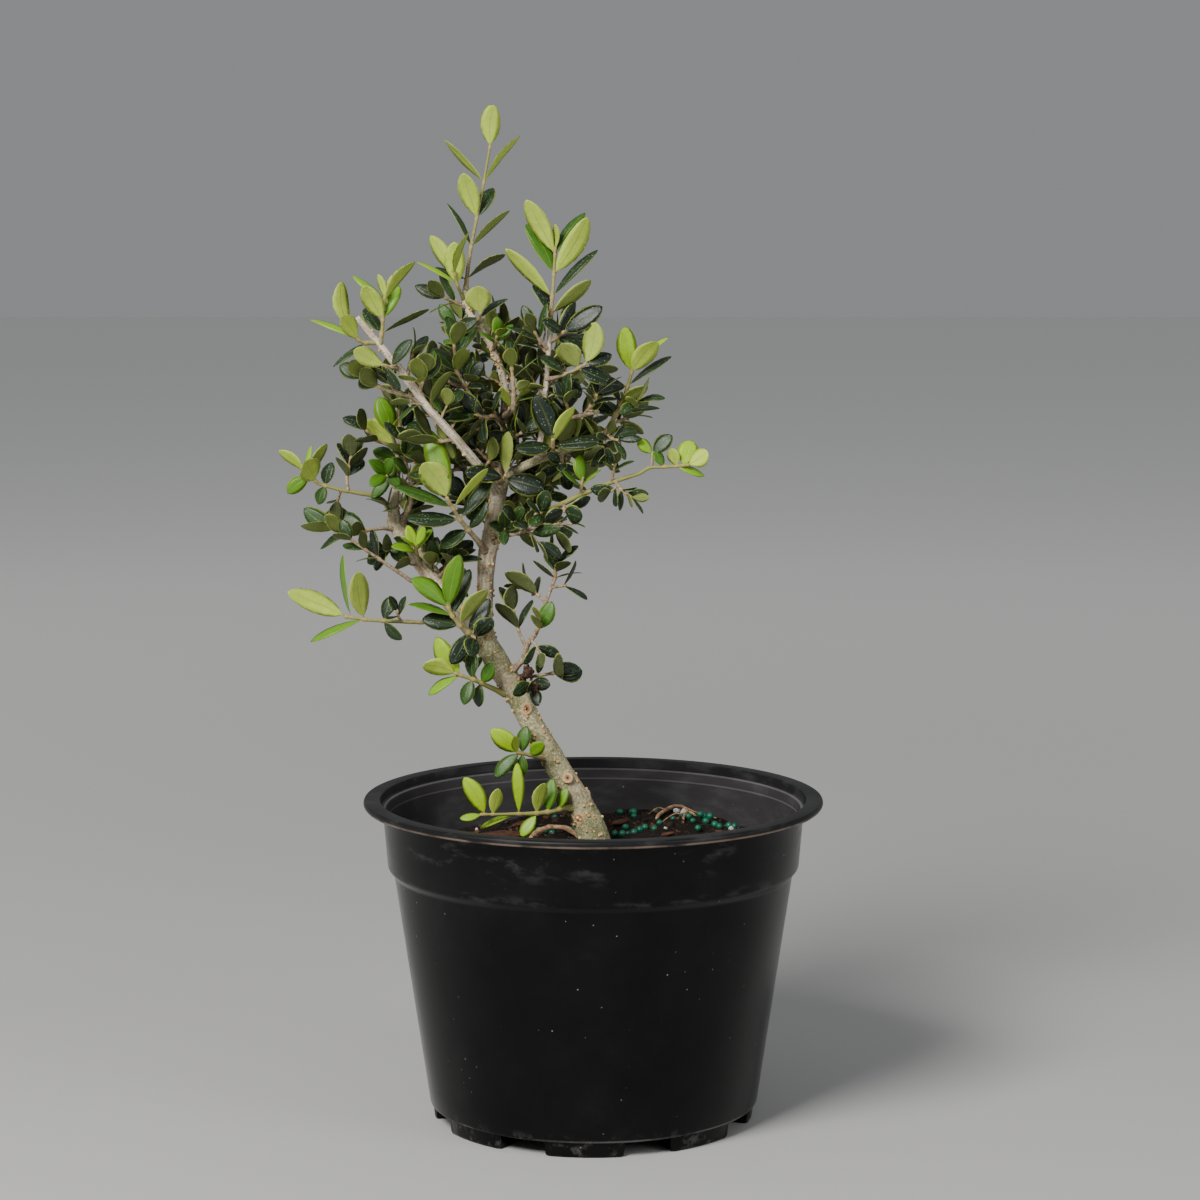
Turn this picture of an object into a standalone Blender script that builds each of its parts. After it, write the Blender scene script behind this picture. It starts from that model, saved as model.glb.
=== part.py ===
"""Olive bonsai in a black nursery pot, at real size in metres, +Z up.

The tree is drawn as a florist would bend it from wire: every trunk, bough and leafy stem is a
line through a few hand-picked points, and the leaves are set along each stem by one rule, in
opposite pairs that turn a quarter from pair to pair. All sizes below are in millimetres.
"""
import math
import random
from collections import namedtuple

import bpy
import bmesh
from mathutils import Matrix, Quaternion, Vector
from mathutils.bvhtree import BVHTree

MM = 0.001
FULL_TURN = 2.0 * math.pi

# Driving dimensions in millimetres and degrees. Until the last step the pot's axis is x = 0,
# y = 0, and its feet stand on z = 0
POT_HEIGHT = 143.0
LIP_RADIUS = 101.5
POT_SIDES = 30
FOOT_COUNT = 8
FOOT_HEIGHT = 6.8
FOOT_TURN = -93.0
FOOT_SINK = 1.0
FLOOR_TOP = 8.8
WALL_FOOT_RADIUS = 72.9
DRAIN_COUNT = 4
DRAIN_RADIUS = 5.0
DRAIN_CIRCLE_RADIUS = 48.0
CENTRE_DRAIN_RADIUS = 7.0
SOIL_LEVEL = 118.6
# Gap between pieces that touch, and how much fatter a hole with few sides is drawn to keep it
GAP = 0.3
HOLE_EXTRA = 0.37
# Where the eye stood, and flat scraps closer than this angle are merged
EYE = Vector((2.95, -1400.0, 409.3))
FLAT_ANGLE = 0.5
# Leaves: thickness, clear space round each, upward lean of the tips, the length from which a
# leaf gets the fuller outline, and the share at its foot that may sit against its own stem
BLADE_THICKNESS = 0.6
LEAF_CLEARANCE = 0.35
TIP_LIFT = 0.16
LARGE_BLADE_LENGTH = 27.0
FOOT_SHARE = 0.22
# Stems: half the height of a leaf's foot on its stem, how near a foot no bend is kept, the
# square stem's corners over its radius, and the room at its foot, its tip and between pairs
NODE_HALF = 0.45
NODE_CLEAR = 1.3
CORNER_REACH = 1.15
FOOT_ROOM = 1.8
TIP_ROOM = 0.6
PAIR_ROOM = 1.7
BUD_SPLAY = 16.0
BUD_SIZE = 0.45
# Leaves set by hand: the arc of their rib, how far up their stem they start, the room between
# their pairs, and how finely a stem is searched for the spot where a pair stands
OWN_BEND = 0.4
OWN_START = 3.0
OWN_ROOM = 1.15
NEAREST_STEPS = 200

# The pot's section, (radius, height): out under the floor, up the outside, over the lip, down
# the inside past two small steps and in over the floor to the middle drain hole
POT_SECTION = [
    (CENTRE_DRAIN_RADIUS, FOOT_HEIGHT),
    (WALL_FOOT_RADIUS, FOOT_HEIGHT),
    (88.2, 110.0),
    (90.8, 113.0),
    (93.0, 139.4),
    (100.9, 139.9),
    (LIP_RADIUS, 141.4),
    (100.9, POT_HEIGHT),
    (94.1, POT_HEIGHT),
    (93.4, 139.3),
    (91.6, 138.9),
    (90.9, 134.3),
    (89.3, 113.3),
    (86.7, 109.7),
    (71.5, FLOOR_TOP),
    (CENTRE_DRAIN_RADIUS, FLOOR_TOP),
]

# Trunk and boughs: (x, depth, z, radius), with x and z as they are seen on the upright plane
# through the pot's axis by an eye 1.4 m in front, and depth the distance behind that plane
BOUGHS = {
    "trunk": [
        (4, 0, 84, 5.6), (3, 0, 104, 6.7), (0.7, 0, 123, 7.0), (-2, 0, 131, 6.8),
        (-6.6, 0, 140, 6.3), (-12.4, -1, 150, 5.5), (-17.9, -1, 160, 5.1), (-26.8, -2, 175, 5.0),
        (-33.2, -2, 188, 5.1), (-38, -2, 196, 5.4), (-43, -1, 204, 5.3), (-47.2, 0, 212, 4.7),
        (-48, 0, 221, 3.8), (-47.5, 1, 231, 3.6), (-47.2, 1, 241, 3.8), (-46.4, 1, 251, 4.0),
        (-44.4, 1, 260, 4.0), (-42.6, 2, 269, 3.9), (-41.4, 2, 277, 3.7), (-41, 3, 285, 3.2),
        (-41, 4, 293, 2.7), (-40, 4, 303, 2.3), (-38.5, 3, 313, 2.0), (-38, 2, 323, 1.8),
        (-40.5, 0, 333, 1.6), (-44.5, -2, 342, 1.5), (-49.5, -3, 350.5, 1.35),
        (-54, -3, 356, 1.25), (-56, -3, 361, 1.15), (-55.4, -3, 367, 1.1),
    ],
    "left_bough": [
        (-46.5, 1, 208, 4.2), (-52, 2, 216, 4.2), (-58, 3, 224, 4.0), (-64, 4, 231.5, 3.9),
        (-70, 5, 240, 3.9), (-75.5, 7, 247.5, 3.7), (-81.5, 8, 255.5, 3.6),
        (-86.5, 9, 264, 3.3), (-87.3, 10, 271, 2.5), (-86, 11, 280.5, 1.6),
    ],
    "pruned_stick": [
        (-41.8, 1, 277, 2.0), (-47, -8, 285.5, 2.1), (-53, -15, 293, 2.0), (-60, -21, 301.5, 1.9),
        (-71, -28, 313.5, 1.8), (-83.5, -33, 331, 1.7), (-94, -35, 343.5, 1.6),
        (-98, -36, 348.5, 1.4), (-102.3, -37, 354.1, 1.3),
    ],
    "right_bough": [
        (-41, 2, 279, 2.4), (-37, -3, 284.5, 2.1), (-31, -7, 289, 1.95), (-25, -9, 291.7, 1.9),
        (-18, -9, 294.3, 1.7), (-10, -8, 296.7, 1.55), (-2.5, -7, 299.2, 1.5),
    ],
    "upright_stick": [
        (-24, -9, 292, 1.6), (-23.2, -10, 300, 1.5), (-22, -10, 308, 1.4), (-20.6, -10, 323, 1.35),
        (-19.6, -10, 335, 1.3), (-18.9, -10, 345, 1.25), (-18.5, -10, 352, 1.1),
    ],
    "low_right_bough": [
        (-43.5, 1, 261, 2.2), (-35, -4, 264, 1.8), (-26, -8, 267.2, 1.5), (-19.5, -10, 269.8, 1.5),
    ],
    "back_right_bough": [
        (-42, 2, 266, 2.0), (-36, 9, 272, 1.7), (-32, 15, 277, 1.5), (-27, 22, 282.5, 1.3),
        (-22, 28, 287.5, 1.2), (-17, 33, 292.5, 1.0),
    ],
    "back_left_bough": [
        (-42, 3, 272, 2.0), (-50, 13, 280, 1.7), (-57, 24, 289, 1.4), (-64, 33, 298, 1.2),
        (-68, 40, 307, 1.0),
    ],
    "back_high_bough": [
        (-41, 4, 294, 1.8), (-45, 13, 303, 1.5), (-48, 22, 314, 1.3), (-51, 28, 325, 1.1),
        (-54, 33, 334, 0.95),
    ],
    "back_right_high_bough": [
        (-40, 4, 301, 1.6), (-33, 12, 309, 1.4), (-25, 20, 318, 1.2), (-17, 26, 327, 0.95),
    ],
    "low_back_bough": [
        (-63, 4, 230, 1.6), (-67, 16, 237, 1.4), (-72, 27, 245, 1.2), (-76, 37, 253, 0.95),
    ],
    "trunk_nub": [(-8, 0, 142, 3.5), (-3.6, 0, 143.6, 3.0), (-1.2, 0, 144.2, 1.8)],
    "low_scar": [(-10.5, -1, 149.5, 2.9), (-11.4, -6.9, 151.3, 2.5)],
    "middle_scar": [(-28.6, -1, 180.5, 2.9), (-29.4, -6.4, 182.2, 2.4)],
    "fork_scar": [(-46.4, -1, 218.2, 2.0), (-45.6, -5.0, 219.2, 1.6)],
}

BOUGH_SIDES = {"trunk": 10, "left_bough": 8}
THIN_SIDES = 5

# One foot of the pot, (height, half angle, inner radius, outer radius) at its bottom and top
FOOT_SECTION = [(0.0, 12.5, 62.0, 71.2), (FOOT_HEIGHT + FOOT_SINK, 14.5, 60.0, 72.0)]

# The soil's rings over its top, and (radius, height) down its side
SOIL_RINGS = [14.0, 28.0, 42.0, 57.0, 73.0, 89.25]
SOIL_SIDE = [(86.3, 109.6), (71.3, FLOOR_TOP + GAP)]

# A dry root that arches over the soil, and its fork: (x, y, height above the soil, radius)
ROOT = [
    (27.5, 49.0, -3.5, 0.9), (29.5, 56.0, 0.9, 0.95), (33.5, 67.0, 1.6, 0.95), (37.5, 75.5, 3.0, 0.9),
    (41.5, 76.0, 3.2, 0.85), (44.0, 69.5, 1.9, 0.85), (46.5, 60.0, 1.0, 0.8), (48.5, 50.0, -3.5, 0.7),
]
ROOT_FORK = [
    (44.0, 69.5, 1.9, 0.7), (42.3, 58.0, 1.8, 0.65), (41.0, 47.0, 1.0, 0.6), (40.5, 39.0, -3.5, 0.6),
]
ROOT_SIDES = 5

# Leaf colours by the age up to which they hold
LEAF_TONES = [(0.35, (0.26, 0.33, 0.07)), (0.75, (0.07, 0.13, 0.03)), (1.0, (0.022, 0.040, 0.018))]

Stem = namedtuple("Stem", "path thick pairs first leaf turn splay age bud own")


def stem(path, thick=(0.9, 0.6), pairs=3, first=0.3, leaf=(14, 7), turn=45, splay=40, age=0.7,
         bud=False, own=()):
    """One leafy stem: its points, its radii, its leaf pairs and how those stand.

    turn is the first pair's angle round the stem and splay the leaf's angle from it, in
    degrees; leaf is a full leaf's length and width; age runs from 0, new, to 1, old. own holds
    leaves set by hand, as (the foot's x and z, then one or two leaves), each leaf with its
    tip's x and z, how far the tip lies behind the foot, its width, how much of its upper face
    the eye sees, from 1 to -1 for its underside, and its age.
    """
    return Stem(path, thick, pairs, first, leaf, turn, splay, age, bud, own)


# Leafy branchlets: the first stem of each grows from a bough, the others from the first
SPRAYS = {
    "spray_leader": [
        stem([(-55.5, -3, 363), (-54.2, -3, 375), (-52.7, -3, 384.5), (-50, -3, 398),
              (-47.2, -3, 411.5), (-44.3, -3, 428)], (0.95, 0.55), 5, 0.1, (21, 8.5), 90, 38, 0.4,
             own=[
                 (-55.2, 367, (-38, 381, 0, 7, -0.4, 0.95), (-70, 375, 0, 6.5, 0.4, 0.9)),
                 (-53, 384, (-36, 400, 2, 7, -0.45, 0.6), (-63, 403, 2, 6, 0.4, 0.7)),
                 (-50.3, 396.5, (-56, 416, -6, 9, -0.95, 0.2), (-45, 410, 8, 9, 0.8, 0.8)),
                 (-47.2, 411.8, (-64, 430, 0, 8, -0.4, 0.25), (-31.5, 432, 0, 8, -0.35, 0.2)),
                 (-44.4, 427, (-43, 445, -4, 8, -1, 0.25), (-42.5, 447, 4, 8.5, 1, 0.1))]),
    ],
    "spray_upright": [
        stem([(-18.6, -10, 349), (-18.2, -10, 357), (-17.4, -10, 366), (-16.3, -10, 384)],
             (1.0, 0.65), 4, 0.22, (27, 9), 135, 52, 0.45, True,
             own=[
                 (-18.2, 355.5, (-1, 370, -4, 7, -0.8, 0.7), (-26, 368, 5, 8, 0.7, 0.95)),
                 (-17.8, 362.5, (-38, 383.5, -4, 7.5, -0.8, 0.35), (2, 383, 2, 7, 0.5, 0.85)),
                 (-17, 372.5, (-1, 397, -5, 9.5, -0.95, 0.2), (-29, 394, 5, 8.5, 0.9, 0.5)),
                 (-16.4, 381, (-29, 404.5, -4, 9, -0.95, 0.2), (-3.5, 399, 6, 8, 0.7, 0.6)),
                 (-16.3, 383.5, (-18, 394.5, -2, 4, -0.8, 0.2), (-12.5, 394, 3, 4, -0.8, 0.2))]),
    ],
    "spray_leader_side": [
        stem([(-55.9, -3, 361.5), (-58.5, -8, 367), (-60.5, -11, 375)],
             (0.8, 0.65), 3, 0.4, (19, 8), 90, 36, 0.15, True,
             own=[
                 (-58.8, 368, (-62.5, 386.5, -6, 9, -1, 0.1), (-77, 385, 5, 7, 0.35, 0.2)),
                 (-59.8, 372.5, (-53.5, 396, -9, 7, -0.6, 0.3), (-70, 391.5, 3, 7.5, -0.9, 0.2)),
                 (-60.4, 374.7, (-61, 393, 3, 6.5, 1, 0.05))]),
    ],
    "spray_neck_left": [
        stem([(-54.8, -3, 358), (-60, -6, 360.5), (-64.5, -8, 362.5)],
             (0.8, 0.65), 2, 0.4, (17, 6.5), 20, 45, 0.8),
    ],
    "spray_neck_right": [
        stem([(-50, -3, 351), (-49.3, -8, 353), (-48.8, -12, 356)],
             (0.8, 0.65), 2, 0.6, (13, 10), 0, 50, 0.5,
             own=[
                 (-49.2, 353.5, (-37, 362, 4, 6.5, 0.5, 0.9), (-60, 348, 2, 8, 0.8, 0.9)),
                 (-48.9, 355.5, (-50, 367.5, -3, 11, -1, 0.5))]),
    ],
    "spray_bud_stem": [
        stem([(-43.5, -2, 340), (-42.6, -7, 342.5), (-41.6, -10, 346)],
             (0.8, 0.65), 2, 0.55, (11, 6), 30, 45, 0.5),
    ],
    "spray_left_up": [
        stem([(-92.6, -35, 341.5), (-91.4, -36, 349), (-91.1, -37, 356), (-90.3, -37, 363)],
             (0.95, 0.65), 3, 0.3, (19, 8), 135, 45, 0.3, True,
             own=[
                 (-91.8, 345.5, (-71, 357.5, -2, 6.5, -0.35, 0.9), (-101, 358, 8, 8, 0.8, 0.8)),
                 (-91.2, 353, (-100, 368, -5, 8.5, -0.95, 0.2), (-84, 367.5, 6, 8, 0.9, 0.4)),
                 (-90.5, 361, (-77, 378, -2, 7, -0.7, 0.3), (-104, 372, 4, 7, 0.5, 0.3)),
                 (-90.3, 362.8, (-93, 372.5, 0, 4, -0.8, 0.3), (-87, 374, 4, 4, -0.8, 0.3))]),
    ],
    "spray_left_out": [
        stem([(-94, -35, 343.2), (-99, -37, 342.8), (-102.5, -38, 344.5), (-106.5, -39, 350)],
             (0.95, 0.65), 3, 0.4, (20, 8), 75, 42, 0.25, True,
             own=[
                 (-97, 343, (-113, 332.5, -3, 7, 0.4, 0.8)),
                 (-102, 344.3, (-118, 359, -9, 9, -0.95, 0.15), (-123, 353, 9, 7, 0.45, 0.2)),
                 (-106, 349.3, (-109, 369.5, 2, 8, -0.85, 0.25))]),
    ],
    "spray_left_under": [
        stem([(-84.5, -33, 332), (-87, -37, 332.2), (-92, -40, 333.5)],
             (0.8, 0.65), 2, 0.55, (18, 7), 80, 40, 0.6,
             own=[
                 (-87, 332.3, (-80, 345, 3, 6.5, 0.8, 0.9)),
                 (-90.5, 333.2, (-104, 339.5, -6, 8.5, -0.85, 0.5), (-84, 322, 0, 6, 0.7, 0.9))]),
    ],
    "spray_stick_top": [
        stem([(-81, -32, 327.6), (-79.5, -34, 334), (-78.5, -35, 338)],
             (0.8, 0.65), 2, 0.5, (16, 6.5), 60, 35, 0.95),
    ],
    "spray_left_fork": [
        stem([(-73.5, -29, 317), (-79, -28, 319.3), (-90, -25, 322.4), (-95, -25, 324.8),
              (-100, -27, 328)], (1.1, 0.7), 3, 0.7, (15, 8), 100, 45, 0.7),
        stem([(-86.5, -25.8, 321.2), (-88, -24, 325), (-89, -23, 328.5)],
             (0.7, 0.55), 2, 0.5, (12, 6), 30, 40, 0.9),
    ],
    "spray_spur": [
        stem([(-76, -30, 320.5), (-74.5, -32, 325), (-73.3, -33, 330)],
             (0.8, 0.65), 3, 0.45, (15, 9), 60, 35, 0.7),
    ],
    "spray_mid_left": [
        stem([(-40, 4, 301), (-46, 0, 308), (-51, -4, 317), (-56, -7, 324.5), (-59.5, -9, 331),
              (-60.4, -12, 342)], (1.3, 0.65), 4, 0.6, (16, 8.5), 45, 40, 0.75),
        stem([(-55, -6.4, 323), (-62, -3, 325.5), (-68.5, 0, 333)],
             (0.8, 0.6), 2, 0.55, (15, 9), 60, 40, 0.95),
    ],
    "spray_front_stub": [
        stem([(-39, 3, 311), (-36.3, -8, 312.5), (-34.8, -16, 314.3), (-34.6, -17, 322),
              (-35.3, -18, 331), (-36, -19, 337)],
             (1.6, 0.65), 3, 0.76, (16, 6), 10, 52, 0.7),
    ],
    "spray_dark_pair": [
        stem([(-38.2, 1.5, 325), (-34, 6, 331), (-31.5, 8.5, 341)],
             (0.9, 0.65), 3, 0.45, (17, 9), 60, 35, 1.0),
    ],
    "spray_gold": [
        stem([(-38.6, 3, 307), (-43, -11, 311.5), (-47.5, -16, 310.6), (-51, -19, 312)],
             (1.0, 0.65), 3, 0.6, (18, 7.5), 45, 55, 0.85),
        stem([(-45.5, -14, 311), (-49, -11, 306), (-54, -9, 304)],
             (0.8, 0.6), 2, 0.6, (15, 8), 30, 42, 1.0),
    ],
    "spray_stick_left": [
        stem([(-19.3, -10, 340), (-23, -13, 343.5), (-25.5, -15, 348)],
             (0.8, 0.65), 2, 0.5, (16, 6), 20, 40, 0.9),
    ],
    "spray_stick_right": [
        stem([(-19, -10, 343), (-16, -13, 345), (-12.5, -15, 348)],
             (0.8, 0.65), 2, 0.5, (21, 8.5), 45, 35, 1.0,
             own=[
                 (-15.8, 345.2, (-8, 360, 4, 7.5, 0.8, 0.9), (-4, 338.5, -2, 7.5, 0.8, 0.95)),
                 (-13.3, 347.3, (4, 358.5, -2, 9, 0.95, 1.0), (-22, 357, -2, 7, 0.8, 0.9))]),
    ],
    "spray_round": [
        stem([(-20.3, -10, 327), (-14, -15, 328.5), (-8, -18, 331), (-3, -20, 334)],
             (1.0, 0.65), 3, 0.45, (16, 10), 90, 48, 0.6,
             own=[
                 (-12, 329.5, (-23, 337, 1, 7.5, 0.6, 0.9), (-6, 319, -2, 8, 0.8, 0.95)),
                 (-6.5, 332, (-14, 342.5, -3, 10.5, -0.9, 0.7), (7, 326, -2, 8.5, 0.8, 0.9)),
                 (-3.4, 333.7, (1, 352, 0, 10, -0.9, 0.35), (8, 338, 3, 7.5, 0.8, 0.95))]),
    ],
    "spray_stick_low": [
        stem([(-20.8, -10, 320), (-25, -6, 324), (-28, -3, 330)],
             (0.8, 0.65), 3, 0.5, (15, 8), 30, 40, 1.0),
    ],
    "spray_cut_twig": [
        stem([(-22, -10, 308.5), (-16, -12, 309.3), (-10, -14, 310.5), (-4, -16, 311.7),
              (2.3, -17, 313.2)], (1.1, 1.0), 0, 1.0, (16, 5), 60, 50, 0.9),
        stem([(-4, -16, 311.7), (-1, -18, 316), (1.5, -19, 320.5)],
             (0.8, 0.6), 2, 0.5, (17, 5.5), 60, 50, 0.9),
        stem([(-10, -14, 310.5), (-11, -18, 314.5), (-12.5, -21, 319)],
             (0.8, 0.6), 3, 0.45, (14, 7.5), 45, 45, 0.95),
    ],
    "spray_right_top": [
        stem([(-3, -7, 299), (4.5, -6, 302.5), (8, -6, 308.5), (11, -6, 314), (13.5, -6, 319.5),
              (15.3, -6, 325), (18, -6, 335)], (1.4, 0.65), 3, 0.66, (19, 9), 70, 48, 0.45, True,
             own=[
                 (9.8, 311.5, (29, 314.5, 1, 6.5, 0.45, 0.85), (-4, 318, 4, 7.5, 0.8, 0.95)),
                 (12, 316.3, (23, 326.5, -3, 7, -0.8, 0.6), (3, 333, 5, 7, 0.6, 0.8)),
                 (15, 324, (34, 337, 3, 6.5, 0.45, 0.9), (-3, 322, -9, 9, 0.95, 1.0)),
                 (16.6, 330, (26.5, 346.5, -5, 9.5, -0.95, 0.1), (14, 350, 5, 9, 0.95, 0.1)),
                 (17.8, 334.3, (33, 345, 0, 5, 0.4, 0.1), (17, 352, 1, 4.5, -0.8, 0.2))]),
        stem([(4, -6.1, 302.3), (7.5, -11, 301.5), (11, -15, 300.5)],
             (0.8, 0.6), 3, 0.45, (13, 4.5), 0, 50, 0.8),
        stem([(5, -7.5, 302), (5, -11, 298), (5.5, -14, 294)],
             (0.7, 0.55), 2, 0.5, (11, 4.5), 45, 40, 0.9),
        stem([(7.5, -6, 307.6), (11.5, 0, 309), (16, 5, 311)],
             (0.8, 0.6), 3, 0.45, (14, 6), 50, 42, 0.8),
        stem([(11, -6, 314), (14.5, -10, 315), (19, -13, 317.5)],
             (0.8, 0.6), 2, 0.5, (16, 7), 60, 35, 0.75),
    ],
    "spray_low_right": [
        stem([(-20, -10, 269.6), (-12, -12, 273.4), (-5.5, -13, 276.7), (8, -15, 282.3),
              (20, -16, 286), (24.5, -16, 288.8), (36, -18, 289.2), (42, -19, 290)],
             (1.4, 0.65), 3, 0.82, (10.5, 7.5), 20, 50, 0.15,
             own=[
                 (31, 289, (27, 296, 2, 5.5, 0.8, 0.6)),
                 (36.5, 289.3, (48.5, 285, 2, 5.5, 0.6, 0.3), (34, 297, 0, 6.5, -0.8, 0.3)),
                 (39.2, 289.6, (42.5, 301, 2, 9, 1, 0.0)),
                 (41.5, 290, (50, 295.5, -3, 8, -0.95, 0.15))]),
        stem([(25.5, -16.2, 288.8), (25.6, -15, 292), (26, -14, 295.5)],
             (0.7, 0.55), 2, 0.55, (11, 6), 15, 42, 0.6,
             own=[
                 (26, 294.5, (36, 301.5, -1, 7.5, 0.9, 0.7), (19.5, 301, 0, 5.5, 0.9, 0.3))]),
        stem([(8, -15, 282.3), (8.5, -17, 286), (9.6, -18, 290.5)],
             (0.75, 0.55), 2, 0.6, (10, 4.5), 10, 50, 0.85),
        stem([(9.5, -15.2, 282.8), (12.5, -18, 278.6), (17, -20, 275.4)],
             (0.75, 0.55), 3, 0.45, (11, 4.5), 20, 35, 0.8),
        stem([(-5.5, -13, 276.7), (-5.2, -15, 280.5), (-4.4, -16, 284.5)],
             (0.8, 0.6), 3, 0.5, (13, 7.5), 30, 40, 0.5),
        stem([(-13, -11.8, 273), (-12.8, -16, 271.5), (-12.6, -18, 269)],
             (0.7, 0.55), 1, 0.8, (9.5, 8.5), 15, 44, 0.85),
    ],
    "spray_thin_right": [
        stem([(-45, 0, 255.5), (-38.5, -7, 258.5), (-28, -11, 261.5), (-20, -13, 263.5),
              (-9, -16, 264.2)], (1.2, 0.65), 2, 0.85, (11, 4.5), 40, 40, 0.8),
        stem([(-30.5, -9.8, 261.9), (-27, -14, 259.5), (-24.5, -16, 256)],
             (0.7, 0.55), 2, 0.5, (17, 6), 30, 30, 0.9),
    ],
    "spray_trunk_rosette": [
        stem([(-41, 2, 282), (-39, -9, 283), (-38.2, -15, 285.5)],
             (1.0, 0.7), 2, 0.8, (19, 8.5), 0, 62, 0.95,
             own=[
                 (-38.7, 284, (-60.5, 289, -3, 9.5, 0.9, 1.0), (-21, 279, -3, 11, 0.9, 1.0)),
                 (-38.3, 285.3, (-37, 304.5, 1, 7, -0.8, 0.6))]),
    ],
    "spray_bough_rosette": [
        stem([(-17.5, -9, 294.6), (-17.6, -15, 298), (-17.6, -18, 301)],
             (0.95, 0.7), 3, 0.55, (21, 8.5), 0, 62, 1.0,
             own=[
                 (-17.6, 298, (-34, 297, -4, 8, 0.8, 0.95), (3.5, 300, -3, 8, 0.7, 0.95)),
                 (-17.6, 299.4, (-10, 316.5, -4, 6, -0.8, 0.35)),
                 (-17.6, 300.7, (-19.5, 324, -2, 11.5, 1, 1.0))]),
    ],
    "spray_bough_under": [
        stem([(-14, -8.6, 295.6), (-13.5, -8, 291), (-13.6, -9, 287.5)],
             (0.75, 0.6), 2, 0.55, (12, 7), 20, 50, 0.95),
    ],
    "spray_back_right": [
        stem([(-18, 32, 291.5), (-13, 35, 296), (-4, 38, 306)],
             (0.9, 0.65), 3, 0.3, (17, 8), 45, 42, 0.9),
        stem([(-14, 34.3, 295), (-8, 42, 294), (-3, 48, 295)],
             (0.75, 0.6), 2, 0.5, (16, 8), 30, 42, 0.9),
    ],
    "spray_back_right_low": [
        stem([(-29, 19, 280.3), (-20, 23, 281), (-9, 31, 284)],
             (0.85, 0.65), 3, 0.35, (16, 8), 60, 42, 0.9),
    ],
    "spray_knee": [
        stem([(-38, -2, 197), (-31, -6, 203.5), (-28.5, -7, 211.5), (-25.2, -8, 215.5),
              (-23, -9, 223), (-20.6, -10, 230), (-16.8, -10, 240), (-16.2, -10, 246)],
             (1.5, 0.7), 3, 0.88, (15, 7.5), 15, 60, 0.9),
        stem([(-18.3, -10, 236), (-14.5, -13, 236.5), (-12, -15, 237)],
             (0.7, 0.55), 1, 0.8, (14, 5.5), 0, 40, 1.0),
        stem([(-20.8, -10, 229.5), (-24, -6, 232.5), (-27.5, -3, 235)],
             (0.75, 0.6), 2, 0.55, (18, 7.5), 50, 40, 0.95),
        stem([(-25.3, -8, 215.4), (-24.3, -12, 217), (-23, -14, 220)],
             (0.75, 0.6), 2, 0.6, (16, 8), 60, 40, 0.6),
        stem([(-29.2, -6.8, 209), (-32.5, -4, 216), (-35, -2, 226)],
             (0.9, 0.6), 2, 0.5, (17, 8), 45, 42, 1.0),
        stem([(-28, -7.1, 213), (-25, -10, 210.5), (-24, -12, 206.5)],
             (0.7, 0.55), 2, 0.55, (12, 6), 0, 38, 0.9),
    ],
    "spray_dead_twig": [
        stem([(-36, -2, 194), (-29, -7, 196.4), (-24, -10, 197), (-14, -14, 198.6)],
             (1.0, 0.65), 2, 0.8, (14, 10), 60, 40, 1.0),
        stem([(-27, -8.2, 196.6), (-27.5, -12, 194), (-27, -15, 191.5)],
             (0.7, 0.55), 2, 0.55, (11, 6), 20, 45, 0.95),
    ],
    "spray_low_left": [
        stem([(-36, -1.5, 187.5), (-47, -8, 192.5), (-52, -12, 194.9), (-61, -15, 198)],
             (1.4, 0.7), 3, 0.6, (14.5, 8.5), 70, 40, 0.2,
             own=[
                 (-49.3, 193.7, (-44, 202.5, -3, 6.5, 0.95, 0.55), (-50.5, 183, 0, 6.5, 0.8, 0.8)),
                 (-53, 195.2, (-53.5, 208, 4, 7, 0.8, 0.7), (-57, 184, -3, 7, 0.9, 0.75)),
                 (-58.3, 197, (-69, 214, 3, 9, 0.95, 0.05), (-72.5, 188.5, 0, 7, 0.55, 0.3)),
                 (-60.6, 197.9, (-75, 201.5, -3, 8.5, -0.9, 0.2))]),
        stem([(-51, -11.3, 194.5), (-53, -9, 198), (-54, -8, 201)],
             (0.7, 0.55), 2, 0.5, (12, 6.5), 45, 45, 0.8),
    ],
    "spray_bright": [
        stem([(-48.5, 0, 210.5), (-53, -10, 214.3), (-58.5, -13, 219), (-62, -14.5, 223.5),
              (-64, -15, 228)], (1.5, 0.75), 4, 0.5, (21, 8.5), 45, 45, 0.45,
             own=[
                 (-55, 216, (-45.5, 231, 2, 7.5, 0.9, 0.95), (-64, 202.5, -3, 8, 1, 0.9)),
                 (-58.5, 219.2, (-46.5, 235, -5, 7.5, -0.85, 0.6), (-75, 222, 0, 8, 0.95, 0.85)),
                 (-61.8, 223.3, (-54, 244, 6, 8, 0.9, 0.9), (-81, 228.5, -2, 7, 0.5, 0.5)),
                 (-63.5, 227, (-58.5, 250.5, -4, 8.5, 1, 0.38), (-79.5, 240, -3, 8.5, 0.95, 0.42))]),
        stem([(-53.5, -10.2, 214.7), (-52.5, -14, 214), (-51, -17, 213.5)],
             (0.75, 0.6), 2, 0.6, (13, 8), 45, 45, 1.0),
    ],
    "spray_long_left": [
        stem([(-59, 3, 225), (-66, -3, 221.8), (-75, -6, 220.6), (-98, -11, 221.5),
              (-109, -12, 223.2)], (1.25, 0.7), 2, 0.78, (26, 9), 70, 40, 0.4,
             own=[
                 (-92, 221.2, (-88, 232, 3, 7, 0.8, 0.8), (-84, 213, -2, 6.5, 0.7, 0.85)),
                 (-100.5, 221.8, (-103, 243, -7, 9.5, -0.9, 0.5), (-124, 212, -2, 7, 0.45, 0.4)),
                 (-106, 222.7, (-109.5, 250.5, 6, 8.5, 0.25, 0.45)),
                 (-108.5, 223.1, (-134, 234, -5, 9.5, -0.95, 0.25))]),
        stem([(-84, -7.9, 220.9), (-85.5, -10, 223), (-86, -11, 226)],
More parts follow.
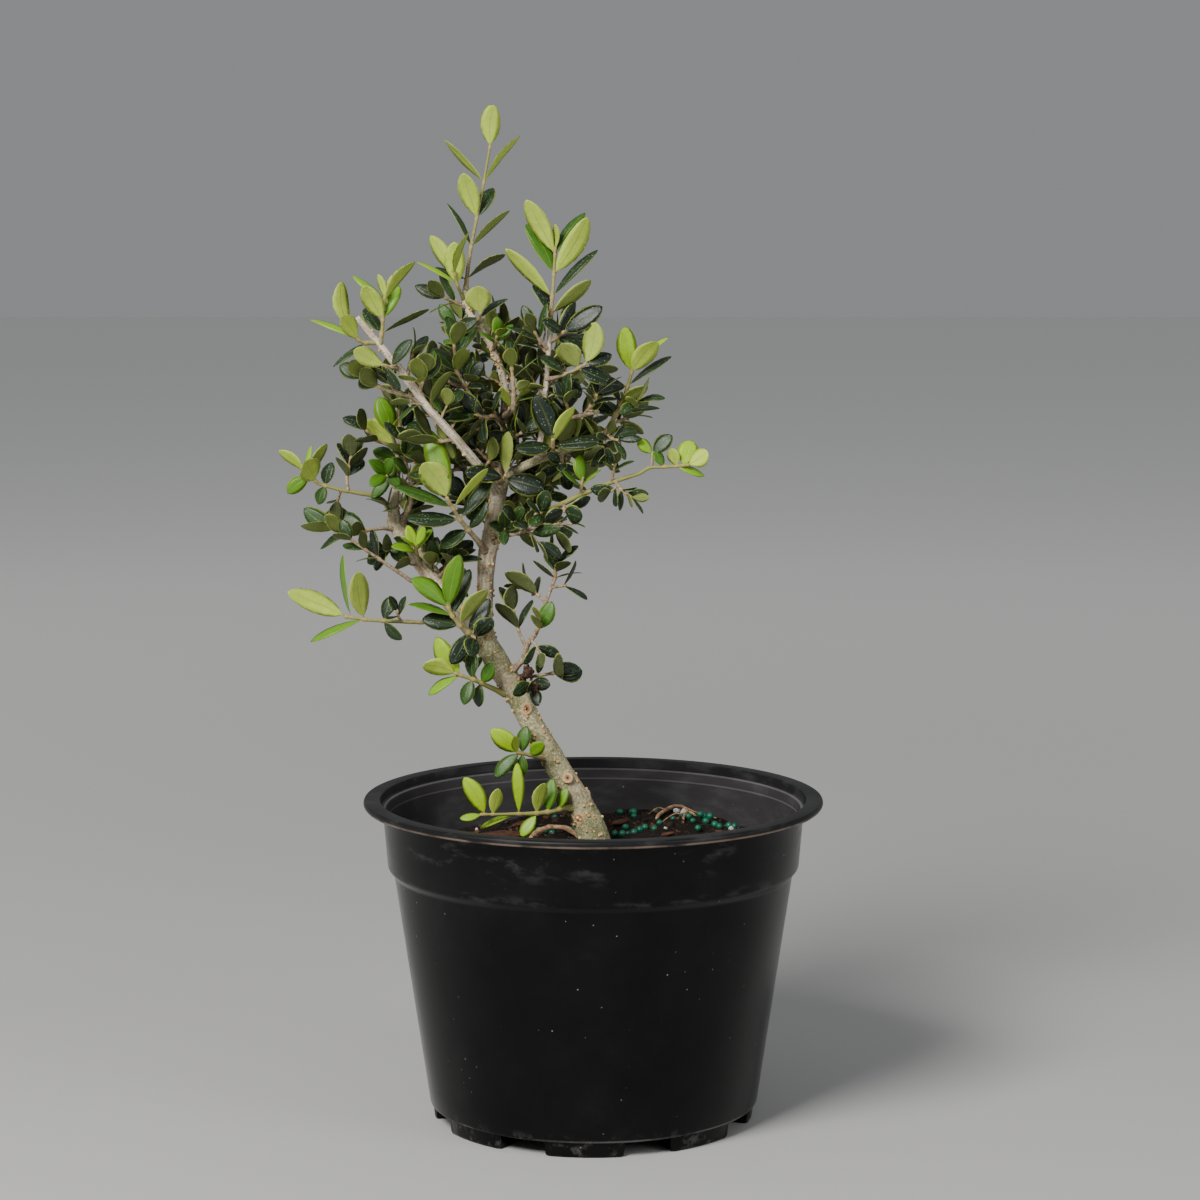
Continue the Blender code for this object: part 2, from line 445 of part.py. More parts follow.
             (0.65, 0.55), 2, 0.5, (10, 7), 60, 45, 0.85),
    ],
    "spray_thin_left": [
        stem([(-68, 4.6, 237), (-74, -1, 237), (-79.5, -5, 238.7), (-90.5, -10, 246.2),
              (-106, -15, 257)], (1.2, 0.6), 3, 0.66, (13, 6), 30, 42, 0.85),
    ],
    "spray_low_back_left": [
        stem([(-85.5, 8.8, 262), (-93, 3, 262), (-106, -1, 260.3), (-113, -2, 261.5)],
             (1.0, 0.65), 3, 0.45, (19, 8), 60, 38, 0.7),
    ],
    "spray_far_left": [
        stem([(-87.2, 10, 269), (-92, 6, 274.5), (-98, 4, 276.8), (-109, 1, 278.6),
              (-120, -1, 281.5), (-127, -3, 288)],
             (1.3, 0.65), 3, 0.8, (13, 7.5), 60, 48, 0.3, True,
             own=[
                 (-117, 280.7, (-114, 291, 3, 7, 0.8, 0.8), (-120, 272.5, -1, 6.5, 0.8, 0.7)),
                 (-121.3, 282.7, (-127.5, 292.5, -8, 11.5, -0.95, 0.35)),
                 (-123.5, 284.8, (-116, 299, 1, 6.5, -0.6, 0.45), (-133.5, 277.5, -1, 6.5, 1, 0.45)),
                 (-125.6, 286.8, (-137, 296, -2, 6, -0.7, 0.08), (-122, 298.5, 2, 5, 0.5, 0.2)),
                 (-126.7, 287.8, (-128.5, 299.5, 0, 4.5, -0.7, 0.2))]),
        stem([(-107, 1.4, 278.3), (-107.5, 3, 284), (-105.5, 4, 293.5)],
             (0.85, 0.6), 3, 0.4, (14, 8.5), 60, 45, 0.95),
        stem([(-110, 0.8, 278.8), (-111.5, 4, 275), (-112, 7, 270.5)],
             (0.7, 0.55), 2, 0.5, (14, 7), 60, 35, 0.95),
    ],
    "spray_left_bough_top": [
        stem([(-86, 11, 280), (-84.8, 11, 288), (-85.5, 10, 296), (-87.5, 5, 303),
              (-89, 2, 309)], (1.4, 0.65), 3, 0.55, (17, 9.5), 60, 45, 0.6,
             own=[
                 (-85.2, 291.5, (-78, 303, 2, 8, 0.8, 0.8), (-96, 296, -2, 8, 0.8, 0.7)),
                 (-86.2, 298.7, (-102, 307, -6, 11, -0.95, 0.35), (-74, 297, -2, 7, 0.7, 0.6)),
                 (-87.5, 303.2, (-91, 320, 4, 9.5, 0.95, 0.4), (-82, 314, -3, 6, -0.7, 0.3))]),
        stem([(-84.8, 11, 288), (-88, 2, 285), (-90, -6, 285)],
             (0.85, 0.6), 3, 0.5, (14, 6), 50, 50, 0.5),
        stem([(-85.6, 9.6, 296.5), (-93, 7, 300), (-99, 5, 305)],
             (0.75, 0.6), 2, 0.55, (15, 8), 60, 42, 0.95),
    ],
    "spray_inner_stick": [
        stem([(-84.5, 8.6, 262.5), (-79.5, 3, 273), (-79.3, 1, 281), (-83.8, -4, 299),
              (-84.5, -6, 314)], (1.2, 0.65), 4, 0.62, (15, 6.5), 70, 38, 0.7),
    ],
    "spray_young_left": [
        stem([(-75, 7, 246.5), (-77, -2, 250.5), (-78, -7, 254.5)],
             (0.8, 0.6), 3, 0.62, (13, 6.5), 20, 50, 0.2),
    ],
    "spray_front": [
        stem([(-46.3, 1, 250.5), (-50, -8, 256), (-53.5, -12, 260), (-58, -17, 265.5),
              (-64, -23, 275.5)], (1.6, 0.7), 4, 0.5, (20, 9), 20, 50, 0.55,
             own=[
                 (-54.5, 261.5, (-67, 254, 0, 8.5, 0.8, 0.8), (-46, 274, -3, 7, 0.8, 0.9)),
                 (-58.3, 266, (-82, 266.5, -4, 8.5, 0.8, 0.85), (-42, 282, 2, 7, 0.8, 0.9)),
                 (-61.2, 270.8, (-48.5, 296, -2, 6.5, -0.6, 0.25), (-87, 280.5, -2, 8, 0.6, 0.6)),
                 (-63, 273.8, (-68, 306.5, 6, 10, 1, 0.36)),
                 (-64, 275.4, (-74.5, 290.5, -4, 12.5, -0.95, 0.4))]),
    ],
    "spray_low_twig": [
        stem([(-19.5, -1, 160), (-24, -8, 160.6), (-28, -11, 161.5), (-34, -14, 162.8)],
             (1.2, 0.65), 3, 0.6, (13, 6), 30, 52, 0.35,
             own=[
                 (-28, 161.5, (-22, 167, -6, 6, 1, 0.35)),
                 (-31.3, 162.2, (-28.5, 174, 0, 6.5, 0.95, 0.55), (-31, 152, -1, 5, 0.9, 0.5)),
                 (-33, 162.5, (-45, 173, -2, 8.5, 0.95, 0.02), (-43.5, 151.5, -2, 6.5, 0.95, 0.6)),
                 (-34, 162.8, (-37.5, 174.5, -2, 5, -0.95, 0.15))]),
    ],
    "spray_base_twig": [
        stem([(-6, -1, 137.8), (-14, -8, 137.6), (-19, -11, 136), (-25, -14, 135.3),
              (-40, -19, 134.9), (-50, -22, 134.8)],
             (1.4, 0.65), 4, 0.35, (16, 6.5), 0, 55, 0.2,
             own=[
                 (-15.5, 137.2, (-12.5, 147, 2, 5, 0.9, 0.3)),
                 (-20.3, 135.9, (-18, 151, 3, 6.5, 0.95, 0.5)),
                 (-25, 135.3, (-21.5, 149, -2, 6.5, -0.9, 0.4), (-32, 125, -3, 6, 0.9, 0.2)),
                 (-33, 135.1, (-33.5, 158, 0, 5.5, 0.95, 0.1), (-54, 129.5, -4, 6.5, 0.4, 0.05)),
                 (-44.5, 134.9, (-42, 146.5, -2, 6, -0.9, 0.3)),
                 (-48, 134.8, (-57, 151.5, 0, 8, 1, 0.0)),
                 (-49.7, 134.8, (-59, 133, -1, 4.5, 0.8, 0.15))]),
    ],
    "spray_inner_front": [
        stem([(-60, -21, 301.3), (-66, -19, 300), (-73, -18, 301.5)],
             (0.85, 0.65), 3, 0.45, (17, 8), 80, 42, 0.8),
    ],
    "spray_mid_front": [
        stem([(-41, 3, 289), (-46, -4, 292), (-51, -6, 297)],
             (0.9, 0.65), 2, 0.6, (16, 8.5), 60, 45, 1.0),
    ],
    "spray_centre": [
        stem([(-40.3, 4, 299), (-36, -5, 301), (-31, -11, 304)],
             (0.9, 0.65), 3, 0.55, (17, 8.5), 30, 45, 1.0),
        stem([(-36, -5, 301), (-31, -2, 306), (-28, -1, 313)],
             (0.75, 0.6), 3, 0.5, (15, 8), 60, 40, 1.0),
    ],
    "spray_low_centre": [
        stem([(-44, 1, 266), (-51, -3, 269), (-57, -5, 274)],
             (0.85, 0.65), 3, 0.5, (15, 8.5), 60, 45, 0.95),
    ],
    "spray_low_mid": [
        stem([(-69, 5, 239), (-64, -3, 245), (-59, -7, 250)],
             (0.85, 0.65), 3, 0.55, (16, 8), 50, 45, 0.95),
    ],
    "spray_bough_side": [
        stem([(-82, 8, 256), (-87, -1, 254), (-91, -4, 252)],
             (0.8, 0.65), 2, 0.6, (14, 8), 50, 45, 0.9),
    ],
    "spray_back_left": [
        stem([(-67.5, 39, 306), (-70, 43, 313), (-72, 48, 327)],
             (0.9, 0.65), 3, 0.3, (17, 8.5), 45, 42, 0.85),
        stem([(-69.2, 41.5, 310.5), (-76, 45, 313), (-82, 49, 316)],
             (0.75, 0.6), 2, 0.5, (16, 8), 30, 42, 0.85),
    ],
    "spray_back_left_low": [
        stem([(-56.5, 23, 288.4), (-64, 26, 287), (-78, 33, 291)],
             (0.9, 0.65), 3, 0.35, (16, 8), 60, 42, 0.95),
    ],
    "spray_back_high": [
        stem([(-53.7, 32.6, 333), (-56, 36, 340), (-57, 39, 353)],
             (0.9, 0.65), 3, 0.3, (16, 8), 45, 42, 0.7),
        stem([(-55, 34.5, 337), (-49, 40, 340), (-44, 45, 344)],
             (0.75, 0.6), 2, 0.5, (16, 8), 30, 42, 0.8),
    ],
    "spray_back_mid": [
        stem([(-46.5, 17, 308.4), (-53, 22, 311), (-64, 30, 318)],
             (0.9, 0.65), 3, 0.35, (16, 8), 60, 42, 0.95),
    ],
    "spray_back_right_high": [
        stem([(-17.6, 25.6, 326.4), (-13, 29, 332), (-9, 32, 344)],
             (0.9, 0.65), 3, 0.3, (16, 8), 45, 42, 0.75),
        stem([(-14.5, 28, 330), (-8, 33, 330), (-2, 38, 331)],
             (0.75, 0.6), 2, 0.5, (16, 8), 30, 42, 0.85),
    ],
    "spray_low_back": [
        stem([(-75.6, 36, 252), (-79, 41, 257), (-82, 46, 269)],
             (0.9, 0.65), 3, 0.3, (16, 8), 45, 42, 0.9),
    ],
}


def place(x, depth, z):
    """Push a point seen on the upright plane back, or forward, along its line of sight."""
    on_plane = Vector((x, 0.0, z))
    return EYE + (on_plane - EYE) * (1.0 + depth / -EYE.y)


class Line:
    """A line through points, measured along its length."""

    def __init__(self, points):
        self.points = points
        self.starts = [0.0]
        for a, b in zip(points, points[1:]):
            self.starts.append(self.starts[-1] + (b - a).length)
        self.length = self.starts[-1]

    def at(self, distance):
        """Return the point at a distance from the start and the line's direction there."""
        index = 0
        while index < len(self.points) - 2 and self.starts[index + 1] < distance:
            index += 1
        a, b = self.points[index], self.points[index + 1]
        direction = (b - a).normalized()
        return a + direction * (distance - self.starts[index]), direction


def tube(points, radii, sides):
    """A closed tube through the points."""
    verts = []
    last = len(points) - 1
    side = None
    for index, (point, radius) in enumerate(zip(points, radii)):
        before = points[max(index - 1, 0)]
        after = points[min(index + 1, last)]
        along = (after - before).normalized()
        if side is None:
            side = along.orthogonal().normalized()
        side = (side - along * side.dot(along)).normalized()
        across = along.cross(side)
        for step in range(sides):
            angle = FULL_TURN * step / sides
            verts.append(point + (side * math.cos(angle) + across * math.sin(angle)) * radius)
    faces = [tuple(range(sides - 1, -1, -1)), tuple(last * sides + i for i in range(sides))]
    for ring in range(last):
        for step in range(sides):
            a = ring * sides + step
            b = ring * sides + (step + 1) % sides
            faces.append((a, b, b + sides, a + sides))
    return verts, faces


# A blade's outline: share of its length and of its half width, for large and small leaves
LARGE_BLADE = [(0.2, 0.68), (0.52, 1.0), (0.82, 0.66)]
SMALL_BLADE = [(0.32, 0.95), (0.74, 0.8)]

Leaf = namedtuple("Leaf", "foot rib face length width bend age")
# A pair of leaves on a stem: how far along it stands, the first leaf's side and the leaves
Pair = namedtuple("Pair", "distance outward leaves")


def rib_point(leaf, share, length):
    """The rib's point and upward direction at a share of its length, on an arc."""
    side = leaf.face - leaf.rib * leaf.face.dot(leaf.rib)
    side.normalize()
    start = -0.5 * leaf.bend
    now = leaf.bend * (share - 0.5)
    point = leaf.foot + length / leaf.bend * (
        leaf.rib * (math.sin(now) - math.sin(start)) + side * (math.cos(now) - math.cos(start)))
    return point, side * math.cos(now) + leaf.rib * math.sin(now)


def outline_of(leaf):
    return LARGE_BLADE if leaf.length > LARGE_BLADE_LENGTH else SMALL_BLADE


def blade(leaf, grow=0.0, start=0.0):
    """A leaf's plain plate for collision; grow fattens it and start leaves out its foot."""
    outline = outline_of(leaf)
    half = 0.5 * BLADE_THICKNESS + grow
    length = leaf.length + grow
    across = leaf.rib.cross(leaf.face).normalized()
    spots = [(start, 0.0)]
    spots += [(share, wide) for share, wide in outline]
    spots += [(1.0, 0.0)]
    spots += [(share, -wide) for share, wide in reversed(outline)]
    verts = []
    for level in (1.0, -1.0):
        for share, wide in spots:
            point, up = rib_point(leaf, share, length)
            reach = wide * 0.5 * leaf.width + math.copysign(grow, wide) * (wide != 0.0)
            verts.append(point + up * (half * level) + across * reach)
    count = len(spots)
    rows = len(outline)
    faces = [(0, 1, count - 1)]
    for row in range(1, rows):
        faces.append((row, row + 1, count - row - 1, count - row))
    faces.append((rows, rows + 1, rows + 2))
    faces += [tuple(count + corner for corner in reversed(face)) for face in faces]
    for corner in range(count):
        after = (corner + 1) % count
        faces.append((corner, corner + count, after + count, after))
    return verts, faces


def draw_out(leaf, corners, verts, faces):
    """Draw a leaf out of one side of its stem, whose four corners are given in turn."""
    across = leaf.rib.cross(leaf.face).normalized()
    middle = sum((verts[corner] for corner in corners), Vector()) / 4
    quarters = [across - leaf.face, -across - leaf.face, leaf.face - across, leaf.face + across]

    def fit(shift):
        return sum((verts[corners[(i + shift) % 4]] - middle).dot(quarters[i]) for i in range(4))

    best = max(range(4), key=fit)
    ring = [corners[(i + best) % 4] for i in range(4)]
    half = 0.5 * BLADE_THICKNESS
    for share, wide in outline_of(leaf):
        point, up = rib_point(leaf, share, leaf.length)
        edge = across * (0.5 * leaf.width * wide)
        start = len(verts)
        verts += [point + edge - up * half, point - edge - up * half,
                  point - edge + up * half, point + edge + up * half]
        following = [start, start + 1, start + 2, start + 3]
        for i in range(4):
            j = (i + 1) % 4
            # Split alike above and below, so that a twisted blade's two faces can't cross
            if i == 2:
                faces += [(ring[i], ring[j], following[i]), (ring[j], following[j], following[i])]
            else:
                faces += [(ring[i], ring[j], following[j]), (ring[i], following[j], following[i])]
        ring = following
    point, up = rib_point(leaf, 1.0, leaf.length)
    low, high = len(verts), len(verts) + 1
    verts += [point - up * half, point + up * half]
    faces += [(ring[0], ring[1], low), (ring[1], ring[2], high, low),
              (ring[2], ring[3], high), (ring[3], ring[0], low, high)]


def leafy_stem(line, thick, pairs, foot_normal=None):
    """A closed four-sided stem with its leaves drawn out of its sides.

    Its first ring lies in the plane of foot_normal, where that is given.
    """
    stops = [(distance, None) for distance in line.starts
             if not any(abs(distance - pair.distance) < NODE_CLEAR for pair in pairs)]
    for pair in pairs:
        stops += [(pair.distance - NODE_HALF, pair), (pair.distance + NODE_HALF, pair)]
    stops.sort(key=lambda stop: stop[0])
    verts = []
    side = None
    base = 0.0
    turns = {}
    for distance, pair in stops:
        point, before = line.at(distance)
        along = (before + line.at(distance + 0.01)[1]).normalized()
        if side is None:
            side = along.orthogonal().normalized()
        side = (side - along * side.dot(along)).normalized()
        across = along.cross(side)
        if pair:
            angle = math.atan2(pair.outward.dot(across), pair.outward.dot(side))
            quarter = round((base - angle) / (0.5 * math.pi))
            base = angle + quarter * 0.5 * math.pi
            turns[pair.distance] = -quarter % 4
        radius = thick[0] + (thick[1] - thick[0]) * distance / line.length
        for corner in range(4):
            angle = base + (corner - 0.5) * 0.5 * math.pi
            offset = (side * math.cos(angle) + across * math.sin(angle)) * (radius * CORNER_REACH)
            if distance == 0.0 and foot_normal is not None:
                offset -= along * (offset.dot(foot_normal) / along.dot(foot_normal))
            verts.append(point + offset)
    last = 4 * (len(stops) - 1)
    faces = [(3, 2, 1, 0), (last, last + 1, last + 2, last + 3)]
    for ring in range(len(stops) - 1):
        pair = stops[ring][1] if stops[ring][1] is stops[ring + 1][1] else None
        for corner in range(4):
            a = 4 * ring + corner
            b = 4 * ring + (corner + 1) % 4
            leaf = None
            if pair and (corner - turns[pair.distance]) % 2 == 0:
                leaf = pair.leaves[(corner - turns[pair.distance]) % 4 // 2]
            if leaf:
                draw_out(leaf, (a, b, b + 4, a + 4), verts, faces)
            else:
                faces += [(a, b, b + 4), (a, b + 4, a + 4)]
    return verts, faces


def crossings(shape):
    """Count the pairs of triangles that cross without a shared corner."""
    triangles = []
    for face in shape[1]:
        triangles += [(face[0], face[i], face[i + 1]) for i in range(1, len(face) - 1)]
    tree = BVHTree.FromPolygons(shape[0], triangles)
    return sum(a < b and not set(triangles[a]) & set(triangles[b]) for a, b in tree.overlap(tree))


def clear_stem(line, thick, pairs, foot_normal):
    """A leafy stem and, apart, the few leaves that would cross it or each other at their feet."""
    shape = leafy_stem(line, thick, pairs, foot_normal)
    count = crossings(shape)
    apart = []
    while count:
        choices = []
        for index, pair in enumerate(pairs):
            for side in range(len(pair.leaves)):
                if pair.leaves[side]:
                    leaves = list(pair.leaves)
                    taken = leaves[side]
                    leaves[side] = None
                    fewer = pairs[:index] + [pair._replace(leaves=leaves)] + pairs[index + 1:]
                    fewer = [other for other in fewer if any(other.leaves)]
                    shape = leafy_stem(line, thick, fewer, foot_normal)
                    choices.append((crossings(shape), len(choices), fewer, shape, taken))
        count, order, pairs, shape, taken = min(choices, key=lambda choice: choice[:2])
        apart.append(taken)
    return [shape] + [blade(leaf) for leaf in apart]


def tree_of(shape):
    return BVHTree.FromPolygons(shape[0], shape[1])


def pair_spots(line, row, draw):
    """Yield the distance, angle round the stem, splay, size and age of every ruled leaf pair."""
    last = line.length - TIP_ROOM - (PAIR_ROOM if row.bud else 0.0)
    start = min(max(row.first * line.length, FOOT_ROOM), last)
    count = min(row.pairs, 1 + int((last - start) / PAIR_ROOM))
    for pair in range(count):
        part = pair / max(count - 1, 1)
        turn = math.radians(row.turn + 90.0 * pair + draw.uniform(-10, 10))
        size = (0.86 + 0.14 * math.sin(math.pi * min(part + 0.35, 1.0))) * draw.uniform(0.9, 1.06)
        splay = math.radians(row.splay * (1.15 - 0.4 * part))
        yield start + (last - start) * part, turn, splay, size, row.age
    if row.bud:
        turn = math.radians(row.turn + 90.0 * count)
        yield line.length - TIP_ROOM, turn, math.radians(BUD_SPLAY), BUD_SIZE, 0.0


def side_of(along, turn):
    """The sideways direction at an angle round a stem."""
    reference = Vector((1, 0, 0)) if abs(along.x) < 0.75 else Vector((0, 0, 1))
    first = (reference - along * reference.dot(along)).normalized()
    return first * math.cos(turn) + along.cross(first) * math.sin(turn)


def stand_leaf(line, row, distance, turn, splay, size, age, draw):
    """Set one leaf on its stem; it leans towards the light and bends outwards."""
    foot, along = line.at(distance)
    rib = along * math.cos(splay) + side_of(along, turn) * math.sin(splay)
    rib = (rib + Vector((0, 0, TIP_LIFT))).normalized()
    up = along + Vector((0, 0, 0.5))
    face = (up - rib * up.dot(rib)).normalized()
    roll = draw.uniform(-0.3, 0.3)
    face = (face * math.cos(roll) + rib.cross(face) * math.sin(roll)).normalized()
    width = row.leaf[1] * math.sqrt(size) * draw.uniform(0.9, 1.1)
    bend = draw.uniform(0.25, 0.65)
    return Leaf(foot, rib, face, row.leaf[0] * size, width, bend, age + draw.uniform(-0.1, 0.1))


def nearest_on(line, x, z):
    """How far along a line it passes nearest to a spot seen on the upright plane."""
    sight = (Vector((x, 0.0, z)) - EYE).normalized()
    steps = [line.length * i / NEAREST_STEPS for i in range(NEAREST_STEPS + 1)]
    return min(steps, key=lambda step: sight.cross(line.at(step)[0] - EYE).length)


def own_leaf(line, distance, goal, turn_by=0.0, splay_by=0.0, shorter=1.0):
    """Set one leaf by its tip: its upper face shows to the eye as far as its goal says."""
    x, z, behind, width, shown, age = goal
    foot, along = line.at(distance)
    rib = place(x, foot.y + behind, z) - foot
    length = rib.length
    rib.normalize()
    hinge = along.cross(rib).normalized()
    rib = Quaternion(along, turn_by) @ (Quaternion(hinge, splay_by) @ rib)
    sight = (foot - EYE).normalized()
    edge = rib.cross(sight).normalized()
    if edge.dot(along) < 0.0:
        edge.negate()
    face = edge * math.sqrt(1.0 - shown * shown) - sight * shown
    face = (face - rib * face.dot(rib)).normalized()
    arc = 0.5 * OWN_BEND
    return Leaf(foot, rib, face, length * arc / math.sin(arc) * shorter, width * math.sqrt(shorter),
                OWN_BEND, age)


def own_spots(line, row):
    """Where a stem's own pairs stand, kept a node's height apart and off its tip."""
    spots = [max(nearest_on(line, group[0], group[1]), OWN_START) for group in row.own]
    for index in range(1, len(spots)):
        spots[index] = max(spots[index], spots[index - 1] + OWN_ROOM)
    limit = line.length - TIP_ROOM
    for index in reversed(range(len(spots))):
        spots[index] = min(spots[index], limit)
        limit = spots[index] - OWN_ROOM
    return spots


# What is tried, in turn, for a leaf that would touch another: turn, splay and length changes
TRIES = [
    (0, 0, 1.0), (12, 0, 1.0), (-12, 0, 1.0), (0, 10, 0.95), (0, -10, 0.95), (24, 5, 0.9),
    (-24, 5, 0.9), (12, -14, 0.85), (-12, 14, 0.85), (36, 0, 0.8), (-36, 0, 0.8), (0, 0, 0.68),
    (20, 20, 0.7), (-20, 20, 0.7), (40, -10, 0.62), (-40, -10, 0.62),
]


class Crown:
    """What stands in a leaf's way: other nodes, whole, and its own node's leaves but their feet."""

    def __init__(self, obstacles):
        self.whole = list(obstacles)
        self.trimmed = []

    def add(self, name, leaf):
        centre = leaf.foot + leaf.rib * (0.5 * leaf.length)
        reach = 0.5 * leaf.length + 2.0
        self.whole.append((name, centre, reach, tree_of(blade(leaf)), True))
        self.trimmed.append((name, centre, reach, tree_of(blade(leaf, 0.0, FOOT_SHARE))))

    def is_clear(self, name, leaf):
        centre = leaf.foot + leaf.rib * (0.5 * leaf.length)
        reach = 0.5 * leaf.length + 2.0
        fat = tree_of(blade(leaf, LEAF_CLEARANCE))
        fat_top = tree_of(blade(leaf, LEAF_CLEARANCE, FOOT_SHARE))
        for other, middle, far, tree, is_leaf in self.whole:
            own = other == name
            if (own and is_leaf) or (middle - centre).length > far + reach:
                continue
            if (fat_top if own else fat).overlap(tree):
                return False
        for other, middle, far, tree in self.trimmed:
            if other == name and (middle - centre).length < far + reach and fat_top.overlap(tree):
                return False
        return True


def grow_leaves(stems, obstacles):
    """Stand every leaf pair of every (node, line, stem) where nothing is in its way."""
    crown = Crown(obstacles)
    own = []
    for name, line, row in stems:
        pairs = []
        for group, distance in zip(row.own, own_spots(line, row)):
            leaves = []
            for goal in group[2:]:
                leaves.append(None)
                for turn_by, splay_by, shorter in TRIES:
                    leaf = own_leaf(line, distance, goal, math.radians(turn_by),
                                    math.radians(splay_by), shorter)
                    if crown.is_clear(name, leaf):
                        crown.add(name, leaf)
                        leaves[-1] = leaf
                        break
            ribs = [own_leaf(line, distance, goal).rib for goal in group[2:]]
            outward = ribs[0] - ribs[-1] if ribs[1:] else ribs[0]
            along = line.at(distance)[1]
            outward = (outward - along * outward.dot(along)).normalized()
            if any(leaves):
                pairs.append(Pair(distance, outward, (leaves + [None])[:2]))
        own.append(pairs)
    grown = []
    draw = random.Random(7)
    for (name, line, row), pairs in zip(stems, own):
        ruled = [] if row.own else pair_spots(line, row, draw)
        for distance, turn, splay, size, age in ruled:
            leaves = []
            for half_turn in (0.0, math.pi):
                seed = draw.random()
                lean = splay * draw.uniform(0.85, 1.15)
                leaves.append(None)
                for turn_by, splay_by, shorter in TRIES:
                    leaf = stand_leaf(line, row, distance, turn + half_turn + math.radians(turn_by),
                                      lean + math.radians(splay_by), size * shorter, age,
                                      random.Random(seed))
                    if crown.is_clear(name, leaf):
                        crown.add(name, leaf)
                        leaves[-1] = leaf
                        break
            if any(leaves):
                pairs.append(Pair(distance, side_of(line.at(distance)[1], turn), leaves))
        grown.append(pairs)
    return grown


def new_object(name, verts, faces):
    """Make an object from points in millimetres."""
    mesh = bpy.data.meshes.new(name)
    mesh.from_pydata([tuple(v * MM) for v in verts], [], faces)
    body = bpy.data.objects.new(name, mesh)
    bpy.context.scene.collection.objects.link(body)
    return body


def keep_result(body):
    """Apply a body's modifiers."""
    graph = bpy.context.evaluated_depsgraph_get()
    mesh = bpy.data.meshes.new_from_object(body.evaluated_get(graph))
    body.modifiers.clear()
    body.data = mesh
    mesh.name = body.name


def merge_flat(body):
    """Merge the flat scraps that a cut leaves behind."""
    work = bmesh.new()
    work.from_mesh(body.data)
    bmesh.ops.dissolve_limit(work, angle_limit=math.radians(FLAT_ANGLE), verts=work.verts[:],
                             edges=work.edges[:], use_dissolve_boundaries=False)
    work.to_mesh(body.data)
    work.free()


def combine(body, others, operation="UNION", solver="MANIFOLD"):
    """Join the others to a body, or cut them out of it, and remove them.

    The exact solver leaves open edges where thin leafy stems meet, so the manifold one does it.
    """
    group = bpy.data.collections.new(body.name + "_parts")
    bpy.context.scene.collection.children.link(group)
    for other in others:
        bpy.context.scene.collection.objects.unlink(other)
        group.objects.link(other)
    step = body.modifiers.new("combine", "BOOLEAN")
    step.operation = operation
    step.operand_type = "COLLECTION"
    step.collection = group
    step.solver = solver
    keep_result(body)
    for other in others:
        bpy.data.objects.remove(other)
    bpy.data.collections.remove(group)
    merge_flat(body)


def finish(body, colour, roughness, metallic=0.0, smooth=30.0):
    """Give a body its own plain material and smooth its round faces."""
    material = bpy.data.materials.new(body.name)
    material.use_nodes = True
    shader = material.node_tree.nodes["Principled BSDF"]
    shader.inputs["Base Color"].default_value = (*colour, 1.0)
    shader.inputs["Roughness"].default_value = roughness
    shader.inputs["Metallic"].default_value = metallic
    body.data.materials.clear()
    body.data.materials.append(material)
    body.data.shade_smooth()
    body.data.set_sharp_from_angle(angle=math.radians(smooth))


def turned(name, section, sides):
    """Turn a closed section of (radius, height) round the pot's axis."""
    verts = []
    faces = []
    count = len(section)
    for step in range(sides):
        angle = FULL_TURN * step / sides
        verts += [Vector((r * math.cos(angle), r * math.sin(angle), z)) for r, z in section]
        after = (step + 1) % sides
        for spot in range(count):
            following = (spot + 1) % count
            faces.append((step * count + spot, after * count + spot,
                          after * count + following, step * count + following))
    return new_object(name, verts, faces)


def make_pot():
    """The pot: a turned wall and floor on eight feet, with drain holes."""
    pot = turned("pot", POT_SECTION, POT_SIDES)
    feet = []
    for index in range(FOOT_COUNT):
        middle = FULL_TURN * index / FOOT_COUNT + math.radians(FOOT_TURN)
        verts = []
        for z, half_angle, inner, outer in FOOT_SECTION:
            for radius, side in ((inner, -1), (outer, -1), (outer, 0), (outer, 1), (inner, 1)):
                angle = middle + side * math.radians(half_angle)
                verts.append(Vector((radius * math.cos(angle), radius * math.sin(angle), z)))
        faces = [(4, 3, 2, 1, 0), (5, 6, 7, 8, 9)]
        faces += [(i, (i + 1) % 5, (i + 1) % 5 + 5, i + 5) for i in range(5)]
        feet.append(new_object("foot", verts, faces))
    combine(pot, feet)
    drains = []
    for index in range(DRAIN_COUNT):
        angle = FULL_TURN * (index + 0.5) / DRAIN_COUNT
        x, y = DRAIN_CIRCLE_RADIUS * math.cos(angle), DRAIN_CIRCLE_RADIUS * math.sin(angle)
        ends = [Vector((x, y, FOOT_HEIGHT - 2.0)), Vector((x, y, FLOOR_TOP + 2.0))]
        drains.append(new_object("drain", *tube(ends, [DRAIN_RADIUS] * 2, 8)))
    combine(pot, drains, "DIFFERENCE")
    finish(pot, (0.012, 0.012, 0.013), 0.32)
    return pot


def soil_height(x, y):
    """The soil's uneven top: mounded behind the trunk on the right, lower on the left."""
    mound = 4.5 * math.exp(-((x - 28.0) ** 2 + (y - 52.0) ** 2) / 900.0)
    slope = 0.035 * min(x, 0.0)
    lumps = 0.8 * math.sin(x / 7.3 + 1.3) * math.cos(y / 8.9) + 0.6 * math.sin(x / 4.1 - y / 5.3)
    return SOIL_LEVEL + mound + slope + lumps


def root_tube(name, points, extra=0.0):
    """A run of the surface root; extra fattens and lengthens it into its own plain hole."""
    line = [Vector((x, y, soil_height(x, y) + rise)) for x, y, rise, radius in points]
    radii = [radius + extra for x, y, rise, radius in points]
    first, last = (line[0] - line[1]).normalized(), (line[-1] - line[-2]).normalized()
    line[0] = line[0] + first * extra
    line[-1] = line[-1] + last * extra
    return new_object(name, *tube(line, radii, ROOT_SIDES))


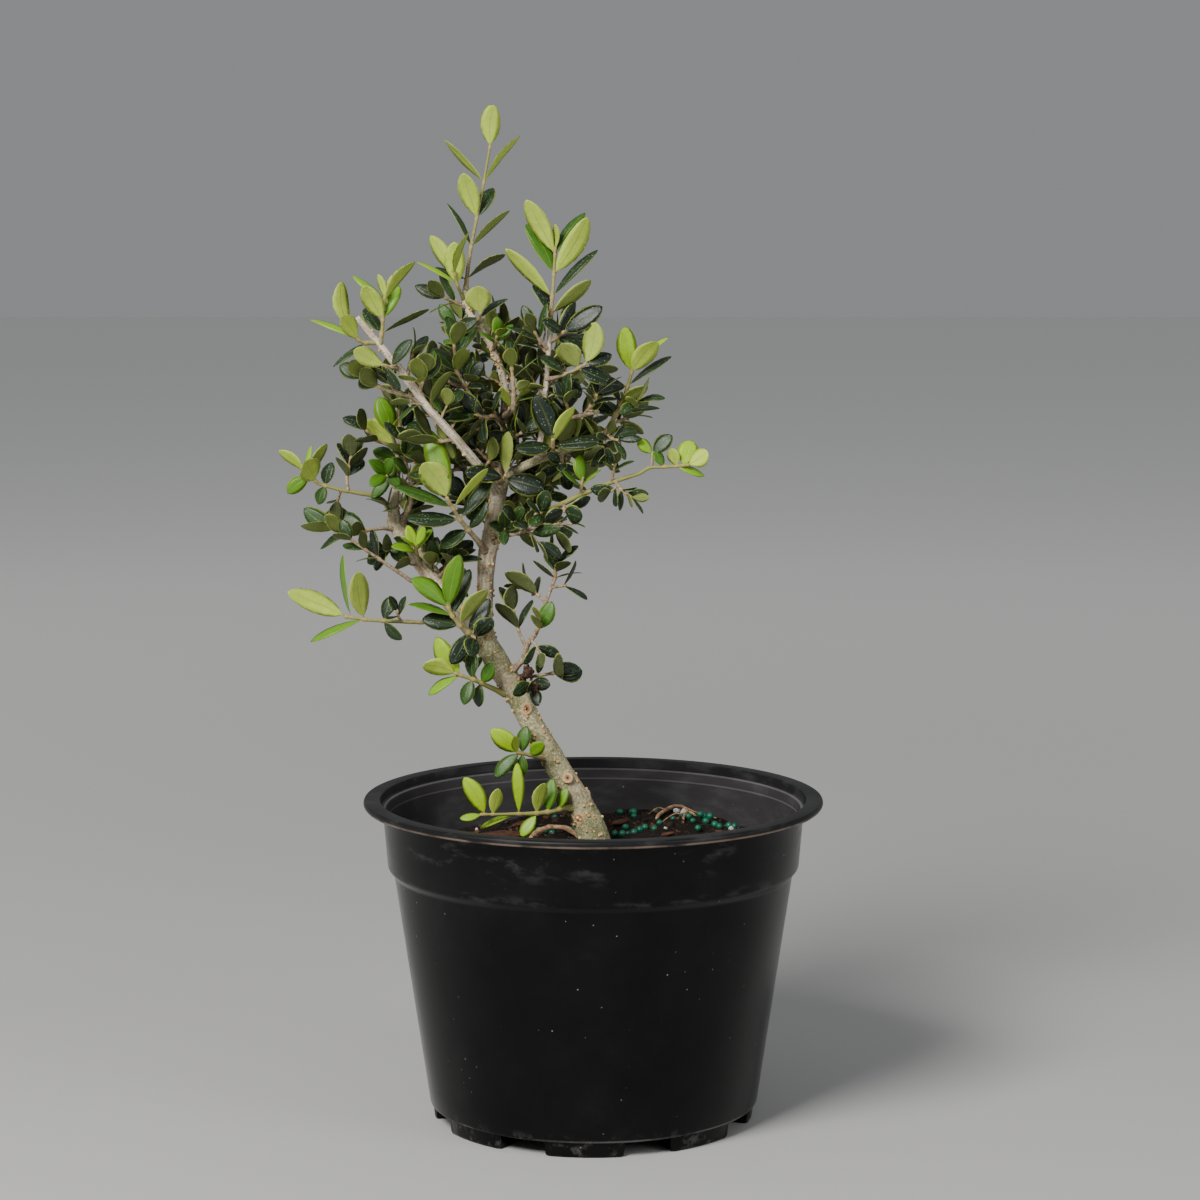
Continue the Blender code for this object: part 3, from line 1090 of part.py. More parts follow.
def make_root():
    """A dry root that surfaces behind the trunk."""
    root = root_tube("surface_root", ROOT)
    combine(root, [root_tube("root_fork", ROOT_FORK)])
    finish(root, (0.42, 0.28, 0.15), 0.85, smooth=50.0)


def make_soil(holes):
    """The filled pot: soil against the wall and floor, with plain holes for what stands in it."""
    sides = POT_SIDES
    ring_count = len(SOIL_RINGS) + len(SOIL_SIDE)
    verts = [Vector((0.0, 0.0, soil_height(0.0, 0.0)))]
    for radius in SOIL_RINGS:
        for step in range(sides):
            angle = FULL_TURN * step / sides
            x, y = radius * math.cos(angle), radius * math.sin(angle)
            verts.append(Vector((x, y, soil_height(x, y))))
    for radius, z in SOIL_SIDE:
        for step in range(sides):
            angle = FULL_TURN * step / sides
            verts.append(Vector((radius * math.cos(angle), radius * math.sin(angle), z)))
    faces = [(0, 1 + step, 1 + (step + 1) % sides) for step in range(sides)]
    for ring in range(ring_count - 1):
        for step in range(sides):
            a = 1 + ring * sides + step
            b = 1 + ring * sides + (step + 1) % sides
            faces.append((a, a + sides, b + sides, b))
    last = 1 + (ring_count - 1) * sides
    faces.append(tuple(last + step for step in range(sides - 1, -1, -1)))
    soil = new_object("soil", verts, faces)
    combine(soil, holes, "DIFFERENCE")
    finish(soil, (0.028, 0.016, 0.010), 0.95, smooth=50.0)
    return soil


def bough_line(name, extra=0.0):
    points = [place(x, depth, z) for x, depth, z, radius in BOUGHS[name]]
    return points, [radius + extra for x, depth, z, radius in BOUGHS[name]]


def make_wood():
    """The trunk and its boughs, grown together."""
    bodies = []
    for name in BOUGHS:
        points, radii = bough_line(name)
        bodies.append(new_object(name, *tube(points, radii, BOUGH_SIDES.get(name, THIN_SIDES))))
    wood = bodies[0]
    wood.name = "wood"
    combine(wood, bodies[1:])
    finish(wood, (0.36, 0.29, 0.18), 0.8, smooth=40.0)
    return wood


def foot_on(tree, path):
    """Where a stem meets the wood: its path starts a gap above the bark, cut to match it."""
    inside, outside = path[0], path[1]
    direction = (inside - outside).normalized()
    hit, normal, face, distance = tree.ray_cast(outside, direction, (inside - outside).length)
    if hit is None:
        return path, None
    slope = max(-direction.dot(normal), 0.35)
    start = hit - direction * (GAP / slope)
    if slope <= 0.35:
        normal = -direction
    return [start] + path[1:], normal


def mesh_tree(body):
    return BVHTree.FromPolygons([v.co / MM for v in body.data.vertices],
                                [tuple(p.vertices) for p in body.data.polygons])


def centre_on_box():
    """Move everything so that the world's origin is the middle of the whole box's underside."""
    spots = [vertex.co for body in bpy.data.objects for vertex in body.data.vertices]
    middle = [0.5 * (min(spot[i] for spot in spots) + max(spot[i] for spot in spots))
              for i in range(2)]
    for body in bpy.data.objects:
        body.data.transform(Matrix.Translation((-middle[0], -middle[1], 0.0)))


def main():
    for old in list(bpy.data.objects):
        bpy.data.objects.remove(old, do_unlink=True)
    pot = make_pot()
    wood = make_wood()
    make_root()
    points, radii = bough_line("trunk", HOLE_EXTRA)
    points[0] = points[0] - Vector((0, 0, GAP))
    holes = [new_object("trunk_hole", *tube(points[:4], radii[:4], BOUGH_SIDES["trunk"]))]
    holes += [root_tube("root_hole", run, HOLE_EXTRA) for run in (ROOT, ROOT_FORK)]
    soil = make_soil(holes)

    wood_tree = mesh_tree(wood)
    obstacles = [("wood", Vector((-40, 0, 250)), 400.0, wood_tree, False)]
    for body in (pot, soil):
        obstacles.append((body.name, Vector((0, 0, 70)), 130.0, mesh_tree(body), False))
    stems = []
    normals = []
    for name, rows in SPRAYS.items():
        for index, row in enumerate(rows):
            path = [place(*point) for point in row.path]
            normal = None
            if index == 0:
                path, normal = foot_on(wood_tree, path)
            line = Line(path)
            bare = leafy_stem(line, row.thick, [], normal)
            middle = sum(path, Vector()) / len(path)
            reach = max((point - middle).length for point in path) + 2.0
            obstacles.append((name, middle, reach, tree_of(bare), False))
            stems.append((name, line, row))
            normals.append(normal)
    grown = grow_leaves(stems, obstacles)
    for name, rows in SPRAYS.items():
        bodies = []
        for (other, line, row), normal, pairs in zip(stems, normals, grown):
            if other == name:
                # A leaf that would cross is joined on where it was set by hand, else left out
                shapes = clear_stem(line, row.thick, pairs, normal)
                kept = shapes if row.own else shapes[:1]
                bodies += [new_object(name, *shape) for shape in kept]
        spray = bodies[0]
        if bodies[1:]:
            combine(spray, bodies[1:])
        spray.name = name
        tone = next(tone for oldest, tone in LEAF_TONES if rows[0].age <= oldest)
        finish(spray, tone, 0.45, smooth=35.0)
    centre_on_box()


main()
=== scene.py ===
# %% [markdown]
# # An olive bonsai in its nursery pot
# A small olive tree grows in a black plastic nursery pot. Its solids come from the CAD model, as
# a fixed frame: faceted, plain, and at real size. This lesson dresses them. Each step takes one
# piece of the real plant, says what it is, and works its surface out from a formula.
#
# We measure in millimetres from the pot's axis, because a plant in a pot is easiest to think of
# that way, and turn to metres only when a mesh is made.

# %% Load the frame
import math
import random
from collections import namedtuple
from functools import partial

import bpy
import numpy as np
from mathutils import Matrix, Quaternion, Vector
from mathutils.bvhtree import BVHTree


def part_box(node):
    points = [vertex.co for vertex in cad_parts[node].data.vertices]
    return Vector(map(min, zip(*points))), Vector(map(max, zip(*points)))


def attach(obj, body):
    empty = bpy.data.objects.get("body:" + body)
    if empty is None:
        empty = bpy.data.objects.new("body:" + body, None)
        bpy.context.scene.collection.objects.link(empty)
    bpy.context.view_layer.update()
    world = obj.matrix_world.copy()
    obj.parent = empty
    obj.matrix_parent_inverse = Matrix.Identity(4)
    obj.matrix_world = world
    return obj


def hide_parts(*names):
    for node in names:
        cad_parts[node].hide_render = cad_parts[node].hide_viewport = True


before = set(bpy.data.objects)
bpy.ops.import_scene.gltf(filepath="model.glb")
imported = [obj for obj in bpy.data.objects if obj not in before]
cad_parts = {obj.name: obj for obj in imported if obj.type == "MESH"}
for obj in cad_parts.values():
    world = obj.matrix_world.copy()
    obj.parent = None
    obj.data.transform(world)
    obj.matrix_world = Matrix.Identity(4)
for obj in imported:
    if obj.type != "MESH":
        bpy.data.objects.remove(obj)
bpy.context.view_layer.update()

MM = 0.001
POT_BOX = [Vector(corner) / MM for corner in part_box("pot")]
AXIS = Vector((0.5 * (POT_BOX[0].x + POT_BOX[1].x), 0.5 * (POT_BOX[0].y + POT_BOX[1].y), 0.0))
print("pot axis in millimetres:", tuple(round(v, 3) for v in AXIS))

# %% [markdown]
# ## From arrays to meshes
# Every surface here is a numpy array of points and an array of faces. One helper turns such a
# pair into an object that sits at the origin, with its place in its mesh. A second one says
# which CAD nodes the piece stands for.


# %% Mesh helpers
def add_mesh(name, points, faces, materials, face_materials=None, uv=None, paint=None):
    """Make an object from points in millimetres; uv and paint hold one row for each point."""
    mesh = bpy.data.meshes.new(name)
    spots = (np.asarray(points, dtype=float) + np.array(AXIS)) * MM
    mesh.from_pydata(spots.tolist(), [], [list(map(int, face)) for face in faces])
    corners = np.empty(len(mesh.loops), dtype=np.int32)
    mesh.loops.foreach_get("vertex_index", corners)
    if uv is not None:
        layer = mesh.uv_layers.new(name="surface")
        layer.data.foreach_set("uv", np.asarray(uv, dtype=np.float32)[corners].ravel())
    if paint is not None:
        layer = mesh.attributes.new("paint", "FLOAT_COLOR", "POINT")
        layer.data.foreach_set("color", np.asarray(paint, dtype=np.float32).ravel())
    for material in materials:
        mesh.materials.append(material)
    if face_materials is not None:
        mesh.polygons.foreach_set("material_index", np.asarray(face_materials, dtype=np.int32))
    mesh.shade_smooth()
    piece = bpy.data.objects.new(name, mesh)
    bpy.context.scene.collection.objects.link(piece)
    return piece


def settle(piece, slot, *nodes):
    """Let a piece ride on the part's one body and stand for its CAD nodes; slot is not used."""
    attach(piece, "root")
    if nodes:
        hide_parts(*nodes)
    count = len(piece.data.polygons)
    print(f"{piece.name}: {count} faces" + (f", for {', '.join(nodes)}" if nodes else ""))


def bake_modifiers(piece):
    """Keep what the modifiers made as the piece's own mesh."""
    graph = bpy.context.evaluated_depsgraph_get()
    mesh = bpy.data.meshes.new_from_object(piece.evaluated_get(graph))
    piece.modifiers.clear()
    piece.data = mesh
    mesh.name = piece.name


def points_of(piece):
    """A piece's points in millimetres from the pot's axis, and its normals."""
    mesh = piece.data
    points = np.empty(len(mesh.vertices) * 3)
    mesh.vertices.foreach_get("co", points)
    normals = np.empty(len(mesh.vertices) * 3, dtype=np.float32)
    mesh.vertex_normals.foreach_get("vector", normals)
    return points.reshape(-1, 3) / MM - np.array(AXIS), normals.reshape(-1, 3)


def grid_faces(rows, columns, closed=False):
    """Quads between neighbouring rings of a grid; closed joins the last ring to the first."""
    row, column = np.meshgrid(np.arange(rows - (not closed)), np.arange(columns), indexing="ij")
    below = (row + 1) % rows * columns
    after = (column + 1) % columns
    return np.stack([row * columns + column, row * columns + after, below + after,
                     below + column], axis=-1).reshape(-1, 4)


# %% [markdown]
# ## Random grain
# Bark, soil and dust need grain that looks random and is the same each run. The usual answer is
# lattice noise: random values on a cubic lattice, blended smoothly between the corners. Blender's
# own noise works point by point, so ours is written for whole arrays.


# %% Lattice noise
def noise(points, size, seed=0):
    """Random values of -1 to 1 on a lattice of the given size, blended by 3t^2 - 2t^3."""
    spots = np.asarray(points) / size
    cell = np.floor(spots).astype(np.int64)
    share = spots - cell
    share = share * share * (3.0 - 2.0 * share)
    total = np.zeros(len(spots))
    for corner in np.ndindex(2, 2, 2):
        spot = cell + np.array(corner)
        mixed = spot[:, 0] * 73856093 ^ spot[:, 1] * 19349663 ^ spot[:, 2] * 83492791
        mixed = (mixed + seed * 7919) & 0x7FFFFFFF
        mixed = (mixed ^ (mixed >> 13)) * 1274126177 & 0x7FFFFFFF
        value = ((mixed ^ (mixed >> 16)) & 65535) / 32767.5 - 1.0
        total += value * np.prod(np.where(corner, share, 1.0 - share), axis=1)
    return total


print("noise near the axis:", noise(np.array([[0.2, 0.4, 0.6], [3.1, 4.1, 5.9]]), 2.0).round(3))

# %% [markdown]
# ## Writing materials as sums
# A material's nodes do arithmetic on whole surfaces. Written node by node, that is hard to read,
# so a socket is wrapped in a small class whose operators add the Math nodes for us. Colours go
# through Mix nodes, because a Math node would turn them grey.


# %% Material helpers
class Signal:
    """One value that varies over a surface, to be used in sums like a number."""

    def __init__(self, finish, socket):
        self.finish = finish
        self.socket = socket

    def sum(self, operation, *values):
        return self.finish.node("ShaderNodeMath", {"operation": operation},
                                dict(enumerate(values)))

    def __add__(self, other):
        return self.sum("ADD", self, other)

    def __sub__(self, other):
        return self.sum("SUBTRACT", self, other)

    def __mul__(self, other):
        return self.sum("MULTIPLY", self, other)

    def __truediv__(self, other):
        return self.sum("DIVIDE", self, other)

    def __pow__(self, other):
        return self.sum("POWER", self, other)

    def __radd__(self, other):
        return self.sum("ADD", other, self)

    def __rsub__(self, other):
        return self.sum("SUBTRACT", other, self)

    def __rmul__(self, other):
        return self.sum("MULTIPLY", other, self)

    def size(self):
        return self.sum("ABSOLUTE", self)

    def rise(self, low, high):
        """0 below low and 1 above high, blended smoothly between."""
        return self.finish.node("ShaderNodeMapRange", {"interpolation_type": "SMOOTHSTEP"},
                                {"Value": self, "From Min": low, "From Max": high})

    def fall(self, low, high):
        """1 below low and 0 above high."""
        return 1.0 - self.rise(low, high)

    def near(self, centre, low, high):
        """1 within low of a centre and 0 more than high away from it."""
        return (self - centre).size().fall(low, high)


class Finish:
    """A material with one Principled shader."""

    def __init__(self, name, **uniform):
        self.material = bpy.data.materials.new(name)
        self.material.use_nodes = True
        self.tree = self.material.node_tree
        self.shader = self.tree.nodes["Principled BSDF"]
        for socket, value in uniform.items():
            self.shader.inputs[socket.replace("_", " ")].default_value = value

    def put(self, socket, value):
        """Link a signal to a socket, or write a plain value into it."""
        if isinstance(value, Signal):
            self.tree.links.new(value.socket, socket)
        elif isinstance(value, tuple) and len(value) == 3 and socket.type == "RGBA":
            socket.default_value = (*value, 1.0)
        else:
            socket.default_value = value

    def node(self, kind, settings=None, sockets=None, output=0):
        """Add any node: its settings first, then the values or links of its sockets."""
        node = self.tree.nodes.new(kind)
        for setting, value in (settings or {}).items():
            setattr(node, setting, value)
        for socket, value in (sockets or {}).items():
            self.put(node.inputs[socket], value)
        return Signal(self, node.outputs[output])

    def place(self):
        """Where a point of the surface is, in metres."""
        return self.node("ShaderNodeTexCoord", output="Object")

    def paint(self):
        """The paint layer as four signals: red, green, blue and alpha."""
        layer = self.node("ShaderNodeAttribute", {"attribute_name": "paint"})
        return self.parts(layer) + [Signal(self, layer.socket.node.outputs["Alpha"])]

    def parts(self, vector):
        """The three parts of a vector or colour."""
        node = self.node("ShaderNodeSeparateXYZ", None, {0: vector}).socket.node
        return [Signal(self, socket) for socket in node.outputs]

    def grain(self, scale, detail=3.0, roughness=0.5, vector=None, stretch=None):
        """Cloudy noise from 0 to 1, with scale in clouds per metre."""
        vector = vector or self.place()
        if stretch:
            vector = self.node("ShaderNodeMapping", None, {"Vector": vector, "Scale": stretch})
        return self.node("ShaderNodeTexNoise", None, {"Vector": vector, "Scale": scale,
                                                      "Detail": detail, "Roughness": roughness})

    def specks(self, scale, vector=None):
        """Distance to the nearest of many scattered points, from 0 at a point."""
        return self.node("ShaderNodeTexVoronoi", None,
                         {"Vector": vector or self.place(), "Scale": scale})

    def ramp(self, value, stops):
        """Blend through stops of a position and a colour each."""
        colours = self.node("ShaderNodeValToRGB", None, {0: value})
        elements = colours.socket.node.color_ramp.elements
        while len(elements) < len(stops):
            elements.new(0.5)
        for element, (position, colour) in zip(elements, stops):
            element.position = position
            element.color = (*colour, 1.0)
        return colours

    def mix(self, factor, first, second):
        """Blend two colours."""
        return self.node("ShaderNodeMix", {"data_type": "RGBA"},
                         {0: factor, 6: first, 7: second}, output=2)

    def tint(self, colour, factor):
        """A colour made lighter or darker by a factor."""
        return self.node("ShaderNodeVectorMath", {"operation": "SCALE"},
                         {0: colour, "Scale": factor})

    def bump(self, height, distance, strength=1.0):
        """Relief from a height of 0 to 1; distance is its depth in metres."""
        bump = self.node("ShaderNodeBump", None,
                         {"Height": height, "Distance": distance, "Strength": strength})
        self.put(self.shader.inputs["Normal"], bump)

    def colour(self, value):
        self.put(self.shader.inputs["Base Color"], value)

    def roughness(self, value):
        self.put(self.shader.inputs["Roughness"], value)


# %% [markdown]
# ## Camera, floor and light
# The pot's rim is an ellipse in the picture, and how flat it is gives the camera's height: it
# looks down by about seven degrees from 1.4 m away. The light is a large soft lamp above and to
# the left and a weaker one on the right. The floor grows paler far off, where little of the
# lamps' light falls, so that it meets the grey of the room without a line.

# %% Camera and stage
EYE = Vector((2.95, -1400.0, 409.3))
LOOK_DOWN = 7.28
LENS = 96.6

camera_data = bpy.data.cameras.new("camera")
camera_data.lens = LENS
camera_data.sensor_width = 36.0
camera_data.clip_start = 0.01
camera = bpy.data.objects.new("camera", camera_data)
camera.location = (EYE + AXIS) * MM
camera.rotation_euler = (math.radians(90.0 - LOOK_DOWN), 0.0, 0.0)
bpy.context.scene.collection.objects.link(camera)
bpy.context.scene.camera = camera


def add_lamp(name, place, aim, size, power, tint=(1.0, 1.0, 1.0)):
    """A rectangular soft lamp that looks from its place at its aim, in metres."""
    data = bpy.data.lights.new(name, "AREA")
    data.shape = "RECTANGLE"
    data.size, data.size_y = size
    data.energy = power
    data.color = tint
    lamp = bpy.data.objects.new(name, data)
    lamp.location = place
    lamp.rotation_euler = (Vector(aim) - Vector(place)).to_track_quat("-Z", "Y").to_euler()
    bpy.context.scene.collection.objects.link(lamp)


add_lamp("key", (-0.8, -1.2, 1.4), (0.0, 0.0, 0.24), (0.7, 0.7), 50.0, (1.0, 0.985, 0.955))
add_lamp("fill", (1.5, -1.0, 0.8), (0.0, 0.0, 0.25), (0.8, 0.8), 9.0)

world = bpy.data.worlds.new("studio")
world.use_nodes = True
world.node_tree.nodes["Background"].inputs["Color"].default_value = (0.62, 0.63, 0.64, 1.0)
world.node_tree.nodes["Background"].inputs["Strength"].default_value = 0.42
bpy.context.scene.world = world

floor_finish = Finish("pale_floor", Roughness=0.9)
x, y, z = floor_finish.parts(floor_finish.place())
far_off = ((x ** 2 + y ** 2) ** 0.5).rise(0.3, 2.2)
floor_finish.colour(floor_finish.mix(far_off, (0.48, 0.48, 0.475), (0.93, 0.93, 0.92)))
FLOOR = 9000.0
floor = add_mesh("floor", [(-FLOOR, -FLOOR, 0), (FLOOR, -FLOOR, 0), (FLOOR, FLOOR, 0),
                           (-FLOOR, FLOOR, 0)], [(0, 1, 2, 3)], [floor_finish.material])
print("camera at", [round(v, 3) for v in camera.location], "with a lens of", LENS, "mm")

# %% [markdown]
# ## The pot
# The pot is one thin moulding of black plastic. It is turned, so one section carried round the
# axis makes it, and only the feet and the drain holes break the circle. The corners of a real
# moulding are never sharp: each one in the section is replaced by a small arc. A slow waviness
# of a tenth of a millimetre makes its reflections wander, as on the real thin wall.

# %% Section of the pot
FLOOR_TOP = 8.8
POT_SECTION = [
    (7.0, 6.8), (72.9, 6.8), (88.2, 110.0), (90.8, 113.0), (93.0, 139.4), (100.9, 139.9),
    (101.5, 141.4), (100.9, 143.0), (94.1, 143.0), (93.4, 139.3), (91.6, 138.9), (90.9, 134.3),
    (89.3, 113.3), (86.7, 109.7), (71.5, 8.8), (7.0, 8.8),
]
FILLETS = [0.3, 0.8, 0.9, 1.1, 0.6, 0.6, 0.9, 0.7, 0.6, 0.4, 0.4, 0.5, 0.8, 0.8, 3.0, 0.3]


def rounded(section, radii, steps=4):
    """Replace each corner by a curve: (1-t)^2 of one cut point, t^2 of the next, rest corner."""
    corners = np.array(section)
    before = np.roll(corners, 1, axis=0) - corners
    after = np.roll(corners, -1, axis=0) - corners
    t = np.linspace(0.0, 1.0, steps)[None, :, None]
    cuts = []
    for side in (before, after):
        length = np.linalg.norm(side, axis=1, keepdims=True)
        cuts.append(corners + side / length * np.minimum(np.array(radii)[:, None], 0.45 * length))
    first, last = cuts[0][:, None], cuts[1][:, None]
    curve = (1 - t) ** 2 * first + 2 * t * (1 - t) * corners[:, None] + t ** 2 * last
    return curve.reshape(-1, 2)


def lengthened(section, longest):
    """Add points to a closed section so that no step in it is longer than the given length."""
    found = []
    for a, b in zip(section, np.roll(section, -1, axis=0)):
        count = max(1, int(np.ceil(np.linalg.norm(b - a) / longest)))
        found.append(a + (b - a) * (np.arange(count) / count)[:, None])
    return np.concatenate(found)


def turned(section, sides):
    """Carry a closed section of (radius, height) round the axis: x = r cos a, y = r sin a."""
    angle = np.linspace(0.0, 2.0 * np.pi, sides, endpoint=False)[None, :]
    radius, height = section[:, :1], section[:, 1:]
    points = np.stack([radius * np.cos(angle), radius * np.sin(angle),
                       height + 0.0 * angle], axis=-1)
    return points.reshape(-1, 3)


section = lengthened(rounded(POT_SECTION, FILLETS), 9.0)
print("the pot's section has", len(section), "points")

# %% Feet of the pot
POT_TURNS = 144
FOOT_COUNT = 8
FOOT_TURN = -93.0
FOOT_INNER, FOOT_MIDDLE, FOOT_OUTER = 60.0, 66.0, 71.6
FOOT_HALF_ANGLE = 14.2


def foot(middle):
    """A foot: a block between two radii and two angles whose edges are drawn in at the bottom."""
    across = np.array([-1.0, -0.97, -0.9, -0.45, 0.0, 0.45, 0.9, 0.97, 1.0])
    rings = []
    for z, shrink in ((7.6, 0.0), (1.1, 0.5), (0.35, 0.75), (0.0, 1.35)):
        half = np.radians(FOOT_HALF_ANGLE) - shrink / FOOT_MIDDLE
        angle = middle + across * half
        drop = 0.6 * (np.abs(across) > 0.95)
        front, back = (np.stack([reach * np.cos(angle), reach * np.sin(angle)], axis=1)
                       for reach in (FOOT_OUTER - shrink - drop, FOOT_INNER + shrink))
        ring = np.concatenate([front, back[::-1]])
        rings.append(np.column_stack([ring, np.full(len(ring), z)]))
    points = np.concatenate(rings)
    sides = len(rings[0])
    faces = [face[::-1] for face in grid_faces(len(rings), sides).tolist()]
    faces += [list(range(sides)), list(range(len(points) - 1, len(points) - sides - 1, -1))]
    return points, faces


# %% [markdown]
# Black nursery plastic is nearly black and shiny outside, and dark grey and dry inside. Dust
# gathers on the lip, on the collar and inside, in smears that run round the pot, and stands on
# the wall as scattered pale specks. Edges are worn pale: the lip's, the wall's bottom edge and
# the feet's. The steps inside the mouth get pale lines that are partly wear and partly a painted
# highlight, the light their edges catch.

# %% Black plastic
plastic = Finish("black_plastic", Specular_IOR_Level=0.16)
x, y, z = plastic.parts(plastic.place())
height = z / MM
wide = ((x / MM - AXIS.x) ** 2 + (y / MM) ** 2) ** 0.5
cloud = plastic.grain(35.0, 5.0, 0.6)
smear = plastic.grain(60.0, 4.0, 0.6, stretch=(1.0, 1.0, 2.5))
lip = height.rise(138.6, 139.6)
inside = (0.08 * height + 81.0 - wide).rise(-0.2, 0.2) * height.rise(112.5, 114.0) * (1 - lip)
inner_rim = inside + lip * (95.0 - wide).rise(0.0, 1.0)
collar = height.rise(111.0, 114.0) * (1 - lip) * (1 - inside)
base = height.fall(3.0, 12.0)
patchy = plastic.grain(16.0, 3.0, 0.6).rise(0.46, 0.58)
dust = (0.60 * smear.rise(0.52, 0.70) * patchy * collar * height.rise(118.0, 136.0)
        + smear.rise(0.45, 0.72) * (0.30 * lip + 0.5 * inside)
        + 0.35 * collar * height.fall(113.0, 118.0) * smear.rise(0.48, 0.66)
        + cloud.rise(0.58, 0.8) * patchy * 0.05)
fine = plastic.specks(190.0)
fleck = fine.fall(0.045, 0.085) * plastic.grain(700.0, 1.0).rise(0.50, 0.58)
fleck = fleck * plastic.grain(28.0, 2.0).rise(0.40, 0.58)
# Pale lines along the two steps inside the mouth: partly wear, partly a painted highlight
steps = (height.near(138.8, 0.15, 0.55) * wide.near(91.8, 0.5, 1.1)
         + height.near(134.4, 0.15, 0.50) * wide.near(90.9, 0.5, 1.0))
ledge = height.near(7.2, 0.25, 0.9) * wide.rise(72.0, 72.6)
scuff = base * plastic.grain(130.0, 5.0, 0.7).rise(0.52, 0.68) * wide.rise(69.5, 71.5)
worn = wide.near(101.1, 0.2, 0.9) * height.near(140.3, 0.3, 0.9)
shade = plastic.mix(cloud.rise(0.3, 0.7), (0.0014, 0.0014, 0.0017), (0.0036, 0.0036, 0.0040))
shade = plastic.mix(lip * 0.8 + inner_rim * 0.3, shade, (0.011, 0.011, 0.012))
shade = plastic.mix(inside * (0.55 + 0.35 * smear), shade, (0.056, 0.052, 0.055))
shade = plastic.mix(dust, shade, (0.075, 0.075, 0.078))
shade = plastic.mix(fleck * 0.6, shade, (0.36, 0.35, 0.32))
shade = plastic.mix(scuff * 0.4, shade, (0.17, 0.165, 0.16))
shade = plastic.mix(ledge * cloud.rise(0.42, 0.62) * 0.5, shade, (0.20, 0.19, 0.18))
# The step lines: wear and a painted highlight along the step edges
shade = plastic.mix(steps * (0.3 + 0.6 * smear), shade, (0.15, 0.145, 0.14))
shade = plastic.mix(worn * smear.rise(0.25, 0.6) * 0.75, shade, (0.26, 0.19, 0.14))
plastic.colour(shade)
plastic.roughness(0.13 + 0.10 * cloud.rise(0.3, 0.75) + 0.24 * lip + 0.3 * inside
                  + 0.10 * collar * smear + 0.35 * dust + 0.3 * scuff)
plastic.bump(0.6 * smear + 0.4 * fleck + scuff * 0.6, 0.00012, 0.5)
print("black plastic has", len(plastic.tree.nodes), "nodes")

# %% Assemble the pot
wall = turned(section, POT_TURNS)
wave = noise(wall * [1.0, 1.0, 0.35], 26.0, 5) * 0.16
reach = np.maximum(np.hypot(wall[:, 0], wall[:, 1]), 1.0)
flex = wave * np.clip((reach - 60.0) / 12.0, 0.0, 1.0) * (wall[:, 2] < 141.0) - 0.05
wall[:, :2] *= (1.0 + flex / reach)[:, None]
shells = [(wall, grid_faces(len(section), POT_TURNS, True)[:, ::-1].tolist())]
for index in range(FOOT_COUNT):
    shells.append(foot(2.0 * math.pi * index / FOOT_COUNT + math.radians(FOOT_TURN)))


def joined(shells):
    """Put several (points, faces) shells into one pair of lists."""
    points, faces = [], []
    start = 0
    for spots, sides in shells:
        points.append(np.asarray(spots))
        faces += [[corner + start for corner in side] for side in sides]
        start += len(spots)
    return np.concatenate(points), faces


pot = add_mesh("nursery_pot", *joined(shells), [plastic.material])
pot.data.set_sharp_from_angle(angle=math.radians(50.0))

# %% Drain holes
HOLE_SIDES = 28
DRAINS = [(48.0 * math.cos(turn), 48.0 * math.sin(turn))
          for turn in (math.pi * (index + 0.5) / 2.0 for index in range(4))]


def drilled(piece, spots, radius, low, high):
    """Cut round holes through a piece with the manifold Boolean, which likes closed shells."""
    angle = np.linspace(0.0, 2.0 * np.pi, HOLE_SIDES, endpoint=False)
    rings = []
    for cx, cy in spots:
        ring = np.stack([cx + radius * np.cos(angle), cy + radius * np.sin(angle)], axis=1)
        points = np.concatenate([np.column_stack([ring, np.full(HOLE_SIDES, z)])
                                 for z in (low, high)])
        faces = grid_faces(2, HOLE_SIDES).tolist()
        faces += [list(range(HOLE_SIDES - 1, -1, -1)), list(range(HOLE_SIDES, 2 * HOLE_SIDES))]
        rings.append((points, faces))
    cutter = add_mesh("cutter", *joined(rings), [plastic.material])
    step = piece.modifiers.new("holes", "BOOLEAN")
    step.operation = "DIFFERENCE"
    step.solver = "MANIFOLD"
    step.object = cutter
    bake_modifiers(piece)
    bpy.data.objects.remove(cutter)


before = len(pot.data.polygons)
drilled(pot, DRAINS, radius=5.0, low=5.0, high=10.5)
print("drain holes took the pot from", before, "to", len(pot.data.polygons), "faces")
settle(pot, "pot", "pot")

# %% [markdown]
# ## The soil
# Bark-based potting soil is nearly black and crumbly. Its top is a disc of rings, raised by the
# CAD model's own slow mound and by finer lumps of noise. It is closed below, down to the pot's
# floor. Crumbs of bark, white perlite and green fertiliser beads lie on it: one small shape each,
# copied by arrays to hundreds of places.

# %% Soil surface
SOIL_LEVEL = 118.6
SOIL_EDGE = 89.0
GAP = 0.3
SOIL_SIDE = [(86.3, 109.6), (71.3, FLOOR_TOP + GAP)]
TRUNK_X, TRUNK_ROOM = 1.5, 9.5


def soil_height(x, y):
    """A mound behind the trunk on the right, a slope to the left and two trains of ripples."""
    mound = 4.5 * np.exp(-((x - 28.0) ** 2 + (y - 52.0) ** 2) / 900.0)
    slope = 0.035 * np.minimum(x, 0.0)
    lumps = 0.8 * np.sin(x / 7.3 + 1.3) * np.cos(y / 8.9) + 0.6 * np.sin(x / 4.1 - y / 5.3)
    return SOIL_LEVEL + mound + slope + lumps


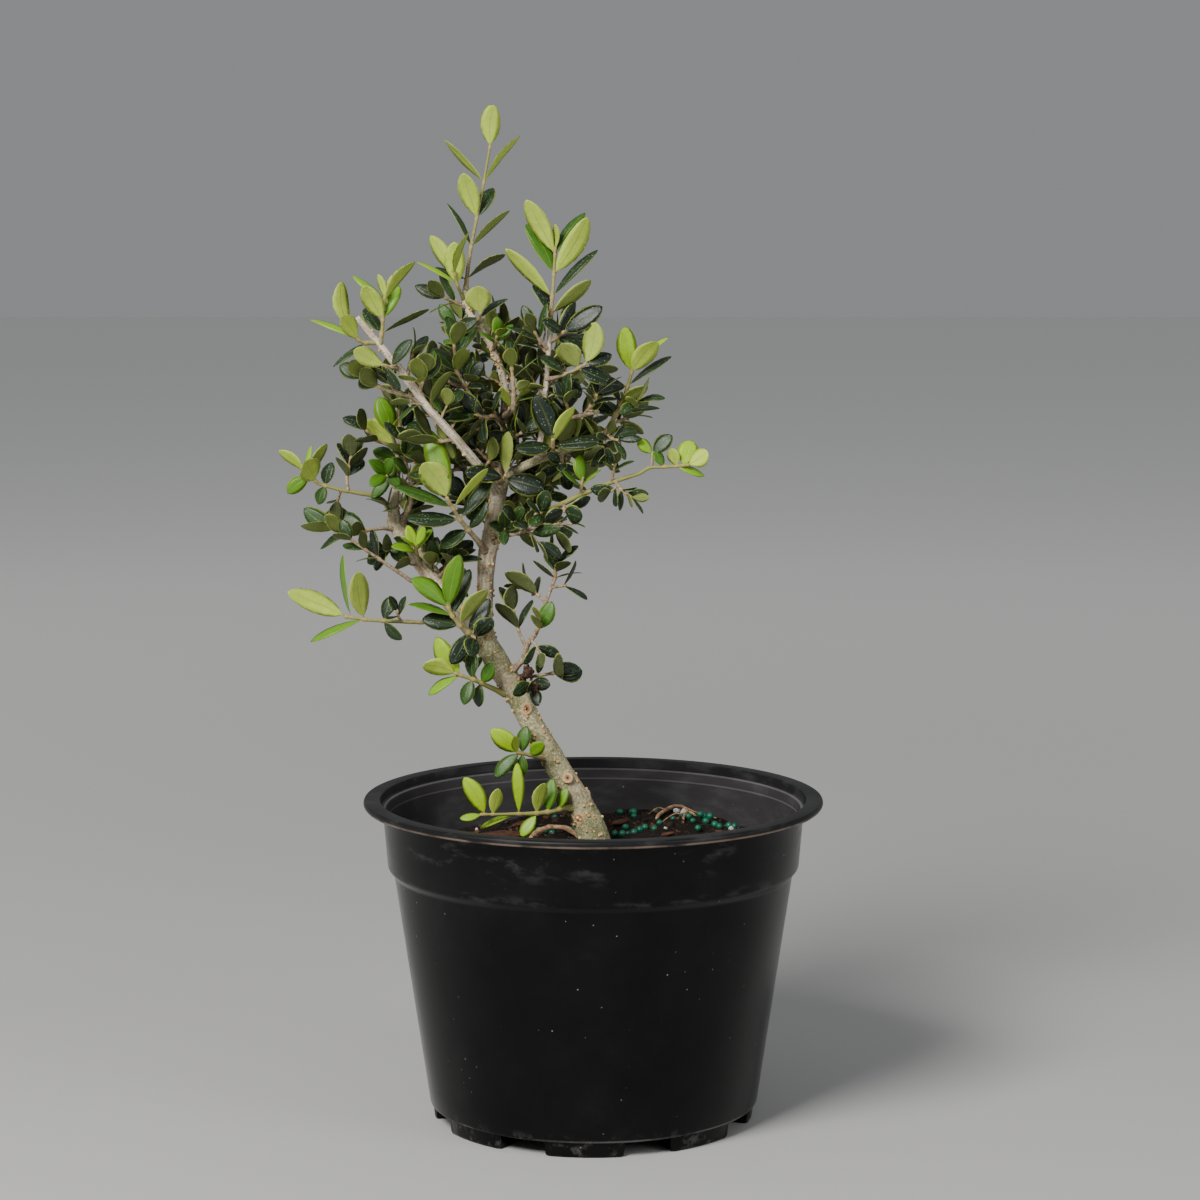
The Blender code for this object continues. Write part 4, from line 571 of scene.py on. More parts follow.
def crumbly_height(x, y):
    """The soil's height with three sizes of crumbs, which are lower by the wall."""
    spots = np.stack([x, y, 0.0 * x], axis=-1).reshape(-1, 3)
    crumbs = 1.3 * noise(spots, 5.5, 1) + 0.9 * noise(spots, 2.6, 2) + 0.5 * noise(spots, 1.3, 3)
    edge = np.clip((SOIL_EDGE - np.hypot(x, y)) / 4.0, 0.0, 1.0)
    return soil_height(x, y) - 0.5 + crumbs.reshape(np.shape(x)) * (0.3 + 0.7 * edge)


SOIL_TURNS = 220
SOIL_RINGS = 84
ring_radii = np.concatenate([np.linspace(0.9, SOIL_EDGE, SOIL_RINGS), [SOIL_EDGE + 0.25]])
angle = np.linspace(0.0, 2.0 * np.pi, SOIL_TURNS, endpoint=False)[None, :]
sx, sy = ring_radii[:, None] * np.cos(angle), ring_radii[:, None] * np.sin(angle)
top = np.stack([sx, sy, crumbly_height(sx, sy)], axis=-1).reshape(-1, 3)
soil_points = np.concatenate([top] + [turned(np.array([spot]), SOIL_TURNS)
                                      for spot in SOIL_SIDE])
soil_faces = grid_faces(len(ring_radii) + len(SOIL_SIDE), SOIL_TURNS)[:, ::-1].tolist()
soil_faces += [list(range(SOIL_TURNS)),
               list(range(len(soil_points) - 1, len(soil_points) - SOIL_TURNS - 1, -1))]

# %% Soil finish
humus = Finish("humus", Specular_IOR_Level=0.25)
grit = humus.grain(420.0, 6.0, 0.65)
fibre = humus.grain(240.0, 4.0, 0.6, stretch=(1.0, 3.5, 1.0))
shade = humus.ramp(grit, [(0.30, (0.002, 0.0015, 0.0012)), (0.52, (0.008, 0.005, 0.003)),
                          (0.66, (0.032, 0.018, 0.010)), (0.80, (0.14, 0.085, 0.050))])
shade = humus.mix(fibre.rise(0.62, 0.72) * 0.5, shade, (0.07, 0.036, 0.018))
humus.colour(shade)
humus.roughness(0.72 + 0.25 * grit)
humus.bump(grit, 0.0009)
soil = add_mesh("potting_soil", soil_points, soil_faces, [humus.material])
settle(soil, "soil", "soil")


# %% Scatter helper
def ball(rings, sides):
    """A unit ball with one point at each pole: z = cos a, and rings of radius sin a."""
    tilt = np.linspace(0.0, np.pi, rings + 2)[1:-1, None]
    turn = np.linspace(0.0, 2.0 * np.pi, sides, endpoint=False)[None, :]
    belt = np.stack([np.sin(tilt) * np.cos(turn), np.sin(tilt) * np.sin(turn),
                     np.cos(tilt) + 0.0 * turn], axis=-1).reshape(-1, 3)
    points = np.concatenate([belt, [[0.0, 0.0, 1.0], [0.0, 0.0, -1.0]]])
    faces = grid_faces(rings, sides)[:, ::-1].tolist()
    last = (rings - 1) * sides
    for step in range(sides):
        after = (step + 1) % sides
        faces.append([len(belt), step, after])
        faces.append([len(belt) + 1, last + after, last + step])
    return points, faces


def turns(count, draw):
    """Random rotations, from unit quaternions of four normal draws each."""
    w, x, y, z = (q := draw.normal(size=(4, count))) / np.linalg.norm(q, axis=0)
    return np.stack([
        np.stack([1 - 2 * (y * y + z * z), 2 * (x * y - w * z), 2 * (x * z + w * y)], -1),
        np.stack([2 * (x * y + w * z), 1 - 2 * (x * x + z * z), 2 * (y * z - w * x)], -1),
        np.stack([2 * (x * z - w * y), 2 * (y * z + w * x), 1 - 2 * (x * x + y * y)], -1),
    ], axis=1)


def scattered(shape, spots, sizes, draw, rough=0.0):
    """Copies of a shape, each turned at random, stretched to its sizes and moved to its spot."""
    points, faces = shape
    count, each = len(spots), len(points)
    local = np.repeat(points[None], count, axis=0)
    local = local * (1.0 + rough * draw.uniform(-1, 1, (count, each, 1)))
    local = local * np.asarray(sizes).reshape(count, 1, -1)
    placed = np.einsum("nij,nkj->nki", turns(count, draw), local) + np.asarray(spots)[:, None]
    sides = [[corner + each * copy for corner in face] for copy in range(count) for face in faces]
    return placed.reshape(-1, 3), sides, np.repeat(draw.uniform(0, 1, (count, 4)), each, axis=0)


def on_soil(spots, sink=0.0):
    """Give (x, y) spots their height on the crumbly soil, less a sink."""
    spots = np.asarray(spots, dtype=float)
    return np.column_stack([spots, crumbly_height(spots[:, 0], spots[:, 1]) - sink])


def soil_spots(count, draw, limit=86.0):
    """Even random spots on the soil's disc: radius as the root of a draw, clear of the trunk."""
    radius = limit * np.sqrt(draw.uniform(0, 1, count))
    turn = draw.uniform(0, 2 * np.pi, count)
    spots = np.stack([radius * np.cos(turn), radius * np.sin(turn)], axis=1)
    return spots[np.hypot(spots[:, 0] - TRUNK_X, spots[:, 1]) > TRUNK_ROOM]


# %% Crumbs of bark
crumb_finish = Finish("bark_crumbs", Specular_IOR_Level=0.3)
tone = crumb_finish.paint()
strand = crumb_finish.grain(900.0, 4.0, 0.6)
shade = crumb_finish.ramp(tone[0] * 0.8 + strand * 0.3,
                          [(0.15, (0.008, 0.004, 0.003)), (0.6, (0.035, 0.018, 0.010)),
                           (0.88, (0.10, 0.045, 0.020)), (1.0, (0.20, 0.11, 0.055))])
crumb_finish.colour(shade)
crumb_finish.roughness(0.7 + 0.2 * strand)
crumb_finish.bump(strand, 0.0004)
draw = np.random.default_rng(11)
spots = soil_spots(900, draw)
sizes = np.exp(draw.normal(0.0, 0.45, (len(spots), 1))) * draw.uniform([0.9, 0.5, 0.3],
                                                                      [1.9, 1.0, 0.7],
                                                                      (len(spots), 3))
sizes = np.minimum(sizes, 3.4)
points, faces, paint = scattered(ball(3, 6), on_soil(spots, 0.1), sizes, draw, 0.22)
crumbs = add_mesh("soil_crumbs", points, faces, [crumb_finish.material], paint=paint)
settle(crumbs, "soil")

# %% Bark chips
CHIPS = [(-42.0, 40.0, 11.0, 5.0, 1.6), (-52.0, 30.0, 5.0, 3.2, 1.2), (-33.0, 60.0, 6.0, 3.0, 1.2),
         (12.0, 44.0, 6.5, 2.4, 1.2), (33.0, 25.0, 5.0, 2.6, 1.3), (60.0, 30.0, 6.0, 3.0, 1.5),
         (-10.0, -48.0, 8.0, 3.5, 1.5), (38.0, -40.0, 6.0, 3.2, 1.4), (-48.0, -30.0, 7.0, 3.0, 1.4)]
chip_spots = on_soil([chip[:2] for chip in CHIPS], -0.7)
points, faces = ball(7, 14)
chips = []
for index, (spot, chip) in enumerate(zip(chip_spots, CHIPS)):
    body = points * chip[2:]
    body = body + noise(body, 2.5, 20 + index)[:, None] * 0.5
    lean = 0.35 * math.sin(index * 2.1)
    turn = index * 1.3 + 0.2
    flat = np.stack([body[:, 0] * math.cos(turn) - body[:, 1] * math.sin(turn),
                     body[:, 0] * math.sin(turn) + body[:, 1] * math.cos(turn),
                     body[:, 2] + body[:, 0] * lean], axis=1)
    chips.append((flat + spot, faces))
red_bark = Finish("red_bark", Specular_IOR_Level=0.3)
strand = red_bark.grain(300.0, 5.0, 0.65, stretch=(1.0, 3.0, 3.0))
shade = red_bark.ramp(strand, [(0.3, (0.022, 0.009, 0.006)), (0.55, (0.085, 0.032, 0.018)),
                               (0.75, (0.17, 0.075, 0.04))])
red_bark.colour(shade)
red_bark.roughness(0.65 + 0.25 * strand)
red_bark.bump(strand, 0.0006)
chip_piece = add_mesh("bark_chips", *joined(chips), [red_bark.material])
settle(chip_piece, "soil")

# %% Green fertiliser beads
BEADS = [(17.6, 74), (29.5, 80), (18.7, 67.5), (36.4, 51), (23.4, 34.8), (18.3, 28), (9.7, 28),
         (51, 62.7), (51.5, 51), (47.5, 39.4), (55.6, 48.6), (45.4, 46.3), (-22.3, 51),
         (-19, 46.3), (-15.4, 51), (27.5, 31), (21.0, 31.5), (13.0, 25.5), (15.6, 31),
         (53.5, 56.5), (49.0, 55.0), (43.6, 52.5), (57.5, 43.5), (-25.0, 47.0), (-18.0, 55.5),
         (33.0, 76.5), (62.0, 50.0), (30.0, 40.0), (-12.0, 47.5), (41.0, 60.0)]
draw = np.random.default_rng(12)
more = soil_spots(46, draw)
spots = np.concatenate([np.array(BEADS, dtype=float), more])
size = draw.uniform(1.45, 1.8, (len(spots), 1)) * draw.uniform(0.93, 1.04, (len(spots), 3))
points, faces, paint = scattered(ball(6, 10), on_soil(spots, -0.75), size, draw, 0.02)
bead_finish = Finish("bead_coat", Specular_IOR_Level=0.5)
tone = bead_finish.paint()
shade = bead_finish.mix(tone[0], (0.0012, 0.085, 0.046), (0.0025, 0.165, 0.085))
shade = bead_finish.mix(bead_finish.grain(700.0, 3.0).rise(0.58, 0.72) * 0.5, shade,
                        (0.01, 0.035, 0.02))
bead_finish.colour(shade)
bead_finish.roughness(0.30 + 0.25 * bead_finish.grain(500.0))
beads = add_mesh("fertiliser_beads", points, faces, [bead_finish.material], paint=paint)
settle(beads, "soil")

# %% Perlite
PERLITE = [(42.0, 71.5, 2.4), (46.0, 70.0, 1.5), (38.5, 73.0, 1.6), (62.5, 38.0, 1.3),
           (-56.0, 26.0, 1.5), (70.0, 32.0, 1.0), (66.0, 55.0, 1.1)]
draw = np.random.default_rng(13)
more = soil_spots(34, draw)
spots = np.concatenate([np.array(PERLITE)[:, :2], more])
size = np.concatenate([np.array(PERLITE)[:, 2], draw.uniform(0.5, 1.3, len(more))])[:, None]
points, faces, paint = scattered(ball(5, 8), on_soil(spots, -0.3),
                                 size * draw.uniform(0.7, 1.2, (len(spots), 3)), draw, 0.18)
perlite_finish = Finish("perlite", Roughness=0.85)
chalk = perlite_finish.grain(1200.0, 3.0)
perlite_finish.colour(perlite_finish.mix(chalk.rise(0.4, 0.7), (0.62, 0.60, 0.56),
                                         (0.34, 0.31, 0.27)))
perlite_finish.bump(chalk, 0.0003)
settle(add_mesh("perlite", points, faces, [perlite_finish.material], paint=paint), "soil")

# %% [markdown]
# ## Roots on the soil
# A dry root surfaces behind the trunk, arches and forks. A root is a tube: circles carried along
# a smoothed line, with a radius that wanders. The same tube makes every bough and twig later.


# %% Tubes along a line
def smoothed(points, spacing, rounds=2):
    """Walk a line in even steps and round its bends: each point moves to (a + 2b + c) / 4."""
    points = np.array([tuple(p) for p in points], dtype=float)
    steps = np.linalg.norm(np.diff(points[:, :3], axis=0), axis=1)
    along = np.concatenate([[0.0], np.cumsum(steps)])
    count = max(3, int(round(along[-1] / spacing)) + 1)
    walk = np.linspace(0.0, along[-1], count)
    line = np.stack([np.interp(walk, along, column) for column in points.T], axis=1)
    for _ in range(rounds):
        line[1:-1] = 0.25 * (line[:-2] + 2.0 * line[1:-1] + line[2:])
    return line, walk


def frames(line):
    """The direction at each point of a line, and two directions square to it, untwisted."""
    ahead = np.gradient(line, axis=0)
    ahead /= np.linalg.norm(ahead, axis=1, keepdims=True)
    side = np.cross(ahead[0], [0.3, 0.2, 0.9])
    sides = []
    for direction in ahead:
        side = side - direction * side.dot(direction)
        side = side / np.linalg.norm(side)
        sides.append(side)
    sides = np.array(sides)
    return ahead, sides, np.cross(ahead, sides)


def tube(line, radii, sides, dome=True):
    """Circles along a line: point = centre + r (side cos a + across sin a), with domed ends."""
    ahead, side, across = frames(line)
    radii = np.asarray(radii, dtype=float)
    if dome:
        line = np.concatenate([[line[0] - ahead[0] * radii[0] * 0.35], line,
                               [line[-1] + ahead[-1] * radii[-1] * 0.35]])
        radii = np.concatenate([[radii[0] * 0.6], radii, [radii[-1] * 0.6]])
        side = np.concatenate([side[:1], side, side[-1:]])
        across = np.concatenate([across[:1], across, across[-1:]])
    turn = np.linspace(0.0, 2.0 * np.pi, sides, endpoint=False)[None, :, None]
    points = line[:, None] + radii[:, None, None] * (side[:, None] * np.cos(turn)
                                                     + across[:, None] * np.sin(turn))
    faces = grid_faces(len(line), sides).tolist()
    last = (len(line) - 1) * sides
    faces += [list(range(sides - 1, -1, -1)), list(range(last, last + sides))]
    return points.reshape(-1, 3), faces


# %% Dry root
ROOT = [(27.5, 49.0, -3.5), (29.5, 56.0, 0.9), (33.5, 67.0, 1.6), (37.5, 75.5, 3.0),
        (41.5, 76.0, 3.2), (44.0, 69.5, 1.9), (46.5, 60.0, 1.0), (48.5, 50.0, -3.5)]
FORK = [(44.0, 69.5, 1.9), (42.3, 58.0, 1.8), (41.0, 47.0, 1.0), (40.5, 39.0, -3.5)]
THREADS = [[(33.5, 67.0, 1.6), (30.0, 70.0, 2.6), (27.0, 66.0, 1.4), (24.0, 60.0, -0.5)],
           [(41.5, 76.0, 3.2), (47.0, 74.0, 2.0), (52.0, 68.0, 0.8), (57.0, 66.0, -0.6)],
           [(42.3, 58.0, 1.8), (37.0, 56.0, 2.2), (33.0, 51.0, 0.6), (30.0, 44.0, -0.8)]]
BARK_ARCH = [(-30.0, 25.0, -1.5), (-26.0, 30.0, 2.2), (-20.0, 38.0, 2.8), (-13.0, 37.0, 2.4),
             (-8.0, 31.5, 1.6), (-5.0, 27.0, -1.5)]


def over_soil(run):
    """Give a run of (x, y, rise) its heights over the plain soil."""
    return [(x, y, float(soil_height(np.float64(x), np.float64(y))) + rise) for x, y, rise in run]


def root_shell(run, thick, sides, seed, spacing=0.9):
    """A root: its radius is its thickness times 1 + 0.2 noise, and it thins towards its tip."""
    line, walk = smoothed(over_soil(run), spacing, 3)
    radii = thick * (1.0 + 0.22 * noise(line, 2.2, seed)) * np.linspace(1.0, 0.78, len(line))
    return tube(line, radii, sides)


root_finish = Finish("dry_root", Specular_IOR_Level=0.3)
strand = root_finish.grain(500.0, 4.0, 0.6)
shade = root_finish.ramp(strand, [(0.3, (0.16, 0.085, 0.04)), (0.5, (0.36, 0.22, 0.12)),
                                  (0.72, (0.56, 0.40, 0.25))])
root_finish.colour(shade)
root_finish.roughness(0.75 + 0.15 * strand)
root_finish.bump(strand, 0.0002)
shells = [root_shell(ROOT, 0.9, 10, 31), root_shell(FORK, 0.68, 9, 32)]
settle(add_mesh("dry_root", *joined(shells), [root_finish.material]), "root", "surface_root")
shells = [root_shell(run, 0.32, 6, 33 + index) for index, run in enumerate(THREADS)]
shells.append(root_shell(BARK_ARCH, 1.35, 9, 37))
settle(add_mesh("root_threads", *joined(shells), [root_finish.material]), "root")

# %% [markdown]
# ## Trunk and boughs
# The trunk leans, kinks at an elbow and forks; its boughs have grown out of it, so no seam shows.
# Each one is a tube along the CAD model's own line. Overlapping tubes are fused by a voxel
# remesh, which rounds the forks as growth does, and the bark is then raised by a formula.

# %% Lines of the wood
BOUGHS = {
    "trunk": [
        (4, 0, 84, 5.6), (3, 0, 104, 6.7), (0.7, 0, 123, 7.0), (-2, 0, 131, 6.8),
        (-6.6, 0, 140, 6.3), (-12.4, -1, 150, 5.5), (-17.9, -1, 160, 5.1), (-26.8, -2, 175, 5.0),
        (-33.2, -2, 188, 5.1), (-38, -2, 196, 5.4), (-43, -1, 204, 5.3), (-47.2, 0, 212, 4.7),
        (-48, 0, 221, 3.8), (-47.5, 1, 231, 3.6), (-47.2, 1, 241, 3.8), (-46.4, 1, 251, 4.0),
        (-44.4, 1, 260, 4.0), (-42.6, 2, 269, 3.9), (-41.4, 2, 277, 3.7), (-41, 3, 285, 3.2),
        (-41, 4, 293, 2.7), (-40, 4, 303, 2.3), (-38.5, 3, 313, 2.0), (-38, 2, 323, 1.8),
        (-40.5, 0, 333, 1.6), (-44.5, -2, 342, 1.5), (-49.5, -3, 350.5, 1.35),
        (-54, -3, 356, 1.25), (-56, -3, 361, 1.15), (-55.4, -3, 367, 1.1),
    ],
    "left_bough": [
        (-46.5, 1, 208, 4.2), (-52, 2, 216, 4.2), (-58, 3, 224, 4.0), (-64, 4, 231.5, 3.9),
        (-70, 5, 240, 3.9), (-75.5, 7, 247.5, 3.7), (-81.5, 8, 255.5, 3.6),
        (-86.5, 9, 264, 3.3), (-87.3, 10, 271, 2.5), (-86, 11, 280.5, 1.6),
    ],
    "pruned_stick": [
        (-41.8, 1, 277, 2.0), (-47, -8, 285.5, 2.1), (-53, -15, 293, 2.0), (-60, -21, 301.5, 1.9),
        (-71, -28, 313.5, 1.8), (-83.5, -33, 331, 1.7), (-94, -35, 343.5, 1.6),
        (-98, -36, 348.5, 1.4), (-102.3, -37, 354.1, 1.3),
    ],
    "right_bough": [
        (-41, 2, 279, 2.4), (-37, -3, 284.5, 2.1), (-31, -7, 289, 1.95), (-25, -9, 291.7, 1.9),
        (-18, -9, 294.3, 1.7), (-10, -8, 296.7, 1.55), (-2.5, -7, 299.2, 1.5),
    ],
    "upright_stick": [
        (-24, -9, 292, 1.6), (-23.2, -10, 300, 1.5), (-22, -10, 308, 1.4), (-20.6, -10, 323, 1.35),
        (-19.6, -10, 335, 1.3), (-18.9, -10, 345, 1.25), (-18.5, -10, 352, 1.1),
    ],
    "low_right_bough": [
        (-43.5, 1, 261, 2.2), (-35, -4, 264, 1.8), (-26, -8, 267.2, 1.5), (-19.5, -10, 269.8, 1.5),
    ],
    "back_right_bough": [
        (-42, 2, 266, 2.0), (-36, 9, 272, 1.7), (-32, 15, 277, 1.5), (-27, 22, 282.5, 1.3),
        (-22, 28, 287.5, 1.2), (-17, 33, 292.5, 1.0),
    ],
    "back_left_bough": [
        (-42, 3, 272, 2.0), (-50, 13, 280, 1.7), (-57, 24, 289, 1.4), (-64, 33, 298, 1.2),
        (-68, 40, 307, 1.0),
    ],
    "back_high_bough": [
        (-41, 4, 294, 1.8), (-45, 13, 303, 1.5), (-48, 22, 314, 1.3), (-51, 28, 325, 1.1),
        (-54, 33, 334, 0.95),
    ],
    "back_right_high_bough": [
        (-40, 4, 301, 1.6), (-33, 12, 309, 1.4), (-25, 20, 318, 1.2), (-17, 26, 327, 0.95),
    ],
    "low_back_bough": [
        (-63, 4, 230, 1.6), (-67, 16, 237, 1.4), (-72, 27, 245, 1.2), (-76, 37, 253, 0.95),
    ],
    "trunk_nub": [(-8, 0, 142, 3.5), (-3.6, 0, 143.6, 3.0), (-1.2, 0, 144.2, 1.8)],
    "low_scar": [(-10.5, -1, 149.5, 2.9), (-11.4, -6.9, 151.3, 2.5)],
    "middle_scar": [(-28.6, -1, 180.5, 2.9), (-29.4, -6.4, 182.2, 2.4)],
    "fork_scar": [(-46.4, -1, 218.2, 2.0), (-45.6, -5.0, 219.2, 1.6)],
}
SCARS = [(-11.3, -6.6, 151.2), (-29.4, -6.6, 182.1), (-45.6, -5.2, 219.2), (-6.5, -5.6, 133.0)]
SCAR_RIM, RIM_WIDTH = 2.0, 0.55
SCAR_HEART, SCAR_HOLE = 1.4, 0.75


def place(x, depth, z):
    """Push a point seen on the upright plane back, or forward, along its line of sight."""
    on_plane = Vector((x, 0.0, z))
    return EYE + (on_plane - EYE) * (1.0 + depth / -EYE.y)


def bough_run(name, spacing):
    """A bough's smooth line with its radii: (x, y, z) and radius at even steps."""
    knots = [(*place(x, depth, z), radius) for x, depth, z, radius in BOUGHS[name]]
    run, walk = smoothed(knots, spacing, 2)
    return run[:, :3], run[:, 3], walk


shells = []
samples = []
for index, name in enumerate(BOUGHS):
    line, radii, walk = bough_run(name, 1.2)
    shells.append(tube(line, radii, 28 if name in ("trunk", "left_bough") else 16, False))
    ahead, side, across = frames(line)
    samples.append(np.column_stack([line, radii, ahead, side, across, walk,
                                    np.full(len(line), index)]))
samples = np.concatenate(samples)
print("wood has", len(BOUGHS), "tubes and", len(samples), "stations")

# %% Fuse the boughs
VOXEL = 0.48
wood = add_mesh("wood_bark", *joined(shells), [])
step = wood.modifiers.new("fuse", "REMESH")
step.mode = "VOXEL"
step.voxel_size = VOXEL * MM
step.use_smooth_shade = True
step = wood.modifiers.new("soften", "SMOOTH")
step.factor = 0.5
step.iterations = 4
bake_modifiers(wood)
points, normals = points_of(wood)
print("the fused wood has", len(points), "points")


def nearest_station(points):
    """For each point, the station of the bough whose surface is nearest: least distance / r."""
    found = np.empty(len(points), dtype=int)
    for start in range(0, len(points), 4000):
        part = points[start:start + 4000]
        away = np.linalg.norm(part[:, None] - samples[None, :, :3], axis=2) / samples[:, 3]
        found[start:start + 4000] = away.argmin(axis=1)
    return samples[found]


station = nearest_station(points)
offset = points - station[:, :3]
along = station[:, 13] + np.einsum("ij,ij->i", offset, station[:, 4:7])
turn = np.arctan2(np.einsum("ij,ij->i", offset, station[:, 10:13]),
                  np.einsum("ij,ij->i", offset, station[:, 7:10]))
bough = station[:, 14]
radius = station[:, 3]

# %% Raise the bark
# Wrinkles run along the wood: noise on a cylinder that is drawn out five times lengthwise
wrap = np.stack([np.cos(turn) * radius, np.sin(turn) * radius, along / 5.0 + 90.0 * bough], 1)
round_about = np.stack([wrap[:, 0], wrap[:, 1], along + 90.0 * bough], 1)
thick = np.clip((radius - 1.6) / 2.5, 0.0, 1.0)
rise = 0.30 * thick * noise(round_about, 7.0, 41) + 0.12 * noise(wrap, 1.5, 42) * (0.5 + thick)
rise += 0.10 * noise(round_about, 1.3, 43) * (0.4 + thick)
NAMES = list(BOUGHS)
striped = np.isin(bough, [NAMES.index("pruned_stick"), NAMES.index("upright_stick")])
streak = noise(wrap * [1.0, 1.0, 0.5], 0.8, 44)
rise += striped * 0.14 * streak
scar_near = np.min([np.linalg.norm(points - np.array(place(*scar)), axis=1)
                    for scar in SCARS], axis=0)
scar_near *= 1.0 + 0.22 * noise(points, 1.7, 45)
rise += 0.26 * np.exp(-((scar_near - SCAR_RIM) / RIM_WIDTH) ** 2)
rise -= 0.7 * np.exp(-(scar_near / SCAR_HOLE) ** 2)
points = points + normals * rise[:, None]
wood.data.vertices.foreach_set("co", ((points + np.array(AXIS)) * MM).ravel())

# %% Paint the bark's masks
# red: bleached and dry, and on the upper trunk partly painted light; green: young and green; blue:
# inside a pruning scar; alpha: on its rim
high = points[:, 2]
bleached_and_lit = np.where(bough == NAMES.index("pruned_stick"), 1.0, 0.0)
bleached_and_lit = np.where(bough == NAMES.index("upright_stick"), 0.8, bleached_and_lit)
# The upper trunk is painted paler towards the top: partly bleached bark, partly painted light
# against the shade of the leaves above it
trunk_top = (bough == 0) * np.clip((high - 205.0) / 50.0, 0.0, 1.0)
bleached_and_lit = np.maximum(bleached_and_lit, 0.75 * trunk_top)
bleached_and_lit = np.where(bough == NAMES.index("left_bough"), 0.55, bleached_and_lit)
young = (bough == 0) * np.clip((high - 375.0) / 20.0, 0.0, 1.0)
scar = np.exp(-(scar_near / SCAR_HEART) ** 4)
ring = np.exp(-((scar_near - SCAR_RIM) / RIM_WIDTH) ** 4)
layer = wood.data.attributes.new("streak", "FLOAT", "POINT")
layer.data.foreach_set("value", streak.astype(np.float32))
layer = wood.data.attributes.new("paint", "FLOAT_COLOR", "POINT")
layer.data.foreach_set("color", np.stack([bleached_and_lit, young, scar, ring], 1)
                       .astype(np.float32).ravel())

# %% [markdown]
# Olive bark on a young trunk is smooth, olive grey with a tan cast, and finely speckled. It
# bleaches on dry sticks, which show fine stripes lengthwise. The upper trunk is painted a little
# paler, partly as bleached bark and partly as painted light against the shade of the leaves.
# Small corky warts, orange tan, stand on it. Each pruning scar has a pale orange rim, a brown
# heart and a dark hole.

# %% Bark
bark = Finish("olive_bark", Specular_IOR_Level=0.3)
bleach_and_light, fresh, heart, rim = bark.paint()
streak = bark.node("ShaderNodeAttribute", {"attribute_name": "streak"}, output=2)
cloud = bark.grain(110.0, 4.0, 0.6)
speck = bark.grain(1000.0, 2.0, 0.7)
pore = bark.specks(520.0)
dot = bark.specks(620.0)
tone = bark.mix(cloud.rise(0.36, 0.64), (0.185, 0.190, 0.078), (0.395, 0.365, 0.205))
tone = bark.mix(bark.grain(60.0, 3.0).rise(0.5, 0.7) * 0.6, tone, (0.42, 0.315, 0.22))
pale = bark.mix(streak.rise(-0.4, 0.3), (0.46, 0.365, 0.255), (0.74, 0.64, 0.505))
# Pale where the wood is bleached; on the upper trunk this paleness is partly painted light
tone = bark.mix(bleach_and_light, tone, pale)
tone = bark.mix(fresh, tone, (0.20, 0.17, 0.055))
tone = bark.mix(speck.rise(0.53, 0.66) * 0.60, tone, (0.66, 0.60, 0.46))
tone = bark.mix((1 - speck).rise(0.54, 0.68) * 0.60, tone, (0.10, 0.090, 0.050))
tone = bark.mix(dot.fall(0.14, 0.30) * cloud.rise(0.4, 0.6) * 0.6, tone, (0.74, 0.69, 0.54))
tone = bark.mix(pore.fall(0.10, 0.22) * 0.45, tone, (0.50, 0.29, 0.13))
tone = bark.mix(rim * 0.85 * cloud.rise(0.25, 0.55), tone, (0.66, 0.39, 0.20))
tone = bark.mix(heart, tone, (0.30, 0.125, 0.055))
tone = bark.mix(heart.rise(0.90, 0.99), tone, (0.030, 0.012, 0.008))
bark.colour(tone)
bark.roughness(0.72 + 0.18 * cloud)
bark.bump(0.6 * speck + 0.4 * cloud, 0.0006)
wood.data.materials.append(bark.material)
settle(wood, "bark", "wood")

# %% Corky warts
draw = np.random.default_rng(21)
spots = []
for index, name, count in ((0, "trunk", 420), (1, "left_bough", 90), (2, "pruned_stick", 16)):
    own = samples[samples[:, 14] == index]
    low = 14 if index == 0 else 4
    pick = own[(low + (len(own) - low - 4) * draw.uniform(0, 1, count) ** 1.25).astype(int)]
    spin = draw.uniform(0, 2 * np.pi, count)[:, None]
    spots.append(pick[:, :3] + pick[:, 3:4] * (pick[:, 7:10] * np.cos(spin)
                                               + pick[:, 10:13] * np.sin(spin)))
spots = np.concatenate(spots)
size = draw.uniform(0.35, 0.85, (len(spots), 1)) * draw.uniform(0.8, 1.2, (len(spots), 3))
points, faces, paint_rows = scattered(ball(4, 7), spots, size, draw, 0.08)
cork = Finish("cork", Specular_IOR_Level=0.3)
tone = cork.paint()
shade = cork.mix(tone[1], (0.56, 0.30, 0.11), (0.78, 0.53, 0.27))
cork.colour(cork.mix(cork.grain(1500.0).rise(0.45, 0.7) * 0.4, shade, (0.26, 0.13, 0.05)))
cork.roughness(0.8 + 0.1 * cork.grain(900.0))
settle(add_mesh("bark_warts", points, faces, [cork.material], paint=paint_rows), "bark")

# %% [markdown]
# ## Leafy twigs
# An olive sets its leaves in opposite pairs, each turned a quarter from the last. The table
# below holds every twig: its line, its thickness and how its leaves stand. The rule that sets
# them is the CAD model's own, repeated here draw for draw, so that each fine leaf lies where its
# solid is. A leaf that would touch another tries a few other ways to stand.

# %% Table of the twigs
Stem = namedtuple("Stem", "path thick pairs first leaf turn splay age own", defaults=[()])


def hand_set(path, thick, age, *own):
    """A stem whose leaves are set one by one: it needs none of the rule's numbers."""
    return Stem(path, thick, 0, 0, None, 0, 0, age, own)
